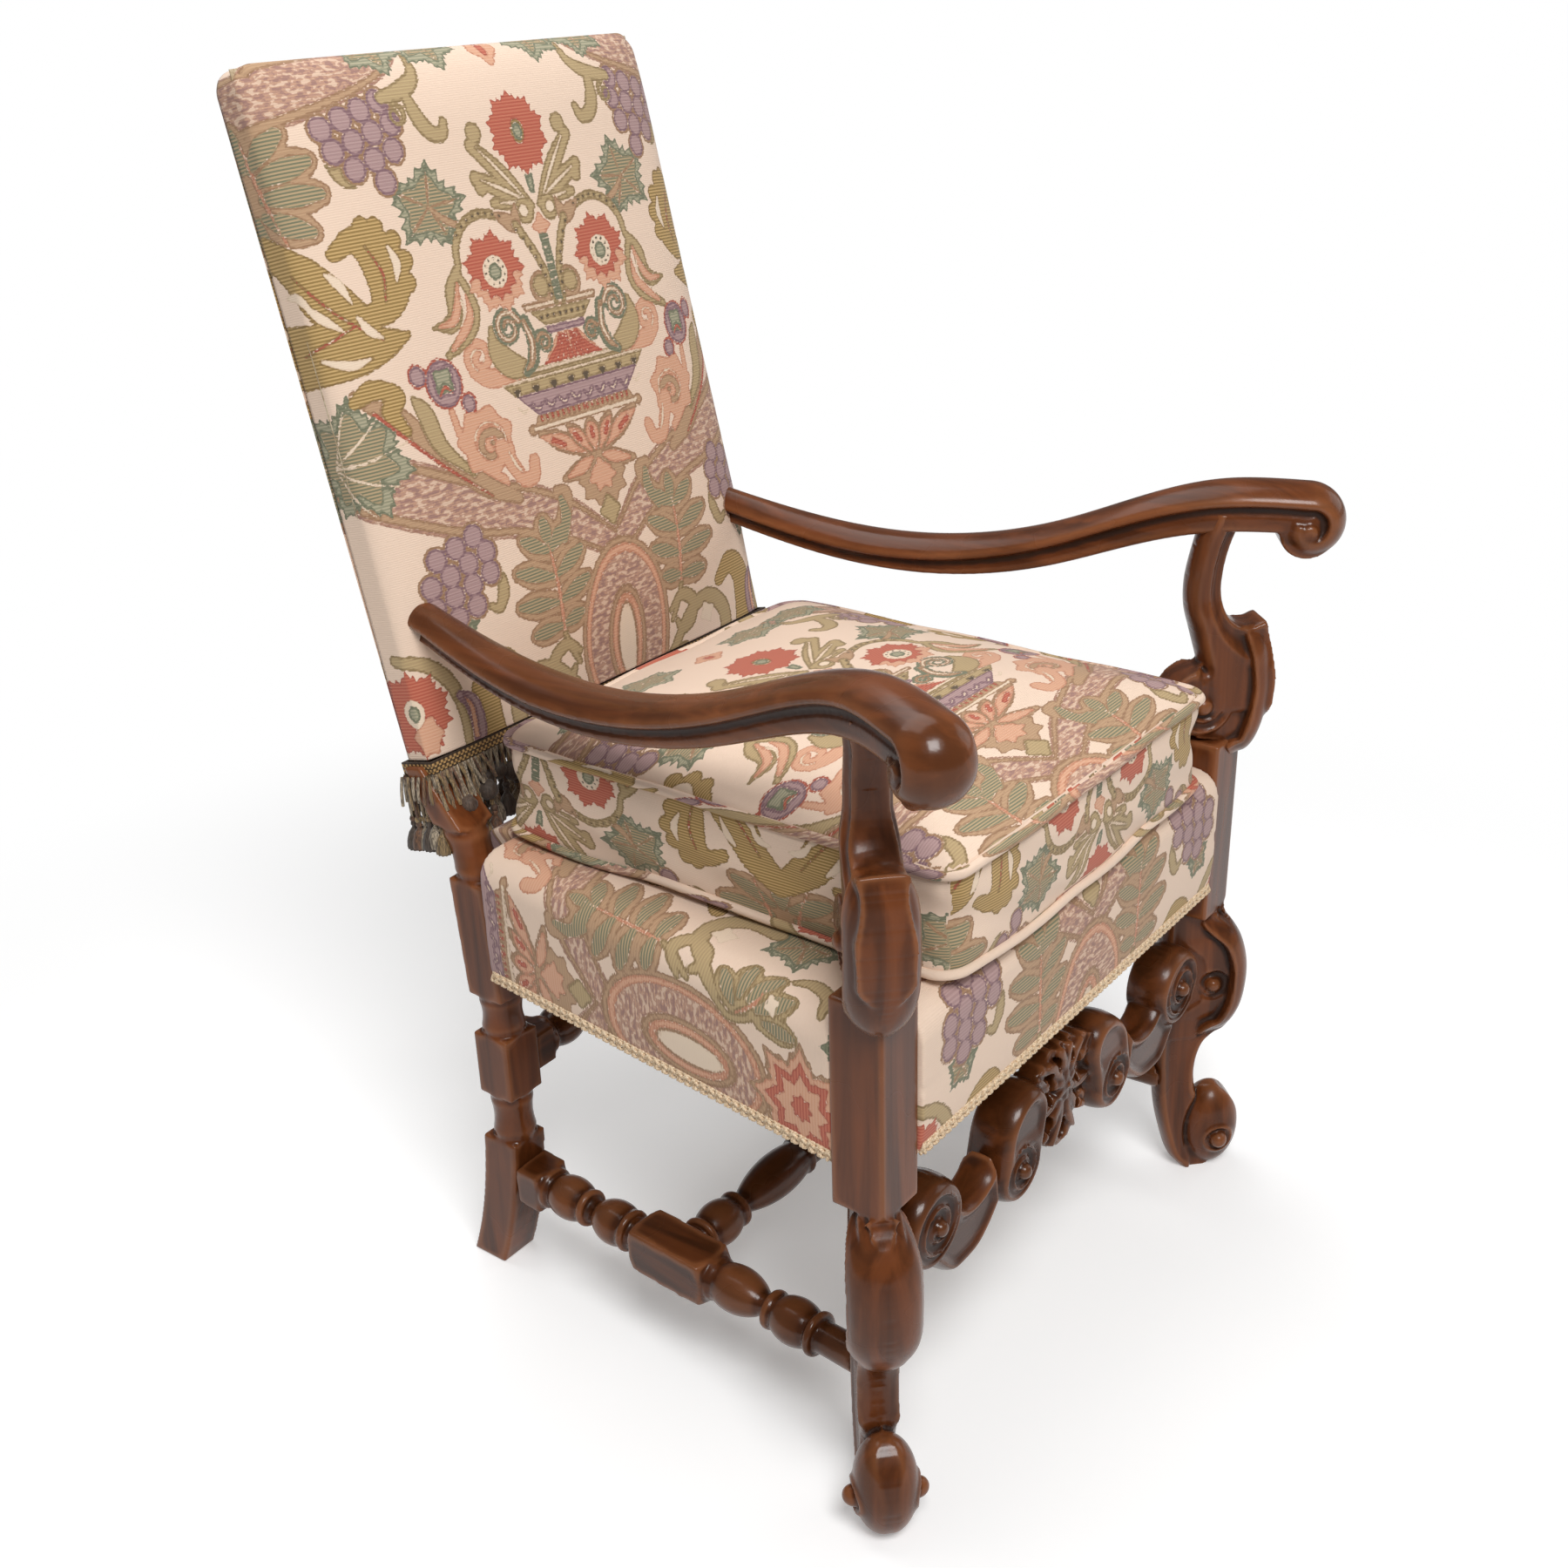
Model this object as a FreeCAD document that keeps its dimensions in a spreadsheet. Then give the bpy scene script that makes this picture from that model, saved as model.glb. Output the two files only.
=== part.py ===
import FreeCAD, Part
import math
import os
import Sketcher

doc = FreeCAD.newDocument("open_arm_chair")

# Driving sizes, in millimetres. Heights are above the floor, and "set" sizes are distances from the origin,
# which lies on the floor under the middle of the chair.
sizes = {
    # Posts and rear legs
    "post_square": 48, "post_top": 486, "half_front": 300, "front_set": 301, "leg_top": 296,
    "rear_square": 41, "half_rear": 246, "seat_depth": 493,
    # Scroll leg, measured outwards along the diagonal from the middle of the post
    "knee_reach": 58, "knee_level": 236, "knee_width": 50, "lip_reach": 39, "lip_level": 166,
    "shaft_reach": 12, "shaft_level": 124, "shaft_width": 34, "heel_reach": 31, "heel_level": 95,
    "foot_top": 93, "foot_reach": 63, "foot_level": 44, "foot_width": 50, "sole_front": 34, "sole_back": 2,
    # Eyes of the volutes
    "eye_radius": 9, "eye_rise": 9, "volute_radius": 21, "volute_sink": 5,
    # Rear leg, from the floor upwards
    "kick_back": 35, "kick_top": 190, "foot_block": 150, "lower_block_low": 200, "lower_block_top": 266,
    "upper_block_low": 307, "upper_block_top": 424, "upper_lean": 9, "neck_top": 472, "neck_lean": 22,
    "neck_radius": 19,
    # Upholstered back, leaning about its lower front edge
    "back_low": 530, "back_behind": 26, "back_tilt": 13.4, "back_length": 580, "back_thick": 31,
    "half_back": 237, "stile_half": 232, "back_crown": 34, "back_pad": 7, "back_edge": 3, "back_roll": 26,
    "stile_thick": 20, "rail_height": 55,
    # Arms
    "arm_width": 52, "arm_thick": 33, "arm_front_thick": 44, "arm_crown": 13, "arm_bead": 5,
    "arm_rear_half": 219, "arm_rear_width": 40, "arm_rear_top": 671,
    "arm_sag_half": 232, "arm_sag_set": 66, "arm_sag_top": 642,
    "arm_rise_half": 251, "arm_rise_set": 134, "arm_rise_top": 678, "arm_front_top": 730,
    "roll_half": 307, "roll_set": 342, "roll_level": 694, "roll_radius": 36, "roll_turn": 33,
    # Arm supports, measured like the scroll leg
    "support_width": 30, "waist_front": 1, "waist_back": 30, "waist_level": 626, "hollow_reach": 21,
    "hollow_level": 595, "cusp_reach": 43, "cusp_level": 600, "belly_reach": 55, "belly_level": 544,
    "belly_width": 46, "belly_foot": 24, "curl_back": 12, "curl_level": 523, "curl_radius": 34,
    "support_head": 15,
    # Seat upholstery and rails
    "rail_low": 338, "seat_rail": 72, "rail_thick": 28, "rail_inset": 5, "seat_top": 462.6, "seat_bulge": 5,
    "seat_round": 26, "cover_thick": 2, "soft_gap": 0.3, "web_width": 50, "web_thick": 1.6, "gimp_height": 9,
    "gimp_thick": 4, "block_leg": 60,
    # Loose cushion
    "cushion_half": 214, "cushion_front": 306, "cushion_depth": 464, "cushion_low": 463, "cushion_high": 563,
    "cushion_crown": 26, "cushion_waist": 5, "cushion_corner": 22, "piping_radius": 4,
    # Fringe under the back
    "header_height": 12, "header_thick": 3, "tassel_length": 72, "tassel_radius": 6, "tassel_gap": 15,
    # Joinery
    "tenon_depth": 18, "tenon_thick": 10, "tenon_radius": 8, "tenon_height": 44, "fit": 0.1,
    "cope_depth": 12,
    # Turned stretchers
    "ball_radius": 21, "ball_length": 42, "ring_radius": 18, "ring_length": 7, "waist_radius": 10.5,
    "waist_length": 8, "vase_radius": 20, "vase_length": 50, "end_radius": 14, "centre_block": 90,
    "block_square": 42, "end_block": 24, "side_rear_level": 105, "side_front_level": 114, "block_from_rear": 146,
    "rear_stretcher_level": 233, "long_vase": 84,
    # Carved front stretcher
    "carved_thick": 44, "outer_eye_in": 35, "outer_eye_level": 245, "outer_volute": 40, "inner_eye_half": 83,
    "inner_low_level": 220, "inner_high_level": 254, "inner_volute": 35, "band_low": 176, "band_dip": 229,
    "panel_half": 52, "panel_low": 192, "panel_top": 298, "panel_thick": 22, "flower_radius": 15,
    "flower_level": 256,
}

sheet = doc.addObject("Spreadsheet::Sheet", "Sizes")
for row, (name, value) in enumerate(sizes.items(), 1):
    sheet.set(f"A{row}", name)
    sheet.set(f"B{row}", str(value))
    sheet.setAlias(f"B{row}", name)
doc.recompute()


# A length that carries both its value and the expression that binds it to the sheet
class Size:
    def __init__(self, value, text):
        self.value = float(value)
        self.text = text

    def __float__(self):
        return self.value

    def __add__(self, other):
        other = size(other)
        return Size(self.value + other.value, f"({self.text} + {other.text})")

    def __sub__(self, other):
        other = size(other)
        return Size(self.value - other.value, f"({self.text} - {other.text})")

    def __mul__(self, other):
        other = size(other)
        return Size(self.value * other.value, f"({self.text} * {other.text})")

    def __truediv__(self, other):
        other = size(other)
        return Size(self.value / other.value, f"({self.text} / {other.text})")

    def __neg__(self):
        return Size(-self.value, f"(-{self.text})")

    def __radd__(self, other):
        return size(other) + self

    def __rsub__(self, other):
        return size(other) - self

    def __rmul__(self, other):
        return size(other) * self


def size(item):
    return item if isinstance(item, Size) else Size(item, f"{float(item):.6f}")


class Sizes:
    pass


d = Sizes()
for name in sizes:
    setattr(d, name, Size(sheet.get(name), f"Sizes.{name}"))
# The back stands on the rear of the seat, and the outer scrolls of the front stretcher stand in from the posts
d.back_set = d.seat_depth - d.front_set + d.back_behind
d.outer_eye_half = d.half_front - d.post_square - d.outer_eye_in


def vec(x, y, z):
    return FreeCAD.Vector(float(x), float(y), float(z))


def bind(item, **values):
    for key, value in values.items():
        item.setExpression(key, size(value).text)
    return item


def move(item, x, y, z, axis=(0, 0, 1), angle=0):
    item.Placement = FreeCAD.Placement(vec(x, y, z), FreeCAD.Rotation(FreeCAD.Vector(*axis), float(angle)))
    for key, value in zip("xyz", (x, y, z)):
        item.setExpression(f"Placement.Base.{key}", size(value).text)
    return item


def box(label, x, y, z, length, width, height):
    item = bind(doc.addObject("Part::Box", label), Length=length, Width=width, Height=height)
    return move(item, x, y, z)


def rod(label, x, y, z, axis, angle, radius, length):
    item = bind(doc.addObject("Part::Cylinder", label), Radius=radius, Height=length)
    return move(item, x, y, z, axis, angle)


def feature(label, shape, placement=FreeCAD.Placement()):
    item = doc.addObject("Part::Feature", label)
    item.Shape = shape
    item.Placement = placement.multiply(shape.Placement)
    return item


def fuse(label, *items):
    item = doc.addObject("Part::MultiFuse", label)
    item.Shapes = list(items)
    return item


def cut(label, base, *tools):
    item = doc.addObject("Part::Cut", label)
    item.Base = base
    item.Tool = tools[0] if len(tools) == 1 else fuse(f"{label}_tools", *tools)
    return item


def group(label, items):
    item = doc.addObject("Part::Compound", label)
    item.Links = list(items)
    return item


nodes = {}


def node(item, label):
    item.Label = label
    nodes[label] = item
    return item


# A rectangular tenon and the mortise that takes it, both given by their low corner
def tenon(label, x, y, z, length, width, height):
    tongue = box(f"{label}_tenon", x, y, z, length, width, height)
    hole = box(f"{label}_mortise", x - d.fit, y - d.fit, z - d.fit,
               length + 2 * d.fit, width + 2 * d.fit, height + 2 * d.fit)
    return tongue, hole


def round_tenon(label, x, y, z, axis, angle, length):
    tongue = rod(f"{label}_tenon", x, y, z, axis, angle, d.tenon_radius, length)
    hole = rod(f"{label}_mortise", x, y, z, axis, angle, d.tenon_radius + d.fit, length + d.fit)
    return tongue, hole


# Outlines in the upright plane: u runs along the piece and z upwards
def at(u, z):
    return vec(u, 0, z)


def curve(*points):
    spline = Part.BSplineCurve()
    spline.interpolate(list(points))
    return spline.toShape()


def line(start, end):
    return Part.makeLine(start, end)


def arc(start, middle, end):
    return Part.Arc(start, middle, end).toShape()


def slab(edges, width):
    outline = Part.Face(Part.Wire(edges))
    outline.translate(vec(0, -float(width) / 2, 0))
    return outline.extrude(vec(0, width, 0))


def loop(points):
    return [line(a, b) for a, b in zip(points, points[1:] + points[:1])]


# The two long edges of a slab that follow a given curve of its outline
def rim_edges(solid, outline):
    reach = outline.Length
    spans = [outline.Vertexes[0].Point, outline.Vertexes[-1].Point]

    def follows(edge):
        ends = sorted((v.Point.x, v.Point.z) for v in edge.Vertexes)
        wanted = sorted((v.x, v.z) for v in spans)
        near = all(math.dist(a, b) < 1e-3 for a, b in zip(ends, wanted))
        return near and abs(edge.Length - reach) < 0.1

    return [edge for edge in solid.Edges if follows(edge)]


# A drum on a cross axis, with a rim that swells from its sides to its middle
def drum(u, z, middle, side, width):
    half = float(width) / 2
    low = at(u, z)
    rim = arc(vec(u, -half, z + side), vec(u, 0, z + middle), vec(u, half, z + side))
    edges = [line(vec(u, -half, z), vec(u, -half, z + side)), rim, line(vec(u, half, z + side), vec(u, half, z)),
             line(vec(u, half, z), vec(u, -half, z))]
    return Part.Face(Part.Wire(edges)).revolve(low, vec(0, 1, 0), 360)


# The sunk field of a volute with its raised eye, cut into both sides of a piece
def volutes(solid, u, z, width, radius):
    for way in (-1, 1):
        face = way * float(width) / 2
        floor = face - way * d.volute_sink.value
        out = vec(0, way, 0)
        solid = solid.cut(Part.makeCylinder(float(radius), 40, vec(u, floor, z), out))
        height = float(d.volute_sink + d.eye_rise)
        eye = Part.makeCone(float(radius) * 0.62, float(d.eye_radius) * 0.6, height, vec(u, floor, z), out)
        solid = solid.fuse(eye)
    return solid


sides = (("left", -1), ("right", 1))
post_x = d.half_front - d.post_square / 2
post_y = d.post_square / 2 - d.front_set
rear_face = d.seat_depth - d.front_set
rear_x = d.half_rear - d.rear_square / 2
rear_y = rear_face - d.rear_square / 2


# Front posts and scroll legs stand on the diagonals, so both sides share one shape
def diagonal(sign):
    turn = FreeCAD.Rotation(FreeCAD.Vector(0, 0, 1), -45 if sign > 0 else -135)
    return FreeCAD.Placement(vec(sign * post_x, post_y, 0), turn)


def scroll_leg():
    top = at(d.post_square * 0.65, d.leg_top)
    lip = at(d.lip_reach * 0.72, d.lip_level - 5)
    knee = curve(top, at(d.knee_reach * 0.86, d.knee_level + 34), at(d.knee_reach, d.knee_level),
                 at(d.knee_reach * 0.95, d.knee_level - 38), at(d.lip_reach, d.lip_level), lip)
    throat_end = at(d.shaft_reach + 2, d.foot_top + 3)
    throat = curve(lip, at(d.shaft_reach + 4, d.lip_level - 18), at(d.shaft_reach, d.shaft_level), throat_end)
    toe_end = at(d.sole_front, 0)
    toe = curve(throat_end, at(d.foot_reach * 0.56, d.foot_top - 1), at(d.foot_reach * 0.84, d.foot_top - 20),
                at(d.foot_reach, d.foot_level), at(d.foot_reach * 0.88, d.foot_level * 0.32), toe_end)
    heel = at(d.sole_back, 0)
    back_top = at(-d.heel_reach, d.leg_top)
    back = curve(heel, at(-d.heel_reach * 0.55, d.heel_level * 0.4), at(-d.heel_reach * 0.9, d.heel_level),
                 at(-d.heel_reach - 1, d.heel_level * 2), back_top)
    side = [knee, throat, toe, line(toe_end, heel), back, line(back_top, top)]
    shaft = slab(side, d.shaft_width)
    # The knee is a tongue that narrows downwards and has a swelling face
    half = d.knee_width / 2
    right = curve(vec(0, half * 0.8, d.leg_top), vec(0, half, d.knee_level), vec(0, half * 0.78, d.lip_level + 24),
                  vec(0, half * 0.3, d.lip_level - 6))
    left = right.mirror(vec(0, 0, 0), vec(0, 1, 0))
    ends = [right.Vertexes[0].Point, left.Vertexes[0].Point, right.Vertexes[-1].Point, left.Vertexes[-1].Point]
    tongue = Part.Face(Part.Wire([right, line(ends[2], ends[3]), left, line(ends[1], ends[0])]))
    tongue = tongue.extrude(vec(d.knee_reach + 10, 0, 0))
    knee_back = at(0, d.leg_top)
    low_back = at(0, d.lip_level - 5)
    knee_side = [knee, line(lip, low_back), line(low_back, knee_back), line(knee_back, top)]
    swell = drum(4, d.knee_level, d.knee_reach + 6, d.knee_reach - 8, d.knee_width + 2)
    knee_block = slab(knee_side, d.knee_width).common(tongue).common(swell)
    # The foot is a ball with flattened cheeks
    foot_back = at(d.sole_back + 2, d.foot_top)
    foot_side = [toe, line(toe_end, heel), line(heel, foot_back), line(foot_back, throat_end)]
    ball = drum(d.foot_reach - d.foot_top / 2, d.foot_top / 2, d.foot_top * 0.52, d.foot_top * 0.31, d.foot_width)
    foot = slab(foot_side, d.foot_width).common(ball)
    leg = shaft.fuse([knee_block, foot])
    leg = volutes(leg, d.lip_reach * 0.55, d.knee_level - 12, d.knee_width, d.volute_radius)
    leg = volutes(leg, d.sole_front, d.foot_level - 3, d.foot_width, d.volute_radius * 0.7)
    # The post block is square to the chair, with its lower corners eased
    post = Part.makeBox(float(d.post_square), float(d.post_square), float(d.post_top - d.leg_top) - 14,
                        vec(-d.post_square / 2, -d.post_square / 2, d.leg_top + 14))
    wide = loop([vec(i * d.post_square / 2, j * d.post_square / 2, d.leg_top + 14)
                 for i, j in ((-1, -1), (1, -1), (1, 1), (-1, 1))])
    narrow = loop([vec(i * (d.post_square / 2 - 4), j * (d.post_square / 2 - 4), d.leg_top)
                   for i, j in ((-1, -1), (1, -1), (1, 1), (-1, 1))])
    shoulder = Part.makeLoft([Part.Wire(narrow), Part.Wire(wide)], True, True)
    post = post.fuse(shoulder)
    post.rotate(vec(0, 0, 0), vec(0, 0, 1), 45)
    return leg.fuse(post).removeSplitter()


def arm_support():
    head = d.arm_front_top - d.arm_front_thick + 14
    head_front = at(d.support_head, head)
    hollow_mid = at(d.hollow_reach * 0.42, d.hollow_level + 8)
    cusp = at(d.cusp_reach, d.cusp_level)
    waist = at(d.waist_front, d.waist_level)
    hollow = curve(head_front, at(d.waist_front * 2, d.waist_level + 28), waist, hollow_mid,
                   at(d.hollow_reach, d.hollow_level), cusp)
    foot = at(d.belly_foot, d.post_top)
    belly = curve(cusp, at(d.belly_reach * 0.92, d.belly_level + 30), at(d.belly_reach, d.belly_level),
                  at(d.belly_reach * 0.85, d.belly_level - 36), foot)
    root = at(-d.curl_back, d.post_top)
    nape = at(-d.curl_back, d.curl_level + d.curl_radius * 0.9)
    head_back = at(-d.support_head, head)
    back = curve(nape, at(-d.waist_back * 0.9, d.waist_level - 26), at(-d.waist_back, d.waist_level + 6),
                 head_back)
    edges = [hollow, belly, line(foot, root), line(root, nape), back, line(head_back, head_front)]
    shaft = slab(edges, d.support_width)
    inner = at(d.waist_front, d.hollow_level - 10)
    inner_low = at(d.waist_front, d.post_top)
    lip = at(d.hollow_reach, d.hollow_level)
    front = [line(inner, lip), curve(lip, at((d.hollow_reach + d.cusp_reach) / 2, d.hollow_level + 1.5), cusp), belly,
             line(foot, inner_low), line(inner_low, inner)]
    face = slab(front, d.belly_width)
    face = face.makeFillet(d.belly_width.value * 0.2, rim_edges(face, belly))
    curl = drum(-d.curl_back, d.curl_level, d.curl_radius, d.curl_radius - 6, d.belly_width - 4)
    solid = shaft.fuse([face, curl])
    below = Part.makeBox(200, 200, 60, vec(-100, -100, d.post_top - 60))
    solid = solid.cut(below)
    return volutes(solid, -d.curl_back, d.curl_level, d.belly_width - 4, d.volute_radius)


# An arm is moulded along a ridge that sags behind the support and runs on into the roll
def arm_ridge(sign):
    rear_top = back_at(0, 0)[0] + (d.arm_rear_top - d.back_low) * math.tan(math.radians(d.back_tilt.value))
    ridge = Part.BSplineCurve()
    ridge.interpolate([
        vec(sign * d.arm_rear_half, rear_top + d.back_pad + d.stile_thick, d.arm_rear_top),
        vec(sign * d.arm_sag_half, d.arm_sag_set, d.arm_sag_top),
        vec(sign * d.arm_rise_half, -d.arm_rise_set, d.arm_rise_top),
        vec(sign * post_x, post_y, d.arm_front_top),
        vec(sign * d.roll_half, -d.roll_set, d.roll_level + d.roll_radius)])
    return ridge


def arm_body(sign, grow=0.0):
    ridge = arm_ridge(sign)
    stations = 9
    wires = []
    for step in range(stations):
        spot = ridge.FirstParameter + (ridge.LastParameter - ridge.FirstParameter) * step / (stations - 1)
        top = ridge.value(spot)
        run = ridge.tangent(spot)[0]
        across = FreeCAD.Vector(run.y, -run.x, 0).normalize()
        ahead = min(1, max(0, (float(d.arm_sag_set) - top.y) / float(d.arm_sag_set - post_y)))
        behind = min(1, max(0, (top.y - float(d.arm_sag_set)) / float(d.back_set - d.arm_sag_set)))
        deep = d.arm_thick + (d.arm_front_thick - d.arm_thick) * ahead + 2 * grow
        half = (d.arm_width + (d.arm_rear_width - d.arm_width) * behind) / 2 + grow
        wires.append(Part.Wire(arm_section(top + vec(0, 0, grow), across, deep, half)))
    return Part.makeLoft(wires, True)


def arm(sign):
    roll = drum(0, 0, d.roll_radius, d.roll_radius - 5, d.arm_width)
    roll = volutes(roll, 0, -3, d.arm_width, d.volute_radius)
    turn = -90 + sign * d.roll_turn.value
    roll.Placement = FreeCAD.Placement(vec(sign * d.roll_half, -d.roll_set, d.roll_level),
                                       FreeCAD.Rotation(FreeCAD.Vector(0, 0, 1), turn))
    return arm_body(sign).fuse(roll)


# Crowned top, a bead along each edge, and a narrower body below it
def arm_section(top, across, deep, half):
    def spot(v, drop):
        return top + across * float(v) - FreeCAD.Vector(0, 0, float(drop))

    rim = d.arm_crown + d.arm_bead
    neck = half - d.arm_bead
    cove = rim + d.arm_bead * 0.7
    edges = [arc(spot(-half, d.arm_crown), top, spot(half, d.arm_crown))]
    corners = [spot(half, d.arm_crown), spot(half, rim), spot(neck, cove), spot(neck, deep), spot(-neck, deep),
               spot(-neck, cove), spot(-half, rim), spot(-half, d.arm_crown)]
    return edges + [line(a, b) for a, b in zip(corners, corners[1:])]


# The back's own plane: a runs up along its slope and n backwards through its thickness
def back_at(a, n):
    tilt = math.radians(d.back_tilt.value)
    y = float(d.back_set) + float(a) * math.sin(tilt) + float(n) * math.cos(tilt)
    z = float(d.back_low) + float(a) * math.cos(tilt) - float(n) * math.sin(tilt)
    return y, z


back_frame = FreeCAD.Placement(vec(0, d.back_set, d.back_low),
                               FreeCAD.Rotation(FreeCAD.Vector(1, 0, 0), -d.back_tilt.value))


def in_back(label, shape):
    return feature(label, shape, back_frame)


# Rear leg and stile in one length: kicked foot, squared blocks, turned necks
def rear_leg(sign):
    def spot(y, z):
        return vec(0, y, z)

    stile_front = back_at(0, d.back_pad + 1)
    stile_rear = back_at(0, d.back_pad + 1 + d.stile_thick)
    top_length = d.back_length - 8
    front_top = back_at(top_length, d.back_pad + 1)
    rear_top = back_at(top_length, d.back_pad + 1 + d.stile_thick)

    def shank(y):
        foot = curve(spot(y + d.kick_back, 0), spot(y + d.kick_back * 0.36, d.kick_top * 0.4),
                     spot(y + d.kick_back * 0.08, d.kick_top * 0.76), spot(y, d.kick_top))
        upper = curve(spot(y, d.upper_block_low), spot(y + d.upper_lean, d.upper_block_top))
        return [foot, line(spot(y, d.kick_top), spot(y, d.upper_block_low)), upper]

    front_y = rear_face - d.rear_square
    front_neck = spot(front_y + d.neck_lean + 4, d.neck_top)
    rear_neck = spot(rear_face + d.neck_lean, d.neck_top)
    front = shank(front_y) + [
        line(spot(front_y + d.upper_lean, d.upper_block_top), front_neck),
        line(front_neck, spot(*stile_front)), line(spot(*stile_front), spot(*front_top))]
    rear = shank(rear_face) + [
        line(spot(rear_face + d.upper_lean, d.upper_block_top), rear_neck),
        line(rear_neck, spot(*stile_rear)), line(spot(*stile_rear), spot(*rear_top))]
    sole = line(spot(front_y + d.kick_back, 0), spot(rear_face + d.kick_back, 0))
    outline = Part.Face(Part.Wire(Part.__sortEdges__(front + rear + [sole, line(spot(*front_top), spot(*rear_top))])))
    solid = outline.extrude(vec(d.rear_square, 0, 0))
    solid.translate(vec(sign * rear_x - d.rear_square / 2, 0, 0))

    def neck(low, high, low_y, high_y):
        rise = high - low
        steps = ((0, 1), (0.16, 1.07), (0.3, 1), (0.5, 0.96), (0.7, 1), (0.84, 1.07), (1, 1))
        rings = []
        for share, wide in steps:
            middle = vec(sign * rear_x, low_y + (high_y - low_y) * share, low + rise * share)
            rings.append(Part.Wire(Part.makeCircle(float(d.neck_radius * wide), middle, vec(0, 0, 1))))
        return Part.makeLoft(rings, True, True)

    flank = Part.makeBox(60, 120, float(d.back_length) + 20, vec(d.stile_half if sign > 0 else -d.stile_half - 60, -40, -4))
    flank.Placement = back_frame.multiply(flank.Placement)
    solid = solid.cut(flank)
    mid_neck = rear_y + d.neck_lean + 2
    for low, high, low_y, high_y in ((d.foot_block, d.lower_block_low, rear_y, rear_y),
                                     (d.lower_block_top, d.upper_block_low, rear_y, rear_y),
                                     (d.upper_block_top, d.neck_top, rear_y + d.upper_lean, mid_neck)):
        gone = Part.makeBox(120, 160, float(high - low), vec(sign * rear_x - 60, rear_y - 80, low))
        solid = solid.cut(gone).fuse(neck(low, high, low_y, high_y))
    return solid.removeSplitter()


# Outline of a turned piece: each step is a run along the axis, its swell (or None for straight) and its end radius
def turned(label, start_radius, steps):
    body = doc.addObject("PartDesign::Body", label)
    sketch = body.newObject("Sketcher::SketchObject", f"{label}_profile")
    plane = next(f for f in body.Origin.OriginFeatures if f.Role == "XZ_Plane")
    sketch.AttachmentSupport = [(plane, "")]
    sketch.MapMode = "FlatFace"
    ends = []

    def fix(index, place, x, r):
        for kind, value in (("DistanceX", x), ("DistanceY", r)):
            if abs(float(value)) < 1e-9:
                axis = -2 if kind == "DistanceX" else -1
                sketch.addConstraint(Sketcher.Constraint("PointOnObject", index, place, axis))
            else:
                row = sketch.addConstraint(Sketcher.Constraint(kind, -1, 1, index, place, float(value)))
                sketch.setExpression(f"Constraints[{row}]", size(value).text)

    # Arcs are drawn from their far end, so that they turn the way a sketch expects
    def stroke(shape, x, r, near=1, far=2):
        index = sketch.addGeometry(shape, False)
        if ends:
            sketch.addConstraint(Sketcher.Constraint("Coincident", *ends[-1], index, near))
        ends.append((index, far))
        fix(index, far, x, r)
        return index

    def flat(x, r):
        return FreeCAD.Vector(float(x), float(r), 0)

    x, r = size(0), size(start_radius)
    first = stroke(Part.LineSegment(flat(0, 0), flat(0, r)), 0, r)
    for run, swell, end in steps:
        if swell is None and float(run) < 1e-9 and abs(float(end) - float(r)) < 1e-9:
            continue
        if swell is None:
            stroke(Part.LineSegment(flat(x, r), flat(x + run, end)), x + run, end)
        else:
            bow = Part.Arc(flat(x + run, end), flat(x + run / 2, swell), flat(x, r))
            index = stroke(bow, x + run, end, 2, 1)
            mark = sketch.addGeometry(Part.Point(flat(x + run / 2, swell)), True)
            fix(mark, 1, x + run / 2, swell)
            sketch.addConstraint(Sketcher.Constraint("PointOnObject", mark, 1, index))
        x, r = x + run, size(end)
    stroke(Part.LineSegment(flat(x, r), flat(x, 0)), x, 0)
    last = stroke(Part.LineSegment(flat(x, 0), flat(0, 0)), 0, 0)
    sketch.addConstraint(Sketcher.Constraint("Coincident", last, 2, first, 1))
    spin = body.newObject("PartDesign::Revolution", f"{label}_spin")
    spin.Profile = sketch
    spin.ReferenceAxis = (sketch, ["H_Axis"])
    spin.Angle = 360
    body.Tip = spin
    return body


def length_of(steps):
    return sum((size(step[0]) for step in steps), size(0))


# Ball between two rings, then a thin waist
def ball_steps():
    return [(0, None, d.ring_radius), (d.ring_length, d.ring_radius * 1.12, d.ring_radius), (0, None, d.end_radius),
            (d.ball_length, d.ball_radius, d.end_radius), (0, None, d.ring_radius * 0.94),
            (d.ring_length, d.ring_radius, d.ring_radius * 0.94), (0, None, d.waist_radius)]


def vase_steps(length):
    return [(d.waist_length, None, d.waist_radius), (length, d.vase_radius * 1.04, d.vase_radius * 0.86),
            (0, None, d.ring_radius), (d.ring_length, d.ring_radius * 1.12, d.ring_radius)]


def vase_back(length):
    return [(d.ring_length, d.ring_radius * 1.12, d.ring_radius), (0, None, d.vase_radius * 0.86),
            (length, d.vase_radius * 1.04, d.waist_radius), (d.waist_length, None, d.waist_radius)]


def ball_back():
    return [(0, None, d.ring_radius * 0.94), (d.ring_length, d.ring_radius, d.ring_radius * 0.94),
            (0, None, d.end_radius), (d.ball_length, d.ball_radius, d.end_radius), (0, None, d.ring_radius),
            (d.ring_length, d.ring_radius * 1.12, d.ring_radius), (0, None, d.end_radius)]


# Squared length of a stretcher with its corners turned away at both ends
def pommel(label, x, length):
    half = d.block_square / 2
    square = box(f"{label}_square", 0, -half, -half, length, d.block_square, d.block_square)
    shared = doc.addObject("Part::Common", f"{label}_pommel")
    shared.Base = square
    ease = bind(doc.addObject("Part::Sphere", f"{label}_ease"), Radius=length * 0.555)
    shared.Tool = move(ease, length / 2, 0, 0)
    return move(shared, x, 0, 0)


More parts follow.
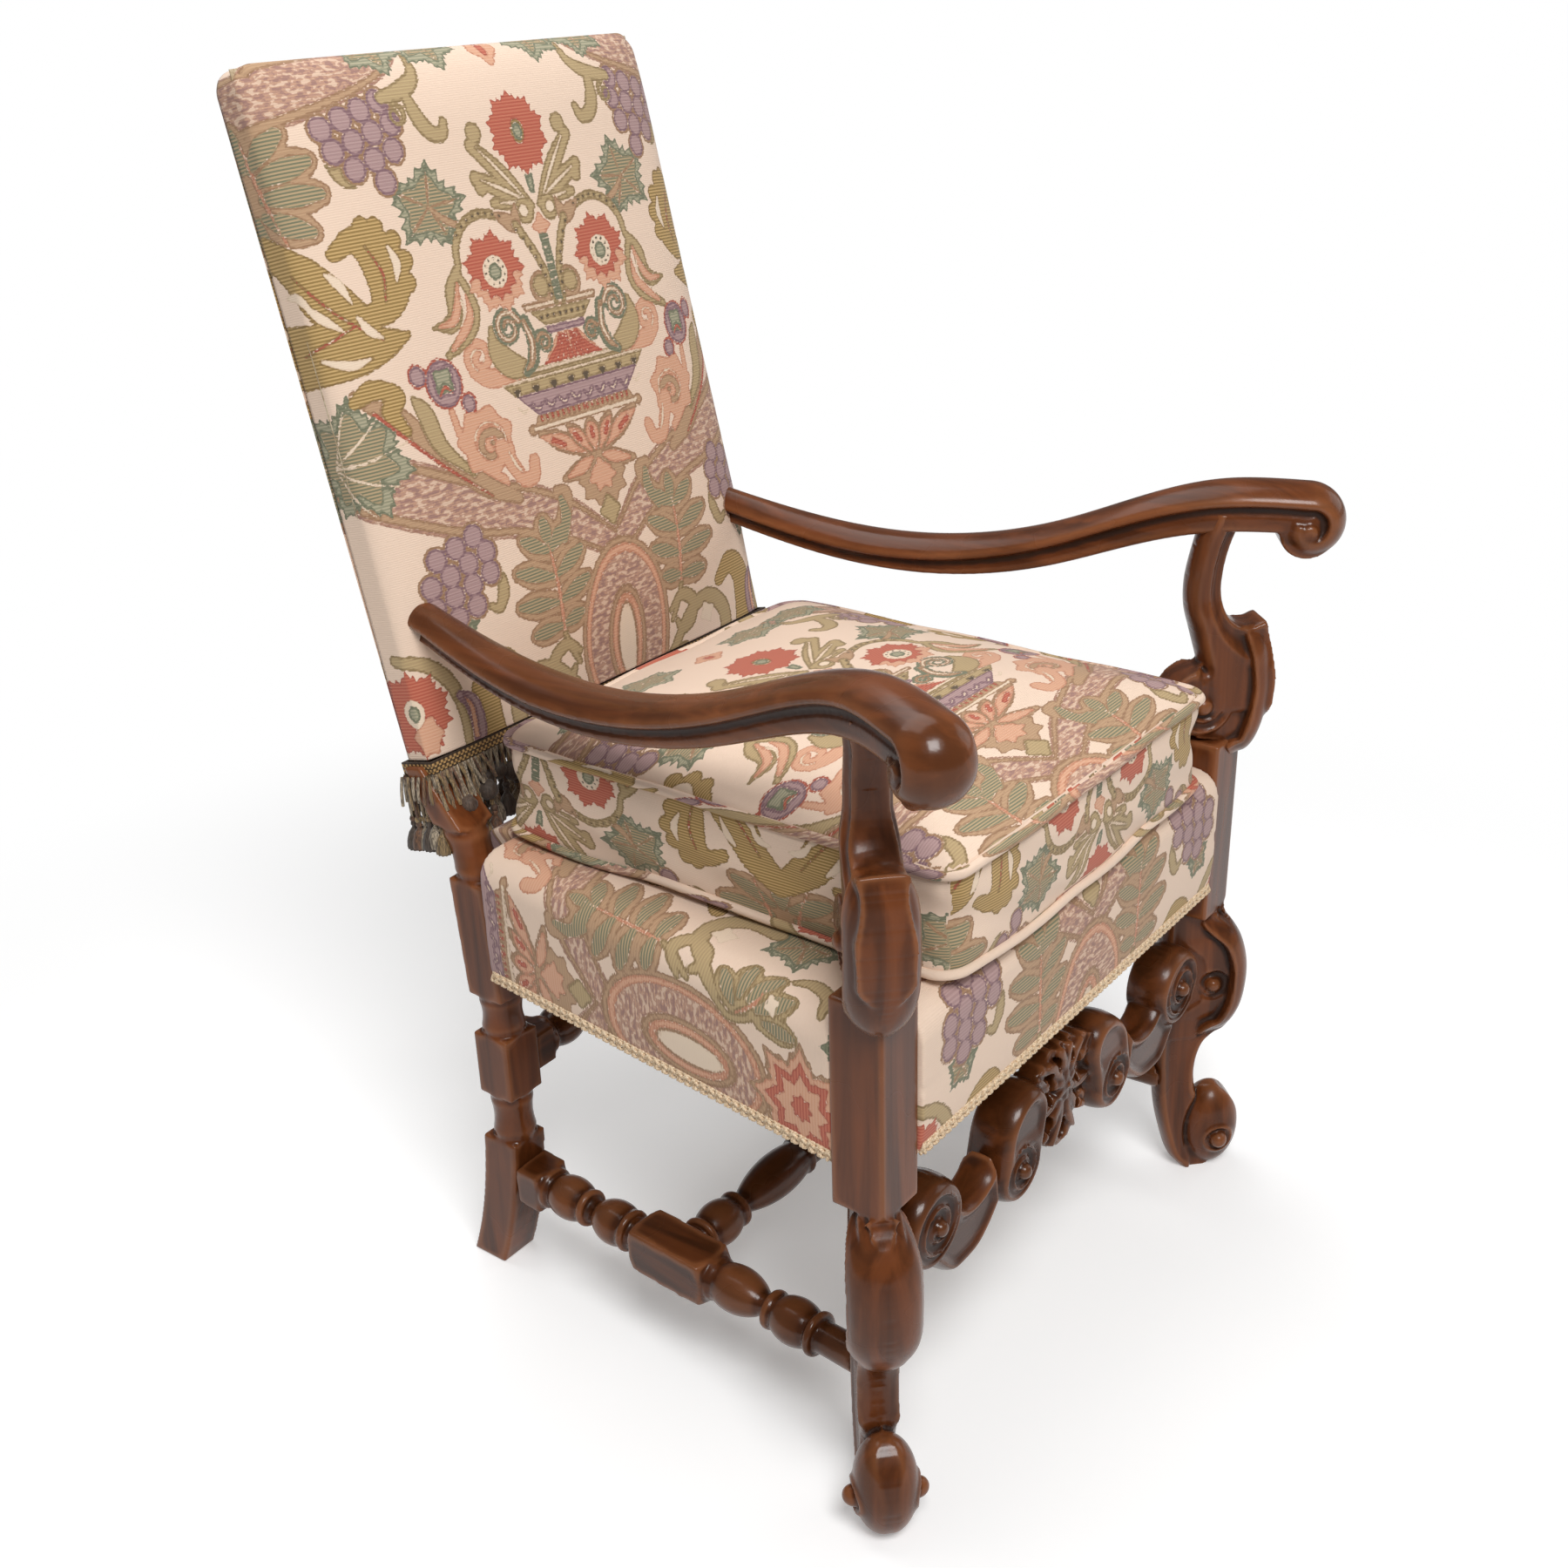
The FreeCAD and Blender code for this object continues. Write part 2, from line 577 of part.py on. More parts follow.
legs = {}
rear_legs = {}
arms = {}
leg_holes = {"left": [], "right": []}
rear_holes = {"left": [], "right": []}
arm_holes = {"left": [], "right": []}
leg_shape = scroll_leg()
support_shape = arm_support()
for side, sign in sides:
    legs[side] = feature(f"leg_blank_{side}", leg_shape, diagonal(sign))
    rear_legs[side] = feature(f"rear_blank_{side}", rear_leg(sign))
    arms[side] = feature(f"arm_blank_{side}", arm(sign))

# Arm supports stand on the posts and carry the arms, with a round tenon at each end
for side, sign in sides:
    upright = feature(f"support_blank_{side}", support_shape, diagonal(sign))
    coped = cut(f"support_coped_{side}", upright, arms[side])
    foot_tenon, foot_hole = round_tenon(f"support_foot_{side}", sign * post_x, post_y, d.post_top + 12,
                                        (1, 0, 0), 180, d.tenon_depth + 18)
    head_low = d.arm_front_top - d.arm_front_thick - 14
    head_tenon, head_hole = round_tenon(f"support_head_{side}", sign * post_x, post_y, head_low, (0, 0, 1), 0,
                                        d.tenon_depth + 14)
    node(fuse(f"arm_support_{side}_solid", coped, foot_tenon, head_tenon), f"arm_support_{side}")
    leg_holes[side].append(foot_hole)
    arm_holes[side].append(head_hole)

# Arms end square against the stiles, with a round tenon into each
for side, sign in sides:
    stile_face = float(d.back_pad) + 1
    beyond = in_back(f"arm_end_{side}", Part.makeBox(800, 200, 400, vec(-400, stile_face, 0)))
    bored = cut(f"arm_bored_{side}", arms[side], beyond, *arm_holes[side])
    level = float(d.arm_rear_top - d.arm_thick / 2 - d.back_low) / math.cos(math.radians(d.back_tilt.value))
    reach = float(d.stile_thick) * 0.7
    tongue = Part.makeCylinder(float(d.tenon_radius), reach + 12, vec(sign * d.arm_rear_half, stile_face - 12, level),
                               vec(0, 1, 0))
    hole = Part.makeCylinder(float(d.tenon_radius + d.fit), reach + 12.1,
                             vec(sign * d.arm_rear_half, stile_face - 12, level), vec(0, 1, 0))
    peg = in_back(f"arm_tenon_{side}", tongue)
    rear_holes[side].append(in_back(f"arm_mortise_{side}", hole))
    node(fuse(f"arm_{side}_solid", bored, peg), f"arm_{side}")

# Seat rails, tenoned into the posts and legs
rail_front_y = -d.front_set + d.rail_inset
tongue_z = d.rail_low + (d.seat_rail - d.tenon_height) / 2
front_length = 2 * (d.half_front - d.post_square)
front_box = box("front_rail_box", -front_length / 2, rail_front_y, d.rail_low, front_length, d.rail_thick, d.seat_rail)
front_tongue, front_hole = tenon("front_rail", -front_length / 2 - d.tenon_depth,
                                 rail_front_y + (d.rail_thick - d.tenon_thick) / 2, tongue_z,
                                 front_length + 2 * d.tenon_depth, d.tenon_thick, d.tenon_height)
node(fuse("front_rail_solid", front_box, front_tongue), "front_rail")
rear_length = 2 * (d.half_rear - d.rear_square)
rear_rail_y = rear_face - d.rail_inset - d.rail_thick
rear_box = box("rear_rail_box", -rear_length / 2, rear_rail_y, d.rail_low, rear_length, d.rail_thick, d.seat_rail)
rear_tongue, rear_hole = tenon("rear_rail", -rear_length / 2 - d.tenon_depth,
                               rear_rail_y + (d.rail_thick - d.tenon_thick) / 2, tongue_z,
                               rear_length + 2 * d.tenon_depth, d.tenon_thick, d.tenon_height)
node(fuse("rear_rail_solid", rear_box, rear_tongue), "rear_rail")
post_back = d.post_square - d.front_set
leg_front = rear_face - d.rear_square


# Half the width of the seat at a given distance from the origin
slant = (d.half_front - d.half_rear) / d.seat_depth


def seat_half(y):
    return d.half_front - 1 - slant * (y + d.front_set)


rail_fore = seat_half(post_back) - d.cover_thick - 1
rail_aft = seat_half(leg_front) - d.cover_thick - 1


# A side rail is a board whose plan slants inwards to the rear
def side_rail(side, sign):
    body = doc.addObject("PartDesign::Body", f"side_rail_board_{side}")
    sketch = body.newObject("Sketcher::SketchObject", f"side_rail_plan_{side}")
    plane = next(f for f in body.Origin.OriginFeatures if f.Role == "XY_Plane")
    sketch.AttachmentSupport = [(plane, "")]
    sketch.MapMode = "FlatFace"
    out_front = sign * rail_fore
    out_rear = sign * rail_aft
    corners = ((out_front, post_back), (out_rear, leg_front), (out_rear - sign * d.rail_thick, leg_front),
               (out_front - sign * d.rail_thick, post_back))
    flat = [FreeCAD.Vector(float(x), float(y), 0) for x, y in corners]
    for index in range(4):
        sketch.addGeometry(Part.LineSegment(flat[index], flat[(index + 1) % 4]), False)
    for index in range(4):
        sketch.addConstraint(Sketcher.Constraint("Coincident", index, 2, (index + 1) % 4, 1))
    for index, (x, y) in enumerate(corners):
        for kind, value in (("DistanceX", x), ("DistanceY", y)):
            row = sketch.addConstraint(Sketcher.Constraint(kind, -1, 1, index, 1, float(value)))
            sketch.setExpression(f"Constraints[{row}]", value.text)
    pad = body.newObject("PartDesign::Pad", f"side_rail_height_{side}")
    pad.Profile = sketch
    bind(pad, Length=d.seat_rail)
    body.Tip = pad
    return move(body, 0, 0, d.rail_low)


for side, sign in sides:
    board = side_rail(side, sign)
    fore_x = sign * (rail_fore - d.rail_thick / 2) - d.tenon_thick / 2
    fore, fore_hole = tenon(f"side_rail_fore_{side}", fore_x, post_back - d.tenon_depth, tongue_z, d.tenon_thick,
                            d.tenon_depth + 3, d.tenon_height)
    aft_x = sign * (rail_aft - d.rail_thick / 2) - d.tenon_thick / 2
    aft, aft_hole = tenon(f"side_rail_aft_{side}", aft_x, leg_front - 3, tongue_z, d.tenon_thick,
                          d.tenon_depth * 0.8 + 3, d.tenon_height)
    node(fuse(f"side_rail_{side}_solid", board, fore, aft), f"side_rail_{side}")
    leg_holes[side] += [front_hole, fore_hole]
    rear_holes[side] += [rear_hole, aft_hole]


# Triangular glue blocks in the corners of the seat frame
def corner_block(sign, rear):
    inner_front = rail_front_y + d.rail_thick

    def rail_x(y):
        return float(seat_half(y) - d.cover_thick - 1 - d.rail_thick)

    if rear:
        y = float(leg_front)
        points = [vec(sign * (d.half_rear - d.rear_square), y, 0), vec(sign * rail_x(y), y, 0),
                  vec(sign * rail_x(y - d.block_leg.value), y - d.block_leg.value, 0),
                  vec(sign * (d.half_rear - d.rear_square - d.block_leg), rear_rail_y, 0),
                  vec(sign * (d.half_rear - d.rear_square), rear_rail_y, 0)]
    else:
        corner_x = d.half_front - d.post_square
        points = [vec(sign * corner_x, post_back, 0), vec(sign * rail_x(post_back), post_back, 0),
                  vec(sign * rail_x(post_back + 40), post_back + 40, 0),
                  vec(sign * (corner_x - d.block_leg), inner_front, 0), vec(sign * corner_x, inner_front, 0)]
    shape = Part.Face(Part.Wire(loop(points))).extrude(vec(0, 0, d.seat_rail - 16))
    shape.translate(vec(0, 0, d.rail_low + 8))
    return shape


blocks = [feature(f"corner_{side}_{'rear' if rear else 'front'}", corner_block(sign, rear))
          for side, sign in sides for rear in (False, True)]
node(group("corner_blocks_set", blocks), "corner_blocks")

# Rails of the back, between the stiles
for label, low in (("back_lower_rail", 6), ("back_top_rail", d.back_length - 10 - d.rail_height)):
    deep = d.back_pad + 1
    width = 2 * (d.half_rear - d.rear_square)
    rail = Part.makeBox(float(width), float(d.stile_thick), float(d.rail_height), vec(-width / 2, deep, low))
    tongue = Part.makeBox(float(width + 2 * d.tenon_depth), float(d.stile_thick) / 3, float(d.rail_height) * 0.6,
                          vec(-width / 2 - d.tenon_depth, deep + d.stile_thick / 3, low + d.rail_height * 0.2))
    gap = float(d.fit)
    hole = Part.makeBox(tongue.BoundBox.XLength + 2 * gap, tongue.BoundBox.YLength + 2 * gap,
                        tongue.BoundBox.ZLength + 2 * gap,
                        vec(tongue.BoundBox.XMin - gap, tongue.BoundBox.YMin - gap, tongue.BoundBox.ZMin - gap))
    node(in_back(f"{label}_solid", rail.fuse(tongue)), label)
    mortise = in_back(f"{label}_mortise", hole)
    rear_holes["left"].append(mortise)
    rear_holes["right"].append(mortise)

# Turned side stretchers run from the rear legs to the backs of the scroll legs
rear_end = vec(rear_x, leg_front, d.side_rear_level)
fore_shift = d.heel_reach * 0.95 * math.sqrt(0.5)
fore_end = vec(post_x - fore_shift, post_y + fore_shift, d.side_front_level)
side_run = (fore_end - rear_end).Length
block_end = d.block_from_rear + d.centre_block
rear_steps = [(d.end_block, None, d.end_radius)] + ball_steps() + vase_steps(d.vase_length - 10)
front_steps = [(0, None, d.ring_radius)] + vase_back(d.vase_length) + ball_back()
inner_run = block_end - length_of(rear_steps)
last_run = size(side_run) + d.cope_depth - block_end - length_of(front_steps)
side_steps = (rear_steps + [(0, None, d.end_radius), (inner_run, None, d.end_radius)] + front_steps
              + [(last_run, None, d.end_radius + 1)])
for side, sign in sides:
    reach = FreeCAD.Vector(sign * (fore_end.x - rear_end.x), fore_end.y - rear_end.y, fore_end.z - rear_end.z)
    start = FreeCAD.Vector(sign * rear_end.x, rear_end.y, rear_end.z)
    spindle = turned(f"side_spindle_{side}", d.end_radius, side_steps)
    pieces = [spindle, pommel(f"side_centre_{side}", d.block_from_rear, d.centre_block),
              box(f"side_end_{side}", -6, -d.rear_square / 2 + 1, -d.rear_square / 2 + 1, d.end_block + 6,
                  d.rear_square - 2, d.rear_square - 2)]
    whole = fuse(f"side_whole_{side}", *pieces)
    whole.Placement = FreeCAD.Placement(start, FreeCAD.Rotation(FreeCAD.Vector(1, 0, 0), reach))
    coped = cut(f"side_coped_{side}", whole, legs[side], rear_legs[side])
    turn = FreeCAD.Rotation(FreeCAD.Vector(0, 0, 1), reach)
    along = FreeCAD.Vector(reach).normalize()
    tongues = []
    for end, spot, holes in (("fore", start + reach - along * 30, leg_holes), ("aft", start + along * 10, rear_holes)):
        way = turn if end == "fore" else FreeCAD.Rotation(FreeCAD.Vector(0, 0, 1), reach * -1)
        length = d.tenon_depth + (24 if end == "fore" else 10)
        for kind, radius, run in (("tenon", d.tenon_radius, length), ("mortise", d.tenon_radius + d.fit, length + d.fit)):
            peg = bind(doc.addObject("Part::Cylinder", f"side_{end}_{kind}_{side}"), Radius=radius, Height=run)
            peg.Placement = FreeCAD.Placement(spot, way)
            if kind == "tenon":
                tongues.append(peg)
            else:
                holes[side].append(peg)
    node(fuse(f"side_stretcher_{side}_solid", coped, *tongues), f"side_stretcher_{side}")

# Cross stretcher between the blocks of the side stretchers
share = float(d.block_from_rear + d.centre_block / 2) / side_run
centre = rear_end + (fore_end - rear_end) * share
side_holes = []


def spindle_half(lead, vase):
    return [(lead, None, d.end_radius)] + ball_steps() + vase_steps(vase)


def mirrored(label, half_run, lead, vase):
    steps = spindle_half(lead, vase)
    rest = size(half_run) - length_of(steps)
    return turned(label, d.end_radius, steps + [(0, None, d.vase_radius * 0.8), (rest, None, d.vase_radius * 0.9)])


cross_half = centre.x - float(d.block_square) / 2
cross_parts = []
for side, sign in sides:
    half = mirrored(f"cross_half_{side}", cross_half, d.waist_length, d.long_vase)
    half.Placement = FreeCAD.Placement(FreeCAD.Vector(sign * cross_half, centre.y, centre.z),
                                       FreeCAD.Rotation(FreeCAD.Vector(0, 0, 1), 180 if sign > 0 else 0))
    cross_parts.append(half)
    tongue, hole = round_tenon(f"cross_{side}", sign * (cross_half - 8), centre.y, centre.z, (0, 1, 0), sign * 90,
                               d.tenon_depth + 8)
    cross_parts.append(tongue)
    stretcher = nodes.pop(f"side_stretcher_{side}")
    stretcher.Label = f"side_turned_{side}"
    blank = cut(f"side_seat_{side}", stretcher, cross_parts[-2])
    node(cut(f"side_stretcher_{side}_bored", blank, hole), f"side_stretcher_{side}")
node(fuse("cross_stretcher_solid", *cross_parts), "cross_stretcher")

# Rear stretcher between the lower blocks of the rear legs
rear_half = d.half_rear - d.rear_square
rear_parts = []
for side, sign in sides:
    half = mirrored(f"rear_half_{side}", rear_half.value, d.end_block, d.long_vase - 20)
    half.Placement = FreeCAD.Placement(vec(sign * rear_half, rear_y, d.rear_stretcher_level),
                                       FreeCAD.Rotation(FreeCAD.Vector(0, 0, 1), 180 if sign > 0 else 0))
    low = sign * rear_half - (d.end_block if sign > 0 else 0)
    end = box(f"rear_end_{side}", low, rear_y - d.rear_square / 2 + 2, d.rear_stretcher_level - d.rear_square / 2 + 2,
              d.end_block, d.rear_square - 4, d.rear_square - 4)
    tongue, hole = round_tenon(f"rear_peg_{side}", sign * (rear_half - 8), rear_y, d.rear_stretcher_level, (0, 1, 0),
                               sign * 90, d.tenon_depth + 8)
    rear_holes[side].append(hole)
    rear_parts += [half, end, tongue]
node(fuse("rear_stretcher_solid", *rear_parts), "rear_stretcher")


# Carved front stretcher: two broken scrolls on each side of a pierced panel with a flower
def carved_half():
    thick = d.carved_thick
    outer = drum(d.outer_eye_half, d.outer_eye_level, d.outer_volute, d.outer_volute - 3, thick)
    outer = volutes(outer, d.outer_eye_half, d.outer_eye_level, thick, d.volute_radius)
    low, high = d.inner_low_level, d.inner_high_level
    left, right = d.inner_eye_half - d.inner_volute, d.inner_eye_half + d.inner_volute
    ends = [at(left, low), at(right, low), at(right, high), at(left, high)]
    inner = [arc(ends[0], at(d.inner_eye_half, low - d.inner_volute), ends[1]), line(ends[1], ends[2]),
             arc(ends[2], at(d.inner_eye_half, high + d.inner_volute), ends[3]), line(ends[3], ends[0])]
    inner = volutes(slab(inner, thick), d.inner_eye_half, low - 4, thick, d.volute_radius)
    cusp = at(right, high)
    toe = at(d.outer_eye_half, d.outer_eye_level - d.outer_volute + 1)
    heel = at(d.outer_eye_half - d.outer_volute + 4, d.outer_eye_level - 4)
    start = at(right - 6, low - 10)
    middle = (float(right) + float(d.outer_eye_half)) / 2
    under = curve(start, at(middle - 20, d.band_low + 2), at(middle + 24, d.band_low + 3), toe)
    over = curve(heel, at(middle - 8, d.band_dip), at(right + 6, d.band_dip + 9), cusp)
    band = slab([under, line(toe, heel), over, line(cusp, start)], thick - 6)
    return outer.fuse([inner, band])


def carved_panel():
    half, low, top = d.panel_half, d.panel_low, d.panel_top
    edges = [arc(at(-half, low + 6), at(0, low - 6), at(half, low + 6)), line(at(half, low + 6), at(half, top - 10)),
             arc(at(half, top - 10), at(0, top + 2), at(-half, top - 10)),
             line(at(-half, top - 10), at(-half, low + 6))]
    panel = slab(edges, d.panel_thick)
    for way in (-1, 1):
        for level, tall, wide in ((d.flower_level + 4, 22, 9), (d.flower_level - 33, 9, 9)):
            hole = Part.makeCylinder(1, 80, vec(0, -40, 0), vec(0, 1, 0))
            stretch = FreeCAD.Matrix()
            stretch.scale(float(wide), 1, float(tall))
            hole = hole.transformGeometry(stretch)
            hole.translate(vec(way * (d.panel_half * 0.47), 0, level))
            panel = panel.cut(hole)
    boss = Part.makeCone(float(d.flower_radius), float(d.flower_radius) * 0.5, 9,
                         vec(0, -d.panel_thick / 2, d.flower_level), vec(0, -1, 0))
    return panel.fuse(boss)


half = carved_half()
other = half.mirror(FreeCAD.Vector(0, 0, 0), FreeCAD.Vector(1, 0, 0))
carved = half.fuse([other, carved_panel()])
carved_blank = feature("front_carved", carved, FreeCAD.Placement(vec(0, post_y, 0), FreeCAD.Rotation()))
carved_coped = cut("front_carved_coped", carved_blank, legs["left"], legs["right"])
carved_pegs = []
for side, sign in sides:
    tongue, hole = round_tenon(f"carved_{side}", sign * (d.outer_eye_half + 10), post_y, d.outer_eye_level + 16,
                               (0, 1, 0), sign * 90, d.tenon_depth + 26)
    carved_pegs.append(tongue)
    leg_holes[side].append(hole)
node(fuse("front_stretcher_solid", carved_coped, *carved_pegs), "front_stretcher")

for side, sign in sides:
    node(cut(f"front_leg_{side}_solid", legs[side], *leg_holes[side]), f"front_leg_{side}")
    node(cut(f"rear_leg_{side}_solid", rear_legs[side], *rear_holes[side]), f"rear_leg_{side}")


# Plan of the seat, grown outwards by a given amount
def seat_plan(grow, z):
    front = -float(d.front_set) + 1 - grow
    rear = float(rear_face) - 1 + grow
    wide_front = float(d.half_front) - 1 + grow
    wide_rear = float(d.half_rear) - 1 + grow
    return Part.Wire(loop([vec(-wide_front, front, z), vec(wide_front, front, z), vec(wide_rear, rear, z),
                           vec(-wide_rear, rear, z)]))


# Stuffed-over seat: upright at the rails, swelling above them and rounded over to a flat top
def seat_form(inset, low):
    bottom, top = float(low), float(d.seat_top) - inset
    drop = top - float(d.seat_round)
    bulge = float(d.seat_bulge)
    rings = [seat_plan(-inset, bottom), seat_plan(bulge - inset, (bottom + drop) / 2 + 8),
             seat_plan(bulge - 4 - inset, drop + 6), seat_plan(bulge - 12 - inset, top - 5),
             seat_plan(bulge - 26 - inset, top)]
    return Part.makeLoft(rings, True, True)


def clearances(gap):
    tools = []
    for sign in (-1, 1):
        tools.append(Part.makeBox(float(d.post_square) + 60, float(d.post_square) + 60, 400,
                                  vec(sign * (d.half_front - d.post_square - gap) - (60 + d.post_square if sign < 0 else 0),
                                      -d.front_set - 60 + gap, 200)))
        tools.append(Part.makeBox(float(d.rear_square) + 60, float(d.rear_square) + 60, 400,
                                  vec(sign * (d.half_rear - d.rear_square - gap) - (60 + d.rear_square if sign < 0 else 0),
                                      leg_front - gap, 200)))
    return tools


gap = float(d.soft_gap)
thick = float(d.cover_thick)
rail_top = d.rail_low + d.seat_rail
web_top = rail_top + 2 * d.web_thick + 1
outer_form = seat_form(0, d.rail_low)
inner_form = seat_form(thick, d.rail_low - 10)
cover_shape = outer_form.cut(inner_form)
for tool in clearances(gap):
    cover_shape = cover_shape.cut(tool)
node(feature("seat_cover_solid", cover_shape), "seat_cover")
stuffing = seat_form(thick + gap, d.rail_low)
stuffing = stuffing.cut(Part.makeBox(1000, 1000, 300, vec(-500, -500, web_top + 0.5 - 300)))
for tool in clearances(gap):
    stuffing = stuffing.cut(tool)
node(feature("seat_stuffing_solid", stuffing), "seat_stuffing")

# Webbing lies on the rails: strips front to back, strips across them, and hessian over both
inside_rear = d.half_rear - d.rail_inset - d.rear_square
long_strips = [box(f"web_long_{index}", index * d.web_width * 1.5 - d.web_width / 2, rail_front_y + 2, rail_top,
                   d.web_width, d.seat_depth - 2 * d.rail_inset - 4, d.web_thick) for index in (-2, -1, 0, 1, 2)]
node(group("seat_webbing_long_set", long_strips), "seat_webbing_long")
web_step = (leg_front - post_back) / 5
cross_strips = []
for index in range(5):
    y = post_back + web_step * (index + 0.5) - d.web_width / 2
    half_width = d.half_front - d.rail_inset - 3 - (d.half_front - d.half_rear) * ((index + 1.1) / 5)
    cross_strips.append(box(f"web_cross_{index}", -half_width, y, rail_top + d.web_thick, 2 * half_width, d.web_width,
                            d.web_thick))
node(group("seat_webbing_cross_set", cross_strips), "seat_webbing_cross")
node(box("seat_hessian_sheet", -(d.half_rear - d.rear_square - 2), rail_front_y + 6, rail_top + 2 * d.web_thick,
         2 * (d.half_rear - d.rear_square - 2), d.seat_depth - 2 * d.rail_inset - 14, 1), "seat_hessian")


# Looped braid along the lower edge of the cover, between the posts
def gimp_strip(start, end, out):
    low, high = float(d.rail_low), float(d.rail_low + d.gimp_height)
    push = FreeCAD.Vector(out).normalize()
    near, far = push * 0.9, push * (0.9 + float(d.gimp_thick))
    base = [start + near, end + near, end + far, start + far]
    face = Part.Face(Part.Wire(loop([vec(p.x, p.y, low) for p in base])))
    return face.extrude(vec(0, 0, high - low))


gimp = [gimp_strip(vec(-front_length / 2 + 1, -d.front_set + 1, 0), vec(front_length / 2 - 1, -d.front_set + 1, 0),
                   vec(0, -1, 0)),
        gimp_strip(vec(-rear_length / 2 + 1, rear_face - 1, 0), vec(rear_length / 2 - 1, rear_face - 1, 0),
                   vec(0, 1, 0))]
for side, sign in sides:
    y_fore, y_aft = post_back + 1, leg_front - 1
    x_fore = d.half_front - 1 - slant * d.post_square
    x_aft = d.half_rear - 1 + slant * d.rear_square
    gimp.append(gimp_strip(vec(sign * x_fore, y_fore, 0), vec(sign * x_aft, y_aft, 0),
                           vec(sign, float(slant), 0)))
node(feature("seat_gimp_solid", Part.makeCompound(gimp)), "seat_gimp")

# Back upholstery, drawn upright in the back's own frame: webbing, pad and the two covers
wide = float(d.half_back)
tall = float(d.back_length)
deep = float(d.back_thick)
pad = float(d.back_pad)
frame_front = pad + 1
web_back = frame_front
strips = [Part.makeBox(float(d.web_width), float(d.web_thick) / 2, tall - 16,
                       vec(index * d.web_width * 1.6 - d.web_width / 2, web_back - d.web_thick / 2, 7))
          for index in (-2, -1, 0, 1, 2)]
node(in_back("back_webbing_long_set", Part.makeCompound(strips)), "back_webbing_long")
half_stile = float(d.stile_half) - 2
strips = [Part.makeBox(2 * half_stile, float(d.web_thick) / 2, float(d.web_width),
                       vec(-half_stile, web_back - d.web_thick, 40 + index * 115)) for index in range(5)]
node(in_back("back_webbing_cross_set", Part.makeCompound(strips)), "back_webbing_cross")


# A crowned pad between its back plane and its front, rolled over at its edges and swelling to the middle
def crowned(half, low, high, back, front, swell):
    roll = float(d.back_roll)
    foot = float(d.header_height) + 6
    middle = (low + high) / 2
    levels = ((low, 0), (foot, 0), (foot + roll, 0.55), (foot + 3 * roll, 0.88), (middle, 1), (high - 2 * roll, 0.9),
              (high - 0.6 * roll, 0.6), (high, 0))
    edge = front + float(d.back_edge)
    rings = []
    for z, share in levels:
        bow = []
        for part in (-1, -0.95, -0.82, -0.5, 0, 0.5, 0.82, 0.95, 1):
            fullness = 0.75 * math.sqrt(1 - part ** 6) + 0.25 * (1 - part ** 2)
            bow.append(vec(part * half, edge - (swell * share + edge - front) * fullness, z))
        left, right = vec(-half, back, z), vec(half, back, z)
        rings.append(Part.Wire([line(bow[0], left), line(left, right), line(right, bow[-1]), curve(*bow[::-1])]))
    return Part.makeLoft(rings, True, True)


# The arms pass through the front of the back, in a square notch of the pad
back_inverse = back_frame.inverse()
pad_shape = crowned(wide - thick - gap, 3, tall - thick - gap, web_back - float(d.web_thick) - 0.2, thick + gap,
                    float(d.back_crown))
outer = crowned(wide, 0, tall, deep - 2.5, 0, float(d.back_crown))
hollow = crowned(wide - thick, thick, tall - thick, deep + 20, thick, float(d.back_crown))
cover = outer.cut(hollow)
arm_level = float(d.arm_rear_top - d.arm_thick / 2 - d.back_low) / math.cos(math.radians(d.back_tilt.value))
pad_room = 4.0
notch_low = arm_level - float(d.arm_thick) / 2 - float(d.back_crown) - pad_room
notch_high = arm_level + float(d.arm_thick) / 2 + pad_room
for side, sign in sides:
    for room in (0, 2 * gap):
        passage = arm_body(sign, room)
        passage.Placement = back_inverse
        cover = cover.cut(passage)
    across = float(d.arm_rear_width) + 2 * pad_room
    pad_shape = pad_shape.cut(Part.makeBox(across, 200, notch_high - notch_low,
                                           vec(sign * d.arm_rear_half - across / 2, -150, notch_low)))
stile_slots = [Part.makeBox(float(d.rear_square) + 2 * gap, deep, 40,
                            vec(sign * rear_x - d.rear_square / 2 - gap, pad + 1 - gap, -20)) for sign in (-1, 1)]
for slot in stile_slots:
    cover = cover.cut(slot)
node(in_back("back_stuffing_solid", pad_shape), "back_stuffing")
node(in_back("back_cover_solid", cover), "back_cover")
node(in_back("back_outer_cover_solid", Part.makeBox(2 * wide - 2, 2, tall - 2, vec(-wide + 1, deep - 2.3, 1))),
     "back_outer_cover")


# Fringe: a woven header round the lower edge of the back and tassels hung from it
def ring_box(half, front, rear, low, high, wall):
    outer = Part.makeBox(2 * half, rear - front, high - low, vec(-half, front, low))
    inner = Part.makeBox(2 * (half - wall), rear - front - 2 * wall, high - low, vec(-half + wall, front + wall, low))
    return outer.cut(inner)


wall = float(d.header_thick)
band_half = wide + wall + gap
band_front = -2 - wall - gap
band_rear = deep + wall + gap
header = ring_box(band_half, band_front, band_rear, 2, 2 + float(d.header_height), wall)
node(in_back("fringe_header_solid", header), "fringe_header")
spots = []
pitch = float(d.tassel_gap)
front_y, header_z = back_at(2, band_front + wall / 2)
rear_y_line, rear_z = back_at(2, band_rear - wall / 2)
count = int(2 * band_half / pitch)
for index in range(count + 1):
    x = -band_half + wall + (2 * band_half - 2 * wall) * index / count
    if abs(x) < float(d.half_rear - d.rear_square) - 2 * float(d.tassel_radius):
        spots.append((x, front_y, header_z))
    spots.append((x, rear_y_line, rear_z))
tassels = [Part.makeCone(float(d.tassel_radius) * 0.35, float(d.tassel_radius), float(d.tassel_length),
                         vec(x, y, z - 0.6), vec(0, 0, -1)) for x, y, z in spots]
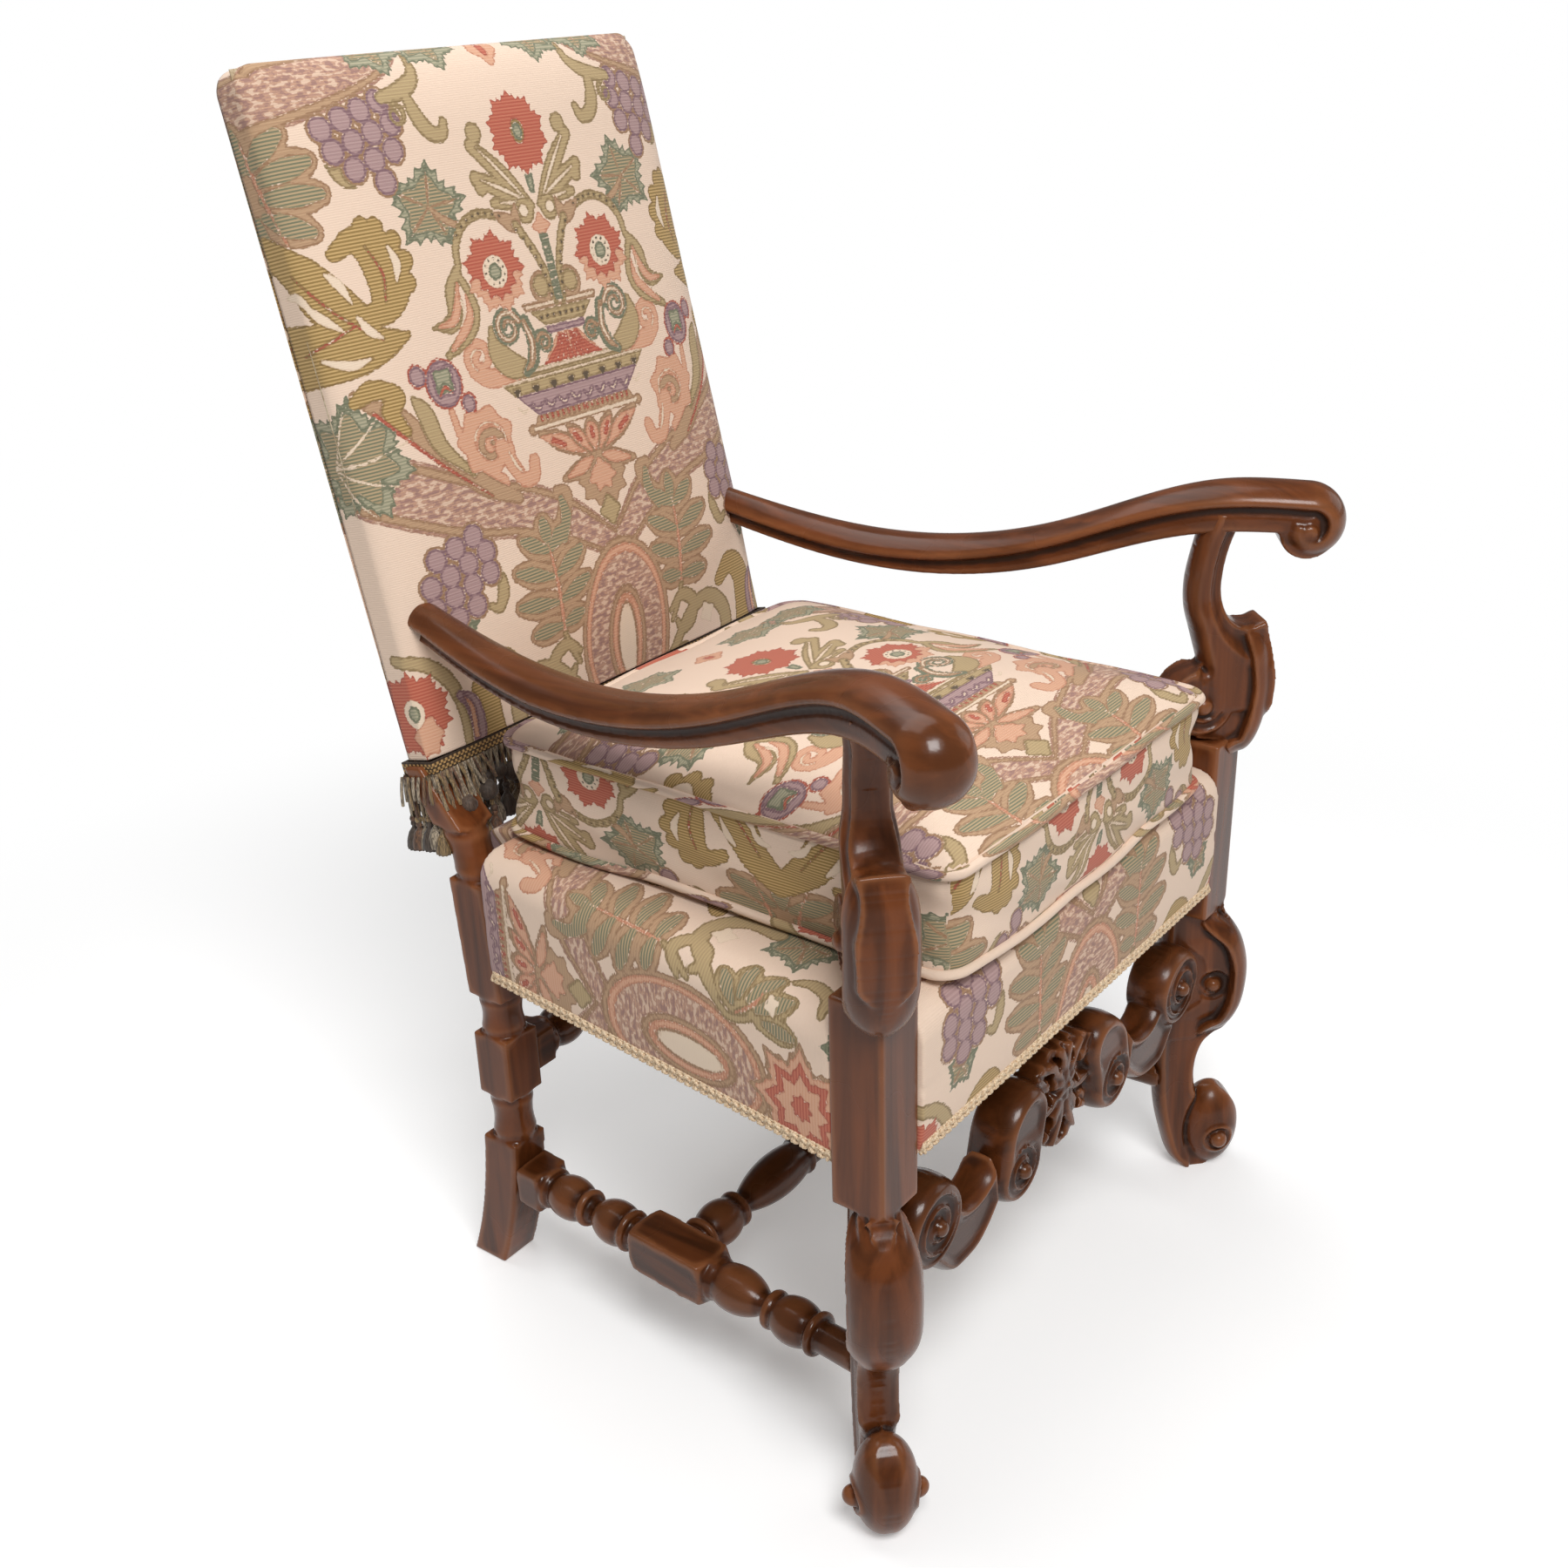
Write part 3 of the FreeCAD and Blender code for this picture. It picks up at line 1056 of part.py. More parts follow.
node(feature("fringe_tassels_solid", Part.makeCompound(tassels)), "fringe_tassels")


# Loose cushion: boxed, drawn in at the waist and crowned on top
def cushion_plan(inset, z):
    half = float(d.cushion_half) - inset
    front = -float(d.cushion_front) + inset
    rear = -float(d.cushion_front) + float(d.cushion_depth) - inset
    r = max(6.0, float(d.cushion_corner) - inset * 0.2)
    k = r * (1 - math.sqrt(0.5))
    edges = []
    corners = ((half, front, 1, 1), (half, rear, -1, 1), (-half, rear, -1, -1), (-half, front, 1, -1))
    starts = [vec(-half + r, front, z), vec(half, front + r, z), vec(half - r, rear, z), vec(-half, rear - r, z)]
    ends = [vec(half - r, front, z), vec(half, rear - r, z), vec(-half + r, rear, z), vec(-half, front + r, z)]
    mids = [vec(half - k, front + k, z), vec(half - k, rear - k, z), vec(-half + k, rear - k, z),
            vec(-half + k, front + k, z)]
    for index in range(4):
        edges.append(line(starts[index], ends[index]))
        edges.append(arc(ends[index], mids[index], starts[(index + 1) % 4]))
    return Part.Wire(edges)


def cushion_form(inset):
    low, high = float(d.cushion_low) + inset, float(d.cushion_high) - inset
    waist, crown = float(d.cushion_waist), float(d.cushion_crown)
    rings = [cushion_plan(9 + inset, low), cushion_plan(inset + 1, low + 6),
             cushion_plan(waist + inset, (low + high) / 2), cushion_plan(inset + 1, high - 6),
             cushion_plan(9 + inset, high), cushion_plan(60 + inset, high + crown * 0.6),
             cushion_plan(130 + inset, high + crown * 0.92), cushion_plan(185 + inset, high + crown)]
    return Part.makeLoft(rings, True, True)


def piping(z):
    path = cushion_plan(0.9 - float(d.piping_radius), z)
    start = path.Vertexes[0].Point
    section = Part.Wire(Part.makeCircle(float(d.piping_radius), start, FreeCAD.Vector(1, 0, 0)))
    return path.makePipeShell([section], True, False)


cushion_outer = cushion_form(0)
cushion_inner = cushion_form(thick)
node(feature("cushion_cover_solid", cushion_outer.cut(cushion_inner)), "cushion_cover")
node(feature("cushion_filling_solid", cushion_form(thick + gap)), "cushion_filling")
node(feature("cushion_piping_top_solid", piping(float(d.cushion_high) - 6)), "cushion_piping_top")
node(feature("cushion_piping_bottom_solid", piping(float(d.cushion_low) + 6)), "cushion_piping_bottom")

doc.recompute()
broken = [item.Label for item in doc.Objects if any(word in item.State for word in ("Invalid", "Error"))]
broken += [label for label, item in nodes.items() if item.Shape.isNull() or not item.Shape.isValid()]
if broken:
    raise RuntimeError(f"failed pieces: {broken}")
whole = FreeCAD.BoundBox()
for item in nodes.values():
    whole.add(item.Shape.BoundBox)
print("box", [round(v, 1) for v in (whole.XMin, whole.XMax, whole.YMin, whole.YMax, whole.ZMin, whole.ZMax)])
os.makedirs("parts", exist_ok=True)
for label, item in sorted(nodes.items()):
    print(f"{label}: {len(item.Shape.Solids)} solids, {item.Shape.Volume / 1000:.1f} cm3")
    item.Shape.exportStep(f"parts/{label}.step")
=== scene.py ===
import math
import bpy
import numpy as np
from mathutils import Matrix, Vector


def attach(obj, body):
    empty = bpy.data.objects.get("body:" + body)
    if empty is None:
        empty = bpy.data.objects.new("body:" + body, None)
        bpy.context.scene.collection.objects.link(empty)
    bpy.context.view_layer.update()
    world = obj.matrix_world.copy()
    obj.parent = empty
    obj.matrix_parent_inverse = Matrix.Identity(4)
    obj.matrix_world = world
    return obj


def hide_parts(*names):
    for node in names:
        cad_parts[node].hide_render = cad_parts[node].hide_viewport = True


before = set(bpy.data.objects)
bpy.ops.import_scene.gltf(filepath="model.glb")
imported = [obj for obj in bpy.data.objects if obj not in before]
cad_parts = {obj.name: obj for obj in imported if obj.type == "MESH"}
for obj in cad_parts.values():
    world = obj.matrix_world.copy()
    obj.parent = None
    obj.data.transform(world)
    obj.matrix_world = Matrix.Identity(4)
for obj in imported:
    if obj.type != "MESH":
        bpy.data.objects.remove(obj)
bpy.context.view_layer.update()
print("frame loaded:", len(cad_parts), "nodes")


def pick(obj):
    bpy.ops.object.select_all(action='DESELECT')
    obj.select_set(True)
    bpy.context.view_layer.objects.active = obj


def applyAll(obj):
    pick(obj)
    for modifier in list(obj.modifiers):
        bpy.ops.object.modifier_apply(modifier=modifier.name)


def pointsOf(obj):
    flat = np.empty(len(obj.data.vertices) * 3, np.float32)
    obj.data.vertices.foreach_get("co", flat)
    return flat.reshape(-1, 3).astype(float)


def setPoints(obj, points):
    obj.data.vertices.foreach_set("co", points.astype(np.float32).ravel())
    obj.data.update()


def normalsOf(obj):
    flat = np.empty(len(obj.data.vertices) * 3, np.float32)
    obj.data.vertices.foreach_get("normal", flat)
    return flat.reshape(-1, 3).astype(float)


def edgesOf(obj):
    flat = np.empty(len(obj.data.edges) * 2, np.int32)
    obj.data.edges.foreach_get("vertices", flat)
    return flat.reshape(-1, 2)


def store(obj, name, values):
    layer = obj.data.attributes.new(name, 'FLOAT', 'POINT')
    layer.data.foreach_set("value", values.astype(np.float32))


def smoothField(edges, field, rounds):
    count = np.bincount(edges.ravel(), minlength=len(field)).astype(float)[:, None]
    flat = field.reshape(len(field), -1)
    for _ in range(rounds):
        total = np.zeros_like(flat)
        for axis in range(flat.shape[1]):
            total[:, axis] = (np.bincount(edges[:, 0], flat[edges[:, 1], axis], len(flat))
                              + np.bincount(edges[:, 1], flat[edges[:, 0], axis], len(flat)))
        flat = total / np.maximum(count, 1)
    return flat.reshape(field.shape)


def ramp(low, high, value):
    share = np.clip((value - low) / (high - low), 0, 1)
    return share * share * (3 - 2 * share)


def copyNode(name, label):
    obj = bpy.data.objects.new(label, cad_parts[name].data.copy())
    bpy.context.scene.collection.objects.link(obj)
    obj.data.materials.clear()
    pick(obj)
    bpy.ops.object.mode_set(mode='EDIT')
    bpy.ops.mesh.select_all(action='SELECT')
    bpy.ops.mesh.remove_doubles(threshold=0.00001)
    bpy.ops.object.mode_set(mode='OBJECT')
    return obj


def remesh(obj, voxel, rounds):
    skin = obj.modifiers.new("voxels", 'REMESH')
    skin.mode = 'VOXEL'
    skin.voxel_size = voxel
    if rounds:
        soften = obj.modifiers.new("soften", 'SMOOTH')
        soften.factor = 0.5
        soften.iterations = rounds
    applyAll(obj)
    bpy.ops.object.shade_smooth()


def joinAll(label, objs):
    bpy.ops.object.select_all(action='DESELECT')
    for obj in objs:
        obj.select_set(True)
    bpy.context.view_layer.objects.active = objs[0]
    bpy.ops.object.join()
    objs[0].name = label
    return objs[0]


def finish(obj, body, slot, *nodes):
    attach(obj, body)
    if nodes:
        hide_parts(*nodes)
    return obj


# Walnut, dark in the hollows, partly old wax and partly painted shade, and rubbed pale on the edges
walnut = {"deep": (0.016, 0.0058, 0.003), "brown": (0.168, 0.0465, 0.0127), "rubbed": (0.31, 0.115, 0.045),
          "roughness": 0.27, "gloss": 0.08}


def newMaterial(name):
    mat = bpy.data.materials.new(name)
    mat.use_nodes = True
    return mat, mat.node_tree.nodes, mat.node_tree.links, mat.node_tree.nodes["Principled BSDF"]


def addNode(nodes, kind, **settings):
    node = nodes.new(kind)
    for name, value in settings.items():
        setattr(node, name, value)
    return node


def mixColour(nodes, links, share, low, high, blend='MIX'):
    mix = addNode(nodes, 'ShaderNodeMix', data_type='RGBA', blend_type=blend)
    for place, value in ((0, share), (6, low), (7, high)):
        if isinstance(value, bpy.types.NodeSocket):
            links.new(value, mix.inputs[place])
        elif place == 0:
            mix.inputs[0].default_value = value
        else:
            mix.inputs[place].default_value = tuple(value) + (1,)
    return mix.outputs[2]


def maths(nodes, links, kind, *values):
    node = addNode(nodes, 'ShaderNodeMath', operation=kind)
    for place, value in enumerate(values):
        if isinstance(value, bpy.types.NodeSocket):
            links.new(value, node.inputs[place])
        else:
            node.inputs[place].default_value = value
    return node.outputs[0]


def rampNode(nodes, links, value, low, high, bottom=0.0, top=1.0):
    node = addNode(nodes, 'ShaderNodeMapRange', interpolation_type='SMOOTHSTEP')
    links.new(value, node.inputs['Value'])
    for name, number in (('From Min', low), ('From Max', high), ('To Min', bottom), ('To Max', top)):
        node.inputs[name].default_value = number
    return node.outputs['Result']


def readAttribute(nodes, name):
    return addNode(nodes, 'ShaderNodeAttribute', attribute_name=name).outputs['Fac']


def walnutMaterial(name, grain, shadeScale=1.0):
    mat, nodes, links, bsdf = newMaterial(name)
    place = addNode(nodes, 'ShaderNodeTexCoord')
    stretch = addNode(nodes, 'ShaderNodeMapping')
    links.new(place.outputs['Object'], stretch.inputs['Vector'])
    stretch.inputs['Scale'].default_value = grain
    streaks = addNode(nodes, 'ShaderNodeTexNoise')
    streaks.inputs['Scale'].default_value = 60
    streaks.inputs['Detail'].default_value = 5
    streaks.inputs['Distortion'].default_value = 0.6
    links.new(stretch.outputs['Vector'], streaks.inputs['Vector'])
    pores = addNode(nodes, 'ShaderNodeTexNoise')
    pores.inputs['Scale'].default_value = 420
    pores.inputs['Detail'].default_value = 2
    links.new(stretch.outputs['Vector'], pores.inputs['Vector'])
    clouds = addNode(nodes, 'ShaderNodeTexNoise')
    clouds.inputs['Scale'].default_value = 9
    clouds.inputs['Detail'].default_value = 3
    links.new(place.outputs['Object'], clouds.inputs['Vector'])
    streak = rampNode(nodes, links, streaks.outputs['Fac'], 0.32, 0.68)
    figure = maths(nodes, links, 'MULTIPLY', streak,
                   rampNode(nodes, links, clouds.outputs['Fac'], 0.25, 0.7, 0.45, 1.0))
    # shadeScale dims the brown of the copies used for the stretchers low under the seat: painted shade
    colour = mixColour(nodes, links, figure, tuple(c * 0.4 * shadeScale for c in walnut["brown"]),
                       tuple(c * shadeScale for c in walnut["brown"]))
    wear = rampNode(nodes, links, readAttribute(nodes, "edge"), 0.2, 1.0, 0.0, 0.5)
    patchy = maths(nodes, links, 'MULTIPLY', wear, rampNode(nodes, links, clouds.outputs['Fac'], 0.3, 0.62, 0.35, 1.0))
    colour = mixColour(nodes, links, patchy, colour, walnut["rubbed"])
    # Darker in the concave hollows: partly old wax in the carving, partly painted shade
    grimeAndShade = rampNode(nodes, links, readAttribute(nodes, "hollow"), 0.2, 1.0, 0.0, 0.86)
    colour = mixColour(nodes, links, grimeAndShade, colour, walnut["deep"])
    links.new(colour, bsdf.inputs['Base Color'])
    rough = rampNode(nodes, links, clouds.outputs['Fac'], 0.3, 0.75, walnut["roughness"] - 0.07,
                     walnut["roughness"] + 0.08)
    dull = rampNode(nodes, links, readAttribute(nodes, "hollow"), 0.2, 0.9, 0.0, 0.3)
    links.new(maths(nodes, links, 'ADD', rough, dull), bsdf.inputs['Roughness'])
    bsdf.inputs['Specular IOR Level'].default_value = 0.25
    bsdf.inputs['Coat Weight'].default_value = walnut["gloss"]
    bsdf.inputs['Coat Roughness'].default_value = 0.1
    bump = addNode(nodes, 'ShaderNodeBump')
    bump.inputs['Strength'].default_value = 0.12
    bump.inputs['Distance'].default_value = 0.0006
    links.new(pores.outputs['Fac'], bump.inputs['Height'])
    links.new(bump.outputs['Normal'], bsdf.inputs['Normal'])
    return mat


# The stretchers low under the seat get copies with the brown dimmed to 0.64: painted shade
walnutShadedX = walnutMaterial("walnutShadedAlongX", (0.07, 1, 1), 0.64)
walnutY = walnutMaterial("walnutAlongY", (1, 0.07, 1))
walnutZ = walnutMaterial("walnutAlongZ", (1, 1, 0.07))
walnutShadedY = walnutMaterial("walnutShadedAlongY", (1, 0.07, 1), 0.64)


# Marks the concave hollows, darkened later as partly old wax and partly painted shade, and the convex edges, rubbed
# pale by wear
def markWearAndShade(obj, reach):
    edges = edgesOf(obj)
    points, normals = pointsOf(obj), normalsOf(obj)
    near = ((smoothField(edges, points, 6) - points) * normals).sum(1) / reach
    wide = ((smoothField(edges, points, 40) - points) * normals).sum(1) / reach
    bend = smoothField(edges, 1.4 * near + 0.5 * wide, 2)
    store(obj, "hollow", np.clip(bend, 0, 1))
    store(obj, "edge", np.clip(-bend, 0, 1))


showWood = {"rear_leg_left": walnutZ, "rear_leg_right": walnutZ, "side_stretcher_left": walnutShadedY,
            "side_stretcher_right": walnutShadedY, "cross_stretcher": walnutShadedX, "rear_stretcher": walnutShadedX}
carvedNodes = {"voxel": 0.0018, "rounds": 3, "reach": 0.0016}
for name, mat in showWood.items():
    piece = copyNode(name, name + "_carved")
    remesh(piece, carvedNodes["voxel"], carvedNodes["rounds"])
    markWearAndShade(piece, carvedNodes["reach"])
    piece.data.materials.append(mat)
    finish(piece, "chair_frame", "walnut", name)
    print(name, len(piece.data.polygons))

# Carved pieces are drawn from the side in millimetres, u outwards and z upwards, and the depth of the carving is
# laid on both cheeks
def sweepCurve(*places):
    route = np.array(places, float)
    ends = np.vstack((2 * route[0] - route[1], route, 2 * route[-1] - route[-2]))
    share = np.linspace(0, 1, 9)[:-1, None]
    spans = [0.5 * (2 * b + (c - a) * share + (2 * a - 5 * b + 4 * c - d) * share ** 2
                    + (3 * b - a - 3 * c + d) * share ** 3)
             for a, b, c, d in zip(ends, ends[1:], ends[2:], ends[3:])]
    return np.vstack(spans + [route[-1:]])


def gapTo(line, u, z):
    best = np.full(u.shape, 1e6)
    for (u0, z0), (u1, z1) in zip(line[:-1], line[1:]):
        du, dz = u1 - u0, z1 - z0
        t = np.clip(((u - u0) * du + (z - z0) * dz) / max(du * du + dz * dz, 1e-9), 0, 1)
        best = np.minimum(best, (u - u0 - t * du) ** 2 + (z - z0 - t * dz) ** 2)
    return np.sqrt(best)


def within(line, u, z):
    inside = np.zeros(u.shape, bool)
    for (u0, z0), (u1, z1) in zip(line[:-1], line[1:]):
        if z0 != z1:
            inside ^= ((z0 > z) != (z1 > z)) & (u < (u1 - u0) * (z - z0) / (z1 - z0) + u0)
    return inside


def gapIn(line, u, z):
    closed = np.vstack((line, line[:1]))
    return gapTo(closed, u, z) * np.where(within(closed, u, z), -1, 1)


# A cheek on a fine grid, its edge drawn to the outline, doubled and closed along the rim
def carveRelief(label, low, high, step, outline, depth):
    u, z = np.meshgrid(np.arange(low[0], high[0], step), np.arange(low[1], high[1], step))
    gap = outline(u, z)
    slopeZ, slopeU = np.gradient(gap, step)
    size = np.maximum(np.hypot(slopeU, slopeZ), 0.3)
    outU, outZ = slopeU / size, slopeZ / size
    keep = gap < 0.45 * step - 1
    rim = keep & (gap > -0.45 * step - 1)
    u = np.where(rim, u - (gap + 1) * outU, u)
    z = np.where(rim, z - (gap + 1) * outZ, z)
    cell = keep[:-1, :-1] & keep[1:, :-1] & keep[:-1, 1:] & keep[1:, 1:]
    index = np.arange(u.size).reshape(u.shape)
    quads = np.stack((index[:-1, :-1], index[:-1, 1:], index[1:, 1:], index[1:, :-1]), -1)[cell]
    sides = np.concatenate([quads[:, (k, (k + 1) % 4)] for k in range(4)])
    back, count = np.unique(np.sort(sides, 1), axis=0, return_inverse=True, return_counts=True)[1:]
    border = sides[count[back.ravel()] == 1]
    used = np.unique(quads)
    place = np.full(u.size, -1)
    place[used] = np.arange(len(used))
    quads, border = place[quads], place[border]
    u, z, outU, outZ = (field.ravel()[used] for field in (u, z, outU, outZ))
    h = depth(u, z)
    n = len(used)
    points = [np.column_stack((u, h, z)), np.column_stack((u, -h, z))]
    faces = quads[:, ::-1].tolist() + (quads + n).tolist()
    # The rim rounds over in finer steps
    around = np.unique(border)
    spot = np.full(n, -1)
    spot[around] = np.arange(len(around))
    last = [border, border + n]
    for near in (0.45, 0.78, 0.95, 1.0):
        ru, rz = u[around] + outU[around] * near, z[around] + outZ[around] * near
        rh = depth(ru, rz)
        for way, sign in enumerate((1, -1)):
            start = sum(len(part) for part in points)
            points.append(np.column_stack((ru, sign * rh, rz)))
            ring = spot[border] + start
            faces += np.column_stack((last[way], ring[:, ::-1])).tolist()
            last[way] = ring
    faces += np.column_stack((last[0], last[1][:, ::-1])).tolist()
    points = np.vstack(points) / 1000
    mesh = bpy.data.meshes.new(label)
    mesh.from_pydata(points.tolist(), [], faces)
    obj = bpy.data.objects.new(label, mesh)
    bpy.context.scene.collection.objects.link(obj)
    pick(obj)
    bpy.ops.object.mode_set(mode='EDIT')
    bpy.ops.mesh.select_all(action='SELECT')
    bpy.ops.mesh.remove_doubles(threshold=0.00002)
    bpy.ops.mesh.normals_make_consistent(inside=False)
    bpy.ops.object.mode_set(mode='OBJECT')
    return obj


def rounded(gap, reach):
    return np.sqrt(np.clip(1 - (1 - np.clip(gap / reach, 0, 1)) ** 2, 0, 1))


def bump(value, middle, width):
    return np.exp(-((value - middle) / width) ** 2)


# Full between two levels and drawn in above and below them, as a drop is
def swelling(z, low, high, below, above):
    off = np.maximum((z - high) / above, 0) + np.maximum((low - z) / below, 0)
    return np.sqrt(np.clip(1 - off ** 2, 0.06, 1))


# A spiral fillet with a hollow between its turns, and a button eye
def volute(u, z, middle, radius, eye, pitch, hand, start):
    du, dz = u - middle[0], z - middle[1]
    far = np.hypot(du, dz)
    phase = np.mod(far / pitch + hand * np.arctan2(dz, du) / (2 * math.pi) + start, 1)
    turn = np.clip((far - eye) / 3, 0, 1) * (1 - ramp(radius - 3, radius + 1, far))
    relief = turn * (2.0 * abs(2 * phase - 1) ** 5 - 3.2 * (1 - (2 * phase - 1) ** 4))
    button = np.sqrt(np.clip(1 - (far / eye) ** 2, 0, 1))
    return relief + button * 6.5 - 2.4 * bump(far, eye + 1.2, 1.5)


# Scroll leg under its square post: knee with a rolled tongue, slim throat, ball foot
scrollLeg = {"step": 1.35, "post": 33.9, "shoulder": 300, "knee": 29, "throat": 16.5,
             "ball": (34, 46.5, 29.5, 47.5, 26.5), "place": (0.276, -0.277)}


def legDepth(u, z):
    knee = sweepCurve((24, 300), (43, 282), (53, 262), (58, 236), (56, 204), (48, 180), (38, 166), (28, 161))
    legEdge = np.vstack((knee, legThroat, legToe))
    front, back = gapTo(legEdge, u, z), gapTo(legBack, u, z)
    edge = np.minimum(front, back)
    # Throat with a bead along both edges and a cove between them
    shaft = scrollLeg["throat"] * rounded(edge, 7) + 1.3 * bump(edge, 6, 2.2) - 1.6 * ramp(9, 13, edge)
    shaft = shaft - 4 * ramp(300, 330, z)
    # Tongue: a full roll along the knee's front, then a crisp step down to the sunk cheek
    roll = gapTo(knee, u, z)
    wide = scrollLeg["knee"] * swelling(z, 200, 255, 46, 50)
    tongue = wide * rounded(roll, 19) - 10 * ramp(20.5, 22.5, roll) + 1.6 * bump(roll, 19.5, 1.6)
    cheek = np.where(roll < 46, tongue, 0) * ramp(158, 166, z) * (1 - ramp(296, 304, z))
    eye = (20, 222)
    near = np.hypot(u - eye[0], z - eye[1])
    cheek = np.where(roll > 21, np.maximum(cheek, 16.5) + volute(u, z, eye, 17, 7.5, 9.5, 1, 0.1) * (near < 19), cheek)
    cheek = np.where((z > 160) & (z < 304), cheek, 0) * rounded(back, 8)
    depth = np.maximum(shaft, cheek)
    # Ball foot with an eye on each side
    bu, bz, wideBall, tallBall, half = scrollLeg["ball"]
    far = np.hypot((u - bu) / wideBall, (z - bz) / tallBall)
    ball = half * np.sqrt(np.clip(1 - far ** 2.3, 0, 1))
    depth = depth * (1 - ramp(11, 17, u) * ramp(104, 97, z))
    depth = np.where(far < 1, np.maximum(depth * ramp(0.9, 1.15, far), ball),
                     depth - 3 * bump(far, 1.02, 0.05) * (z < 95))
    spot = np.hypot(u - 36, z - 40)
    eyeRise = (9.5 * np.sqrt(np.clip(1 - (spot / 9.4) ** 2, 0, 1)) - 3 * bump(spot, 11, 1.6)
               + 2.8 * bump(spot, 14.6, 2.2))
    depth = depth + eyeRise * (z < 90)
    depth = np.maximum(depth, 13 * rounded(edge, 5) * (z < 26) * (u < 50))
    # Square post standing on its corner
    post = np.where(z > scrollLeg["shoulder"] + 3, scrollLeg["post"] - abs(u) - 0.5 * bump(u, 0, 1.0), 0)
    return np.maximum(depth * (1 - ramp(scrollLeg["shoulder"], scrollLeg["shoulder"] + 7, z)), post)


legThroat = sweepCurve((28, 161), (19, 152), (14, 138), (12, 122), (12.5, 106), (14, 96))
legToe = sweepCurve((14, 96), (24, 92), (36, 93.5), (50, 82), (60, 64), (63, 44), (57, 18), (46, 5), (34, 0))
legBack = sweepCurve((2, 0), (-9, 14), (-17, 38), (-24, 66), (-28, 95), (-31, 140), (-32, 190), (-32, 250), (-31, 296))


def makeLeg(label):
    post = scrollLeg["post"]
    knee = sweepCurve((post - 5, scrollLeg["shoulder"]), (43, 282), (53, 262), (58, 236), (56, 204), (48, 180),
                      (38, 166), (28, 161))
    shoulders = np.array(((-31, 296), (-post + 5, scrollLeg["shoulder"]), (-post, scrollLeg["shoulder"] + 12),
                          (-post, 486), (post, 486), (post, scrollLeg["shoulder"] + 12)))
    outline = np.vstack((shoulders, knee, legThroat[1:], legToe[1:], legBack))
    return carveRelief(label, (-38, -4), (70, 490), scrollLeg["step"], lambda u, z: gapIn(outline, u, z), legDepth)


# Arm support: a hollowed stem over a rolled tongue, with a curl behind
armSupport = {"step": 1.35, "stem": 17, "tongue": 27, "curl": (-12, 523, 34)}
supportHollow = sweepCurve((17, 703), (8, 680), (2, 654), (1, 630), (6, 611), (16, 600), (28, 597), (43, 602))
supportBelly = sweepCurve((43, 602), (50, 576), (55, 544), (54, 520), (50, 498), (44, 480), (37, 470), (29, 467))
supportBack = sweepCurve((-12, 557), (-22, 590), (-29, 615), (-30, 640), (-24, 672), (-15, 703))


def supportDepth(u, z):
    front, back = gapTo(supportHollow, u, z), gapTo(supportBack, u, z)
    belly = gapTo(supportBelly, u, z)
    share = back / np.maximum(front + back, 0.1)
    stem = armSupport["stem"] + 4 * ramp(630, 600, z) + 3 * ramp(670, 700, z)
    body = stem * rounded(back, 11) + 1.8 * bump(share, 0.56, 0.05) - 4.2 * bump(share, 0.78, 0.17)
    body = body * rounded(front, 3.5)
    tongue = (armSupport["tongue"] * swelling(z, 506, 562, 46, 42) * rounded(belly, 19)
              + 1.4 * bump(belly, 20, 1.6) - 9 * ramp(21, 24, belly))
    tongue = tongue * (belly < 50) * ramp(612, 600, z - 0.25 * (u - 30))
    cu, cz, radius = armSupport["curl"]
    far = np.hypot(u - cu, z - cz)
    curl = np.where(far < radius, 21 * rounded(radius - far, 9)
                    + volute(u, z, (cu, cz), radius - 7, 8.5, 10.5, -1, 0.3), 0)
    return np.maximum(np.maximum(body * ramp(490, 520, z), tongue), curl)


def makeSupport(label):
    cu, cz, radius = armSupport["curl"]
    turn = np.radians(np.arange(250, 88, -9))
    curl = np.column_stack((cu + radius * np.cos(turn), cz + radius * np.sin(turn)))
    outline = np.vstack((supportHollow, supportBelly[1:], ((18, 470), (10, 484)), curl, supportBack[1:]))
    return carveRelief(label, (-52, 460), (62, 710), armSupport["step"], lambda u, z: gapIn(outline, u, z),
                       supportDepth)


def standDiagonal(obj, side):
    angle = math.radians(-135 if side < 0 else -45)
    u, s, z = pointsOf(obj).T
    x = side * scrollLeg["place"][0] + u * math.cos(angle) - s * math.sin(angle)
    y = scrollLeg["place"][1] + u * math.sin(angle) + s * math.cos(angle)
    setPoints(obj, np.column_stack((x, y, z)))


def polish(obj, mat, voxel, rounds, slotNode):
    remesh(obj, voxel, rounds)
    markWearAndShade(obj, 0.0016)
    obj.data.materials.clear()
    obj.data.materials.append(mat)
    return finish(obj, "chair_frame", "walnut", slotNode)


# Arm: a crowned and coved section, swept along the ridge and on round the roll
arm = {"ridge": ((205, 262, 671), (232, 66, 642), (251, -134, 678), (276, -277, 730), (307, -342, 730)),
       "half": (17, 26), "deep": (33, 44), "roll": (307, -342, 694, 36), "turn": 33, "curl": 285, "eye": 10}


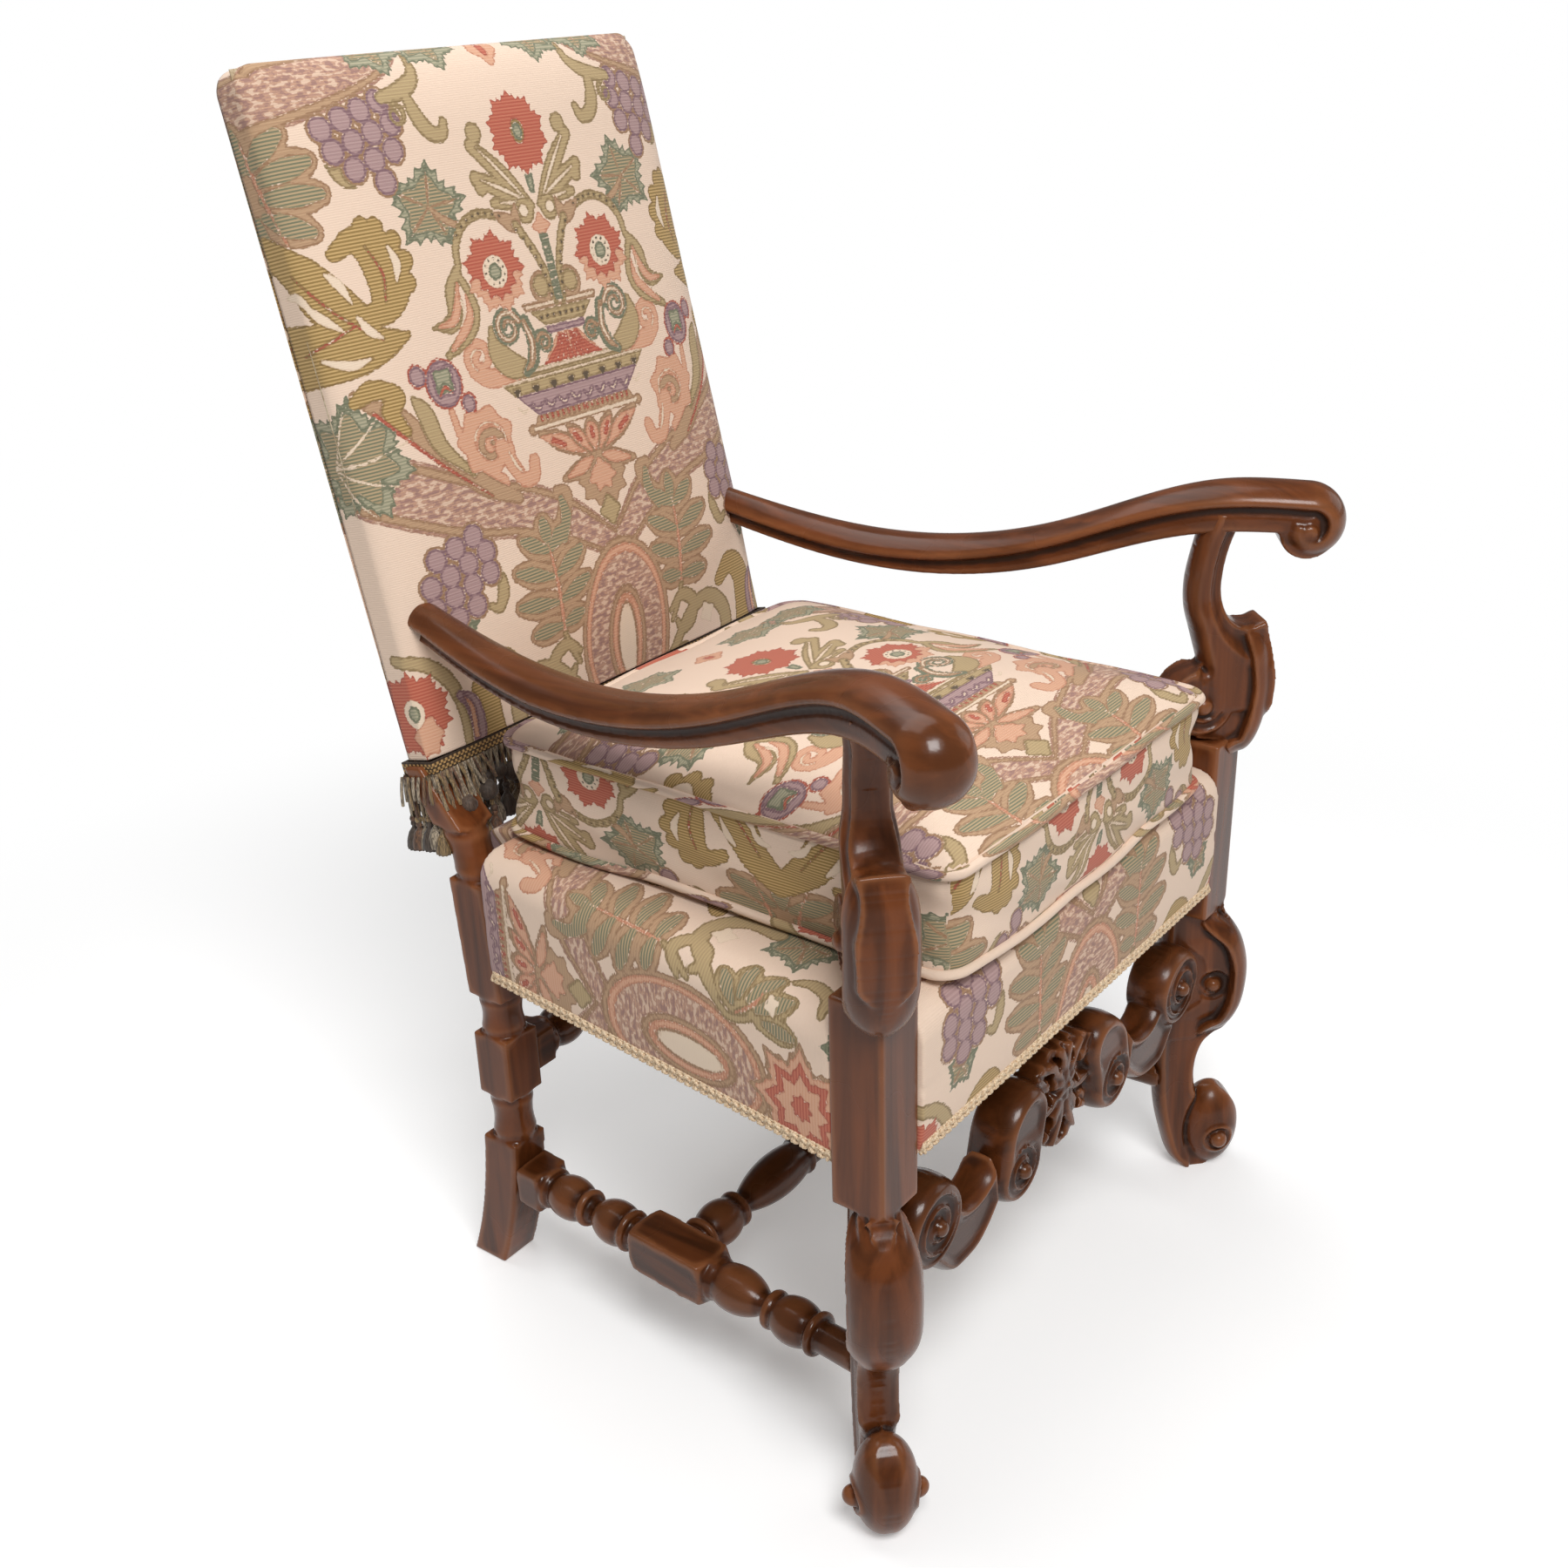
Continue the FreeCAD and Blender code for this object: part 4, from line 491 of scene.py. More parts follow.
# Smooth curve through a few places with free ends
def springCurve(places, count):
    places = np.array(places, float)
    knots = np.concatenate(((0,), np.cumsum(np.linalg.norm(np.diff(places, axis=0), axis=1))))
    gaps, n = np.diff(knots), len(places)
    table, right = np.eye(n), np.zeros((n, 3))
    for k in range(1, n - 1):
        table[k, k - 1:k + 2] = gaps[k - 1], 2 * (gaps[k - 1] + gaps[k]), gaps[k]
        right[k] = 6 * ((places[k + 1] - places[k]) / gaps[k] - (places[k] - places[k - 1]) / gaps[k - 1])
    bend = np.linalg.solve(table, right)
    spots = np.linspace(0, knots[-1], count)
    k = np.clip(np.searchsorted(knots, spots) - 1, 0, n - 2)
    a, b, g = (knots[k + 1] - spots)[:, None], (spots - knots[k])[:, None], gaps[k][:, None]
    curve = ((bend[k] * a ** 3 + bend[k + 1] * b ** 3) / (6 * g) + (places[k] / g - bend[k] * g / 6) * a
             + (places[k + 1] / g - bend[k + 1] * g / 6) * b)
    return curve


def armSection(half, deep):
    near = [(0, 0), (0.2, 0.4), (0.4, 1.6), (0.6, 3.9), (0.78, 7), (0.92, 10.4), (1.0, 13.6)]
    side = [(v * half, w) for v, w in near]
    side += [(half + 0.7, 15.4), (half + 0.4, 17.4), (half - 1.6, 19), (half - 4.6, 19.8), (half - 6.8, 21.8),
             (half - 7.8, 24.6), (half - 7.2, 27.6), (half - 5.8, 29.6), (half - 5.6, deep - 3), (half - 8, deep - 0.6),
             (half - 12, deep), (half * 0.25, deep)]
    side = np.array(side)
    return np.vstack((side, side[::-1][:-1] * (-1, 1)))


def loftRings(label, rings):
    count = len(rings[0])
    faces = []
    for k in range(len(rings) - 1):
        for j in range(count):
            i = (j + 1) % count
            faces.append((k * count + j, k * count + i, (k + 1) * count + i, (k + 1) * count + j))
    faces += [tuple(range(count))[::-1], tuple((len(rings) - 1) * count + j for j in range(count))]
    mesh = bpy.data.meshes.new(label)
    mesh.from_pydata((np.vstack(rings) / 1000).tolist(), [], faces)
    obj = bpy.data.objects.new(label, mesh)
    bpy.context.scene.collection.objects.link(obj)
    pick(obj)
    bpy.ops.object.mode_set(mode='EDIT')
    bpy.ops.mesh.select_all(action='SELECT')
    bpy.ops.mesh.normals_make_consistent(inside=False)
    bpy.ops.object.mode_set(mode='OBJECT')
    return obj


def makeArm(label, side):
    route = springCurve([(side * x, y, z) for x, y, z in arm["ridge"]], 90)
    run = np.gradient(route, axis=0)
    up = np.array((0, 0, 1.0))
    rings = []
    for spot, way in zip(route, run):
        across = np.array((way[1], -way[0], 0)) / np.hypot(way[0], way[1])
        ahead = np.clip((66 - spot[1]) / (66 + 277), 0, 1)
        behind = np.clip((spot[1] - 66) / (218 - 66), 0, 1)
        half = arm["half"][1] + (arm["half"][0] - arm["half"][1]) * behind
        section = armSection(half, arm["deep"][0] + (arm["deep"][1] - arm["deep"][0]) * ahead)
        rings.append(spot + section[:, :1] * across - section[:, 1:] * up)
    angle = math.radians(-90 + side * arm["turn"])
    forward = np.array((math.cos(angle), math.sin(angle), 0))
    across = np.array((forward[1], -forward[0], 0))
    cx, cy, cz, radius = arm["roll"]
    middle = np.array((side * cx, cy, cz))
    for turn in np.arange(6, arm["curl"], 6):
        t = math.radians(turn)
        out = forward * math.sin(t) + up * math.cos(t)
        share = turn / arm["curl"]
        spot = middle + out * (radius - 13 * share ** 1.6)
        section = armSection(arm["half"][1] - 3 * share ** 2, 31 - 12 * share)
        rings.append(spot + section[:, :1] * across - section[:, 1:] * out)
    parts = [loftRings(label, rings)]
    # The core of the roll, with a button on each cheek
    for size, thick in ((25, 18), (13, 20.5), (arm["eye"] * 0.75, 25)):
        ringsCore = []
        for w, r in ((-thick, size * 0.72), (-thick + 2.2, size), (thick - 2.2, size), (thick, size * 0.72)):
            turns = np.radians(np.arange(0, 360, 10))[:, None]
            ringsCore.append(middle + (0, 0, -5) + across * w + r * (forward * np.cos(turns) + up * np.sin(turns)))
        parts.append(loftRings("core", ringsCore))
    return joinAll(label, parts)


# Front stretcher: broken scrolls on both sides of a pierced and carved middle
stretcher = {"step": 1.3, "outer": (217, 245, 40), "inner": (83, 220, 254, 35), "half": 22, "band": 16.5,
             "panel": (50, 190, 299), "y": -0.277}


def stretcherBand():
    under = sweepCurve((112, 206), (128, 190), (147, 178), (170, 175), (192, 179), (217, 206))
    over = sweepCurve((181, 243), (166, 231), (148, 229), (130, 236), (119, 252))
    return np.vstack((under, over))


def innerGap(x, z):
    cx, low, high, r = stretcher["inner"]
    shoulder = np.hypot((x - cx + 0.25 * np.clip(z - low, 0, None)) * 1.02, z - np.clip(z, low, high)) - r
    return shoulder


def panelGap(x, z):
    half, low, high = stretcher["panel"]
    leafy = 3.2 * abs(np.sin(z * 0.19)) + 2.2 * abs(np.sin(x * 0.17 + 0.4))
    field = np.maximum(abs(x) - half + leafy,
                       np.maximum(low - z + leafy + 0.06 * x * x / 4, z - high + leafy + 0.0045 * x * x))
    for hx, hz, wide, tall in ((24, 262, 5.5, 16), (25, 225, 6, 8), (11, 281, 4, 6), (0, 209, 7, 9.5)):
        field = np.maximum(field, (1 - np.hypot((x - hx) / wide, (z - hz) / tall)) * wide)
    return field


def stretcherGap(x, z):
    x = abs(x)
    ox, oz, r = stretcher["outer"]
    return np.minimum(np.minimum(np.hypot(x - ox, z - oz) - r, innerGap(x, z)),
                      np.minimum(gapIn(stretcherBand(), x, z), panelGap(x, z)))


# A carved leaf or petal: a rounded ridge with a vein, from its root to its tip
def leafRidge(x, z, root, tip, wide, rise, bow=0.0):
    root, tip = np.array(root, float), np.array(tip, float)
    way = tip - root
    size = np.hypot(*way)
    along = ((x - root[0]) * way[0] + (z - root[1]) * way[1]) / size ** 2
    off = ((z - root[1]) * way[0] - (x - root[0]) * way[1]) / size - bow * np.sin(np.pi * np.clip(along, 0, 1))
    full = wide * np.sqrt(np.clip(np.sin(np.pi * np.clip(along * 0.92 + 0.06, 0, 1)), 0, 1))
    shape = np.clip(1 - (off / np.maximum(full, 0.01)) ** 2, 0, 1)
    return np.where((along > 0) & (along < 1), rise * np.sqrt(shape) - 2.0 * bump(off, 0, 0.9) * (shape > 0), 0)


def stretcherDepth(x, z):
    x = abs(x)
    ox, oz, r = stretcher["outer"]
    half = stretcher["half"]
    outer = np.where(np.hypot(x - ox, z - oz) < r + 1, half * rounded(r - np.hypot(x - ox, z - oz), 9)
                     + volute(x, z, (ox, oz), r - 8, 7.5, 11.5, 1, 0.15), 0)
    near = -innerGap(x, z)
    cx, low = stretcher["inner"][:2]
    inner = np.where(near > -1, half * rounded(near, 9) - 3.5 * ramp(9, 16, near) * ramp(236, 250, z)
                     + volute(x, z, (cx + 1, low - 2), 26, 7.5, 10.5, 1, 0.6), 0)
    strip = -gapIn(stretcherBand(), x, z)
    band = np.where(strip > -1, stretcher["band"] * rounded(strip, 6) + 1.2 * bump(strip, 6, 1.8)
                    - 2.5 * ramp(8, 14, strip), 0)
    carve = np.where(panelGap(x, z) < 1, 7 * rounded(-panelGap(x, z), 3), 0)
    leaves = (((6, 262), (30, 288), 8, 12, 3), ((8, 256), (44, 270), 8, 11, 4), ((8, 250), (46, 244), 8, 11, -4),
              ((7, 246), (40, 212), 8, 12, -5), ((4, 244), (20, 200), 7, 12, -3), ((2, 270), (9, 298), 7, 12, 1),
              ((20, 280), (44, 292), 6, 9, -2), ((34, 228), (48, 204), 6, 9, 2), ((30, 262), (48, 284), 6, 10, 2),
              ((14, 214), (4, 193), 6, 10, 2))
    for root, tip, wide, rise, bow in leaves:
        carve = np.maximum(carve, 4 + leafRidge(x, z, root, tip, wide, rise, bow))
    ring = np.hypot(x / 9.5, (z - 209) / 12.5)
    carve = np.maximum(carve, 13 * np.sqrt(np.clip(1 - ((ring - 1) / 0.3) ** 2, 0, 1)))
    for k in range(4):
        angle = math.radians(90 - 60 * k)
        carve = np.maximum(carve, 7 + leafRidge(x, z, (2 * math.cos(angle), 256 + 2 * math.sin(angle)),
                                                (16 * math.cos(angle), 256 + 16 * math.sin(angle)), 6.5, 10))
    carve = np.maximum(carve, 19 * np.sqrt(np.clip(1 - (np.hypot(x, z - 256) / 6) ** 2, 0, 1)))
    carve = np.where(panelGap(x, z) < 1, carve, 0)
    return np.maximum(np.maximum(outer, inner), np.maximum(band, carve))


def makeStretcher(label):
    obj = carveRelief(label, (-262, 170), (262, 304), stretcher["step"], stretcherGap, stretcherDepth)
    setPoints(obj, pointsOf(obj) + (0, stretcher["y"], 0))
    return obj


for side, word in ((-1, "left"), (1, "right")):
    for make, name in ((makeLeg, "front_leg_"), (makeSupport, "arm_support_")):
        piece = make(name + word + "_carved")
        standDiagonal(piece, side)
        polish(piece, walnutZ, 0.0016, 2, name + word)
        print(name + word, len(piece.data.polygons))
    piece = polish(makeArm("arm_" + word + "_carved", side), walnutY, 0.0017, 3, "arm_" + word)
    print("arm", word, len(piece.data.polygons))
piece = polish(makeStretcher("front_stretcher_carved"), walnutShadedX, 0.0015, 1, "front_stretcher")
print("front stretcher", len(piece.data.polygons))

# Tapestry, drawn as signed distances in millimetres of cloth: p runs across from the pattern's axis and a up along it.
# Each shape is laid in one ink and cut out of the inks under it.
class Cloth:
    inks = ("ribbon", "tan", "olive", "ochre", "salmon", "red", "light", "green", "sprig", "mauve", "dark")
    half, rise, start = 290.0, 860.0, -200.0

    def __init__(self, p, a):
        self.p = self.half - abs((abs(p) % (2 * self.half)) - self.half)
        self.a = (a - self.start) % self.rise + self.start
        self.field = {ink: np.full(p.shape, 60.0) for ink in self.inks}

    def near(self, low, high, margin=9):
        return np.nonzero((self.p > low[0] - margin) & (self.p < high[0] + margin)
                          & (self.a > low[1] - margin) & (self.a < high[1] + margin))[0]

    def lay(self, ink, spots, shape):
        for name, field in self.field.items():
            if name == ink:
                field[spots] = np.minimum(field[spots], shape)
            else:
                field[spots] = np.maximum(field[spots], -shape - 0.7)

    def dot(self, ink, x, y, r, tall=1.0):
        spots = self.near((x - r, y - r * tall), (x + r, y + r * tall))
        self.lay(ink, spots, (np.hypot(self.p[spots] - x, (self.a[spots] - y) / tall) - r))

    def ring(self, ink, x, y, r, width, tall=1.0):
        spots = self.near((x - r - width, y - (r + width) * tall), (x + r + width, y + (r + width) * tall))
        self.lay(ink, spots, abs(np.hypot(self.p[spots] - x, (self.a[spots] - y) / tall) - r) - width)

    # A lobed and toothed leaf or flower, kept above a given level where one is named
    def lobed(self, ink, x, y, r, lobes, depth, turn=0.0, tall=1.0, teeth=0, bite=0.06, above=None):
        spots = self.near((x - r, y - r * tall), (x + r, y + r * tall))
        dx, dy = self.p[spots] - x, (self.a[spots] - y) / tall
        angle = np.arctan2(dy, dx) - math.radians(turn)
        edge = 1 - depth * abs(np.sin(angle * lobes / 2)) ** 1.4
        if teeth:
            edge = edge - bite * abs(np.sin(angle * teeth / 2))
        shape = (np.hypot(dx, dy) - r * edge) * 0.85
        if above is not None:
            shape = np.maximum(shape, above - self.a[spots] - 0.3 * abs(dx))
        self.lay(ink, spots, shape)

    # A smooth tapered stroke through a few places, each (p, a, half width)
    def stroke(self, ink, *places):
        route = np.array(places, float)
        if len(route) > 2:
            ends = np.vstack((2 * route[0] - route[1], route, 2 * route[-1] - route[-2]))
            curve = []
            for k in range(1, len(ends) - 2):
                for t in np.arange(0, 1, 0.125):
                    curve.append(0.5 * (2 * ends[k] + (ends[k + 1] - ends[k - 1]) * t
                                        + (2 * ends[k - 1] - 5 * ends[k] + 4 * ends[k + 1] - ends[k + 2]) * t * t
                                        + (3 * ends[k] - ends[k - 1] - 3 * ends[k + 1] + ends[k + 2]) * t ** 3))
            route = np.array(curve + [route[-1]])
        wide = route[:, 2].max()
        spots = self.near(route[:, :2].min(0) - wide, route[:, :2].max(0) + wide)
        x, y = self.p[spots], self.a[spots]
        best = np.full(len(spots), 60.0)
        for one, two in zip(route[:-1], route[1:]):
            dx, dy = two[0] - one[0], two[1] - one[1]
            t = np.clip(((x - one[0]) * dx + (y - one[1]) * dy) / max(dx * dx + dy * dy, 1e-6), 0, 1)
            best = np.minimum(best, np.hypot(x - one[0] - t * dx, y - one[1] - t * dy) - one[2] - t * (two[2] - one[2]))
        self.lay(ink, spots, best)

    def spiral(self, ink, x, y, outer, inner, turns, start, width, hand=1):
        places = []
        count = int(turns * 8)
        for k in range(count + 1):
            angle = math.radians(start) + hand * k * turns * 2 * math.pi / count
            r = outer + (inner - outer) * k / count
            places.append((x + r * math.cos(angle), y + r * math.sin(angle), width * (1 - 0.35 * k / count)))
        self.stroke(ink, *places)

    # All between two levels, tapering between two half widths
    def band(self, ink, low, halfLow, high, halfHigh):
        wide = max(halfLow, halfHigh)
        spots = self.near((-wide, low), (wide, high))
        y = self.a[spots]
        half = halfLow + (halfHigh - halfLow) * np.clip((y - low) / (high - low), 0, 1)
        self.lay(ink, spots, np.maximum(self.p[spots] - half, np.maximum(low - y, y - high)))

    # Strokes from the middle of a leaf towards its lobes
    def veins(self, ink, x, y, r, count, turn, width, tall=1.0):
        for k in range(count):
            angle = math.radians(turn + 360 * k / count)
            u, v = math.cos(angle), math.sin(angle) * tall
            self.stroke(ink, (x, y, width * 0.6), (x + 0.45 * r * u, y + 0.45 * r * v, width),
                        (x + 0.8 * r * u, y + 0.8 * r * v, width * 0.25))

    # A leaf of rounded lobes, each given by its root and tip, with a hatched strip in each and a rib through all
    def lobes(self, ink, strip, pairs, wide, thin, rib=()):
        for (x, y), (u, v) in pairs:
            self.stroke(ink, (x, y, wide * 0.75), (x + 0.62 * (u - x), y + 0.62 * (v - y), wide), (u, v, wide * 0.6))
        for (x, y), (u, v) in pairs:
            self.stroke(strip, (x + 0.1 * (u - x), y + 0.1 * (v - y), thin * 0.45),
                        (x + 0.6 * (u - x), y + 0.6 * (v - y), thin), (u, v, thin * 0.55))
        if rib:
            self.stroke("salmon", *rib)

    # Grapes in slanting rows
    def bunch(self, x, y, rows, r, lean):
        for under in (True, False):
            for row, count in enumerate(rows):
                self.grapes(under, x, y, row, count, r, lean)

    def grapes(self, under, x, y, row, count, r, lean):
        for k in range(count):
            side = k - (count - 1) / 2
            if under:
                self.dot("tan", x + 2.0 * r * side + lean * row * r, y - 1.75 * r * row - 0.5 * r * side, r + 2.5)
            else:
                self.dot("mauve", x + 2.0 * r * side + lean * row * r, y - 1.75 * r * row - 0.5 * r * side, r)


def drawRibbons(cloth):
    for ink, share in (("ribbon", 1.12), ("tan", 1.0), ("ribbon", 0.72)):
        cloth.stroke(ink, (300, 548, 26 * share), (235, 556, 26 * share), (180, 564, 22 * share),
                     (135, 574, 17 * share), (100, 590, 13 * share))
        cloth.stroke(ink, (300, 262, 24 * share), (215, 222, 27 * share), (160, 198, 25 * share),
                     (108, 184, 23 * share), (58, 162, 20 * share), (20, 137, 15 * share), (-14, 112, 12 * share))
    cloth.dot("tan", 0, 38, 63, 1.48)
    cloth.dot("salmon", 0, 38, 57, 1.5)
    cloth.dot("ribbon", 0, 37, 52, 1.52)
    cloth.dot("tan", 0, 32, 27, 1.95)
    cloth.dot("salmon", 0, 32, 21, 2.1)
    cloth.dot("tan", 0, 31, 15, 2.6)
    cloth.dot("light", 0, 30, 11.5, 3.1)


def drawFlowers(cloth):
    # Carnation over its leaf wings
    for tip, bend, wide in (((60, 493), (30, 464), 9), ((64, 466), (32, 451), 9), ((50, 443), (28, 441), 7)):
        cloth.stroke("olive", (5, 436, 4), bend + (wide,), tip + (wide - 2,))
    cloth.dot("olive", 53, 503, 9.5)
    cloth.dot("olive", 60, 458, 8)
    for tip, bend in (((54, 491), (30, 465)), ((58, 464), (32, 452)), ((42, 443), (26, 441))):
        cloth.stroke("light", (10, 441, 0.4), bend + (1.6,), tip + (0.6,))
    cloth.dot("olive", 16, 433, 12)
    cloth.dot("light", 17, 433, 5)
    cloth.band("green", 446, 3, 463, 5.5)
    cloth.lobed("red", 0, 499, 38, 10, 0.13, 90, 1.0, 30, 0.1)
    cloth.dot("ochre", 0, 500, 8.5, 1.3)
    cloth.dot("green", 0, 500, 6, 1.3)
    cloth.lobed("salmon", 0, 418, 12, 4, 0.35)
    # Half of a second carnation at the sides, under its stem
    cloth.stroke("olive", (276, 90, 6), (246, 82, 7), (224, 60, 7), (214, 30, 6), (214, 0, 5))
    cloth.stroke("mauve", (216, 46, 4), (204, 34, 8), (200, 8, 8), (206, -14, 5))
    cloth.stroke("salmon", (212, 44, 1), (205, 30, 3), (204, 4, 3))
    cloth.lobed("red", 266, 40, 42, 10, 0.13, 90, 1.0, 30, 0.1)
    cloth.lobed("salmon", 258, 20, 20, 6, 0.2, 60)
    cloth.dot("light", 268, 42, 13)
    cloth.dot("green", 268, 42, 8)
    # Dotted stems, over the daisies and down into drooping bells
    cloth.stroke("olive", (40, 427, 4), (56, 434, 4.6), (74, 437, 4.6), (94, 429, 4.6), (106, 414, 4.5), (109, 398, 4))
    cloth.stroke("tan", (26, 440, 2), (32, 424, 8), (42, 428, 7), (52, 434, 3))
    cloth.stroke("olive", (5, 352, 4), (9, 378, 4.4), (19, 402, 4.6), (31, 422, 4.6))
    cloth.band("green", 352, 4.6, 411, 5.5)
    for k in range(8):
        t = k / 7
        cloth.dot("dark", 8 + 22 * t * t + 2 * t, 358 + 60 * t, 1.5)
        cloth.dot("dark", 48 + 54 * t, 432 + 6 * math.sin(math.pi * t) - 9 * t ** 3, 1.3)
        cloth.band("light", 356 + 7 * k, 3.8, 358.4 + 7 * k, 3.8)
    cloth.stroke("olive", (109, 398, 4), (122, 380, 8), (124, 362, 9), (133, 352, 8), (152, 352, 2))
    cloth.stroke("olive", (112, 392, 4), (104, 372, 5), (105, 356, 7), (118, 341, 8), (144, 327, 4))
    cloth.stroke("salmon", (115, 384, 1.5), (121, 366, 4), (130, 354, 4), (146, 352, 1.5))
    cloth.stroke("salmon", (109, 374, 1), (110, 356, 4), (122, 343, 4.5), (138, 331, 2))
    cloth.stroke("light", (117, 374, 0.4), (115, 360, 1.4), (122, 349, 0.5))
    # Daisies, red above and salmon below
    cloth.lobed("salmon", 69, 387, 38, 9, 0.15, 20, 1.0, 27, 0.1)
    cloth.lobed("red", 69, 387, 37, 9, 0.15, 20, 1.0, 27, 0.1, 392)
    cloth.lobed("red", 69, 387, 25, 12, 0.2)
    cloth.dot("light", 69, 387, 14)
    cloth.dot("green", 69, 387, 7.6)
    for k in range(11):
        cloth.dot("dark", 69 + 10.8 * math.cos(k * 0.571), 387 + 10.8 * math.sin(k * 0.571), 1.2)


def drawLeaves(cloth):
    for x, y, r, turn, tall in ((124, 449, 46, 30, 0.88), (206, 100, 24, 100, 0.9), (150, -40, 40, 60, 0.9),
                                (66, -140, 40, 20, 0.9)):
        cloth.lobed("green", x, y, r, 5, 0.25, turn, tall, 20, 0.15)
        cloth.lobed("sprig", x, y, r * 0.66, 5, 0.3, turn, tall)
        cloth.veins("tan", x, y, r, 5, turn, 2.2, tall)
    cloth.stroke("tan", (98, 431, 4), (110, 437, 4), (124, 449, 2.4))
    # Hatched leaves below the urn, each with a curl
    cloth.stroke("tan", (74, 148, 9), (58, 170, 9), (53, 184, 9), (62, 189, 6))
    cloth.lobes("tan", "sprig", (((87, 146), (88, 168)), ((88, 140), (63, 158)), ((88, 140), (116, 156)),
                                 ((87, 116), (50, 134)), ((87, 116), (130, 130)), ((86, 92), (48, 106)),
                                 ((86, 92), (134, 100)), ((85, 70), (60, 76)), ((85, 70), (120, 70))), 14, 7,
                ((84, 56, 1.5), (86, 100, 2), (88, 158, 0.6)))
    cloth.stroke("sprig", (67, 146, 4), (58, 166, 6), (59, 182, 3))
    cloth.stroke("olive", (84, 62, 3.5), (78, 46, 4), (68, 30, 4))
    # Leaves at the sides
    cloth.lobes("tan", "sprig", (((286, 500), (246, 524)), ((282, 490), (228, 500)), ((282, 478), (224, 474)),
                                 ((284, 466), (240, 446)), ((290, 500), (292, 532)), ((290, 466), (288, 434))), 17, 9,
                ((262, 440, 0.8), (276, 484, 2.4), (286, 530, 1)))
    cloth.lobed("green", 258, 262, 56, 7, 0.24, 200, 1.0, 35, 0.1)
    cloth.lobed("sprig", 260, 262, 40, 7, 0.34, 200)
    for tip in ((206, 268), (222, 300), (222, 232), (254, 312), (254, 214)):
        cloth.stroke("light", (282, 258, 1.4), ((282 + tip[0]) / 2, (258 + tip[1]) / 2 - 3, 1.8), tip + (0.5,))
    cloth.lobed("green", 196, 108, 15, 5, 0.35, 40, 1.2)
    # Curling leaves below the almond
    cloth.stroke("olive", (66, 4, 4), (52, -14, 4.5), (58, -34, 4), (70, -44, 4))
    cloth.lobes("olive", "sprig", (((60, -48), (58, -78)), ((66, -40), (84, -72)), ((70, -32), (100, -54)),
                                   ((70, -24), (100, -28)), ((64, -20), (84, -4))), 12, 6,
                ((58, -22, 1), (72, -40, 1.6), (92, -50, 0.6)))
    cloth.lobed("light", 76, -56, 8, 4, 0.35, 30)
    cloth.stroke("olive", (84, -100, 4), (104, -96, 7), (112, -78, 7), (106, -64, 4))
    # Acanthus hooks, scalloped along the outer edge
    cloth.stroke("ochre", (290, 440, 12), (262, 415, 18), (240, 385, 22), (222, 362, 20))
    cloth.stroke("ochre", (290, 352, 27), (240, 350, 23), (210, 349, 15), (180, 352, 4))
    cloth.stroke("ochre", (228, 426, 7), (208, 434, 11), (190, 424, 20), (183, 400, 22), (193, 378, 14), (214, 372, 8))
    for x, y in ((184, 441), (170, 428), (163, 411), (166, 393), (196, 443)):
        cloth.dot("ochre", x, y, 9)
    for tip, bend, root in (((198, 428), (188, 404), (192, 382)), ((268, 416), (240, 380), (204, 352)),
                            ((280, 352), (250, 360), (226, 368))):
        cloth.stroke("red", tip + (0.4,), bend + (0.9,), root + (0.4,))
    for one, two, three in (((240, 412), (231, 402), (224, 386)), ((264, 392), (252, 378), (238, 366)),
                            ((222, 374), (215, 362), (204, 354)), ((262, 346), (240, 338), (220, 340)),
                            ((280, 400), (268, 398), (258, 386)), ((176, 424), (172, 410), (176, 396))):
        cloth.stroke("light", one + (1.5,), two + (4,), three + (1,))


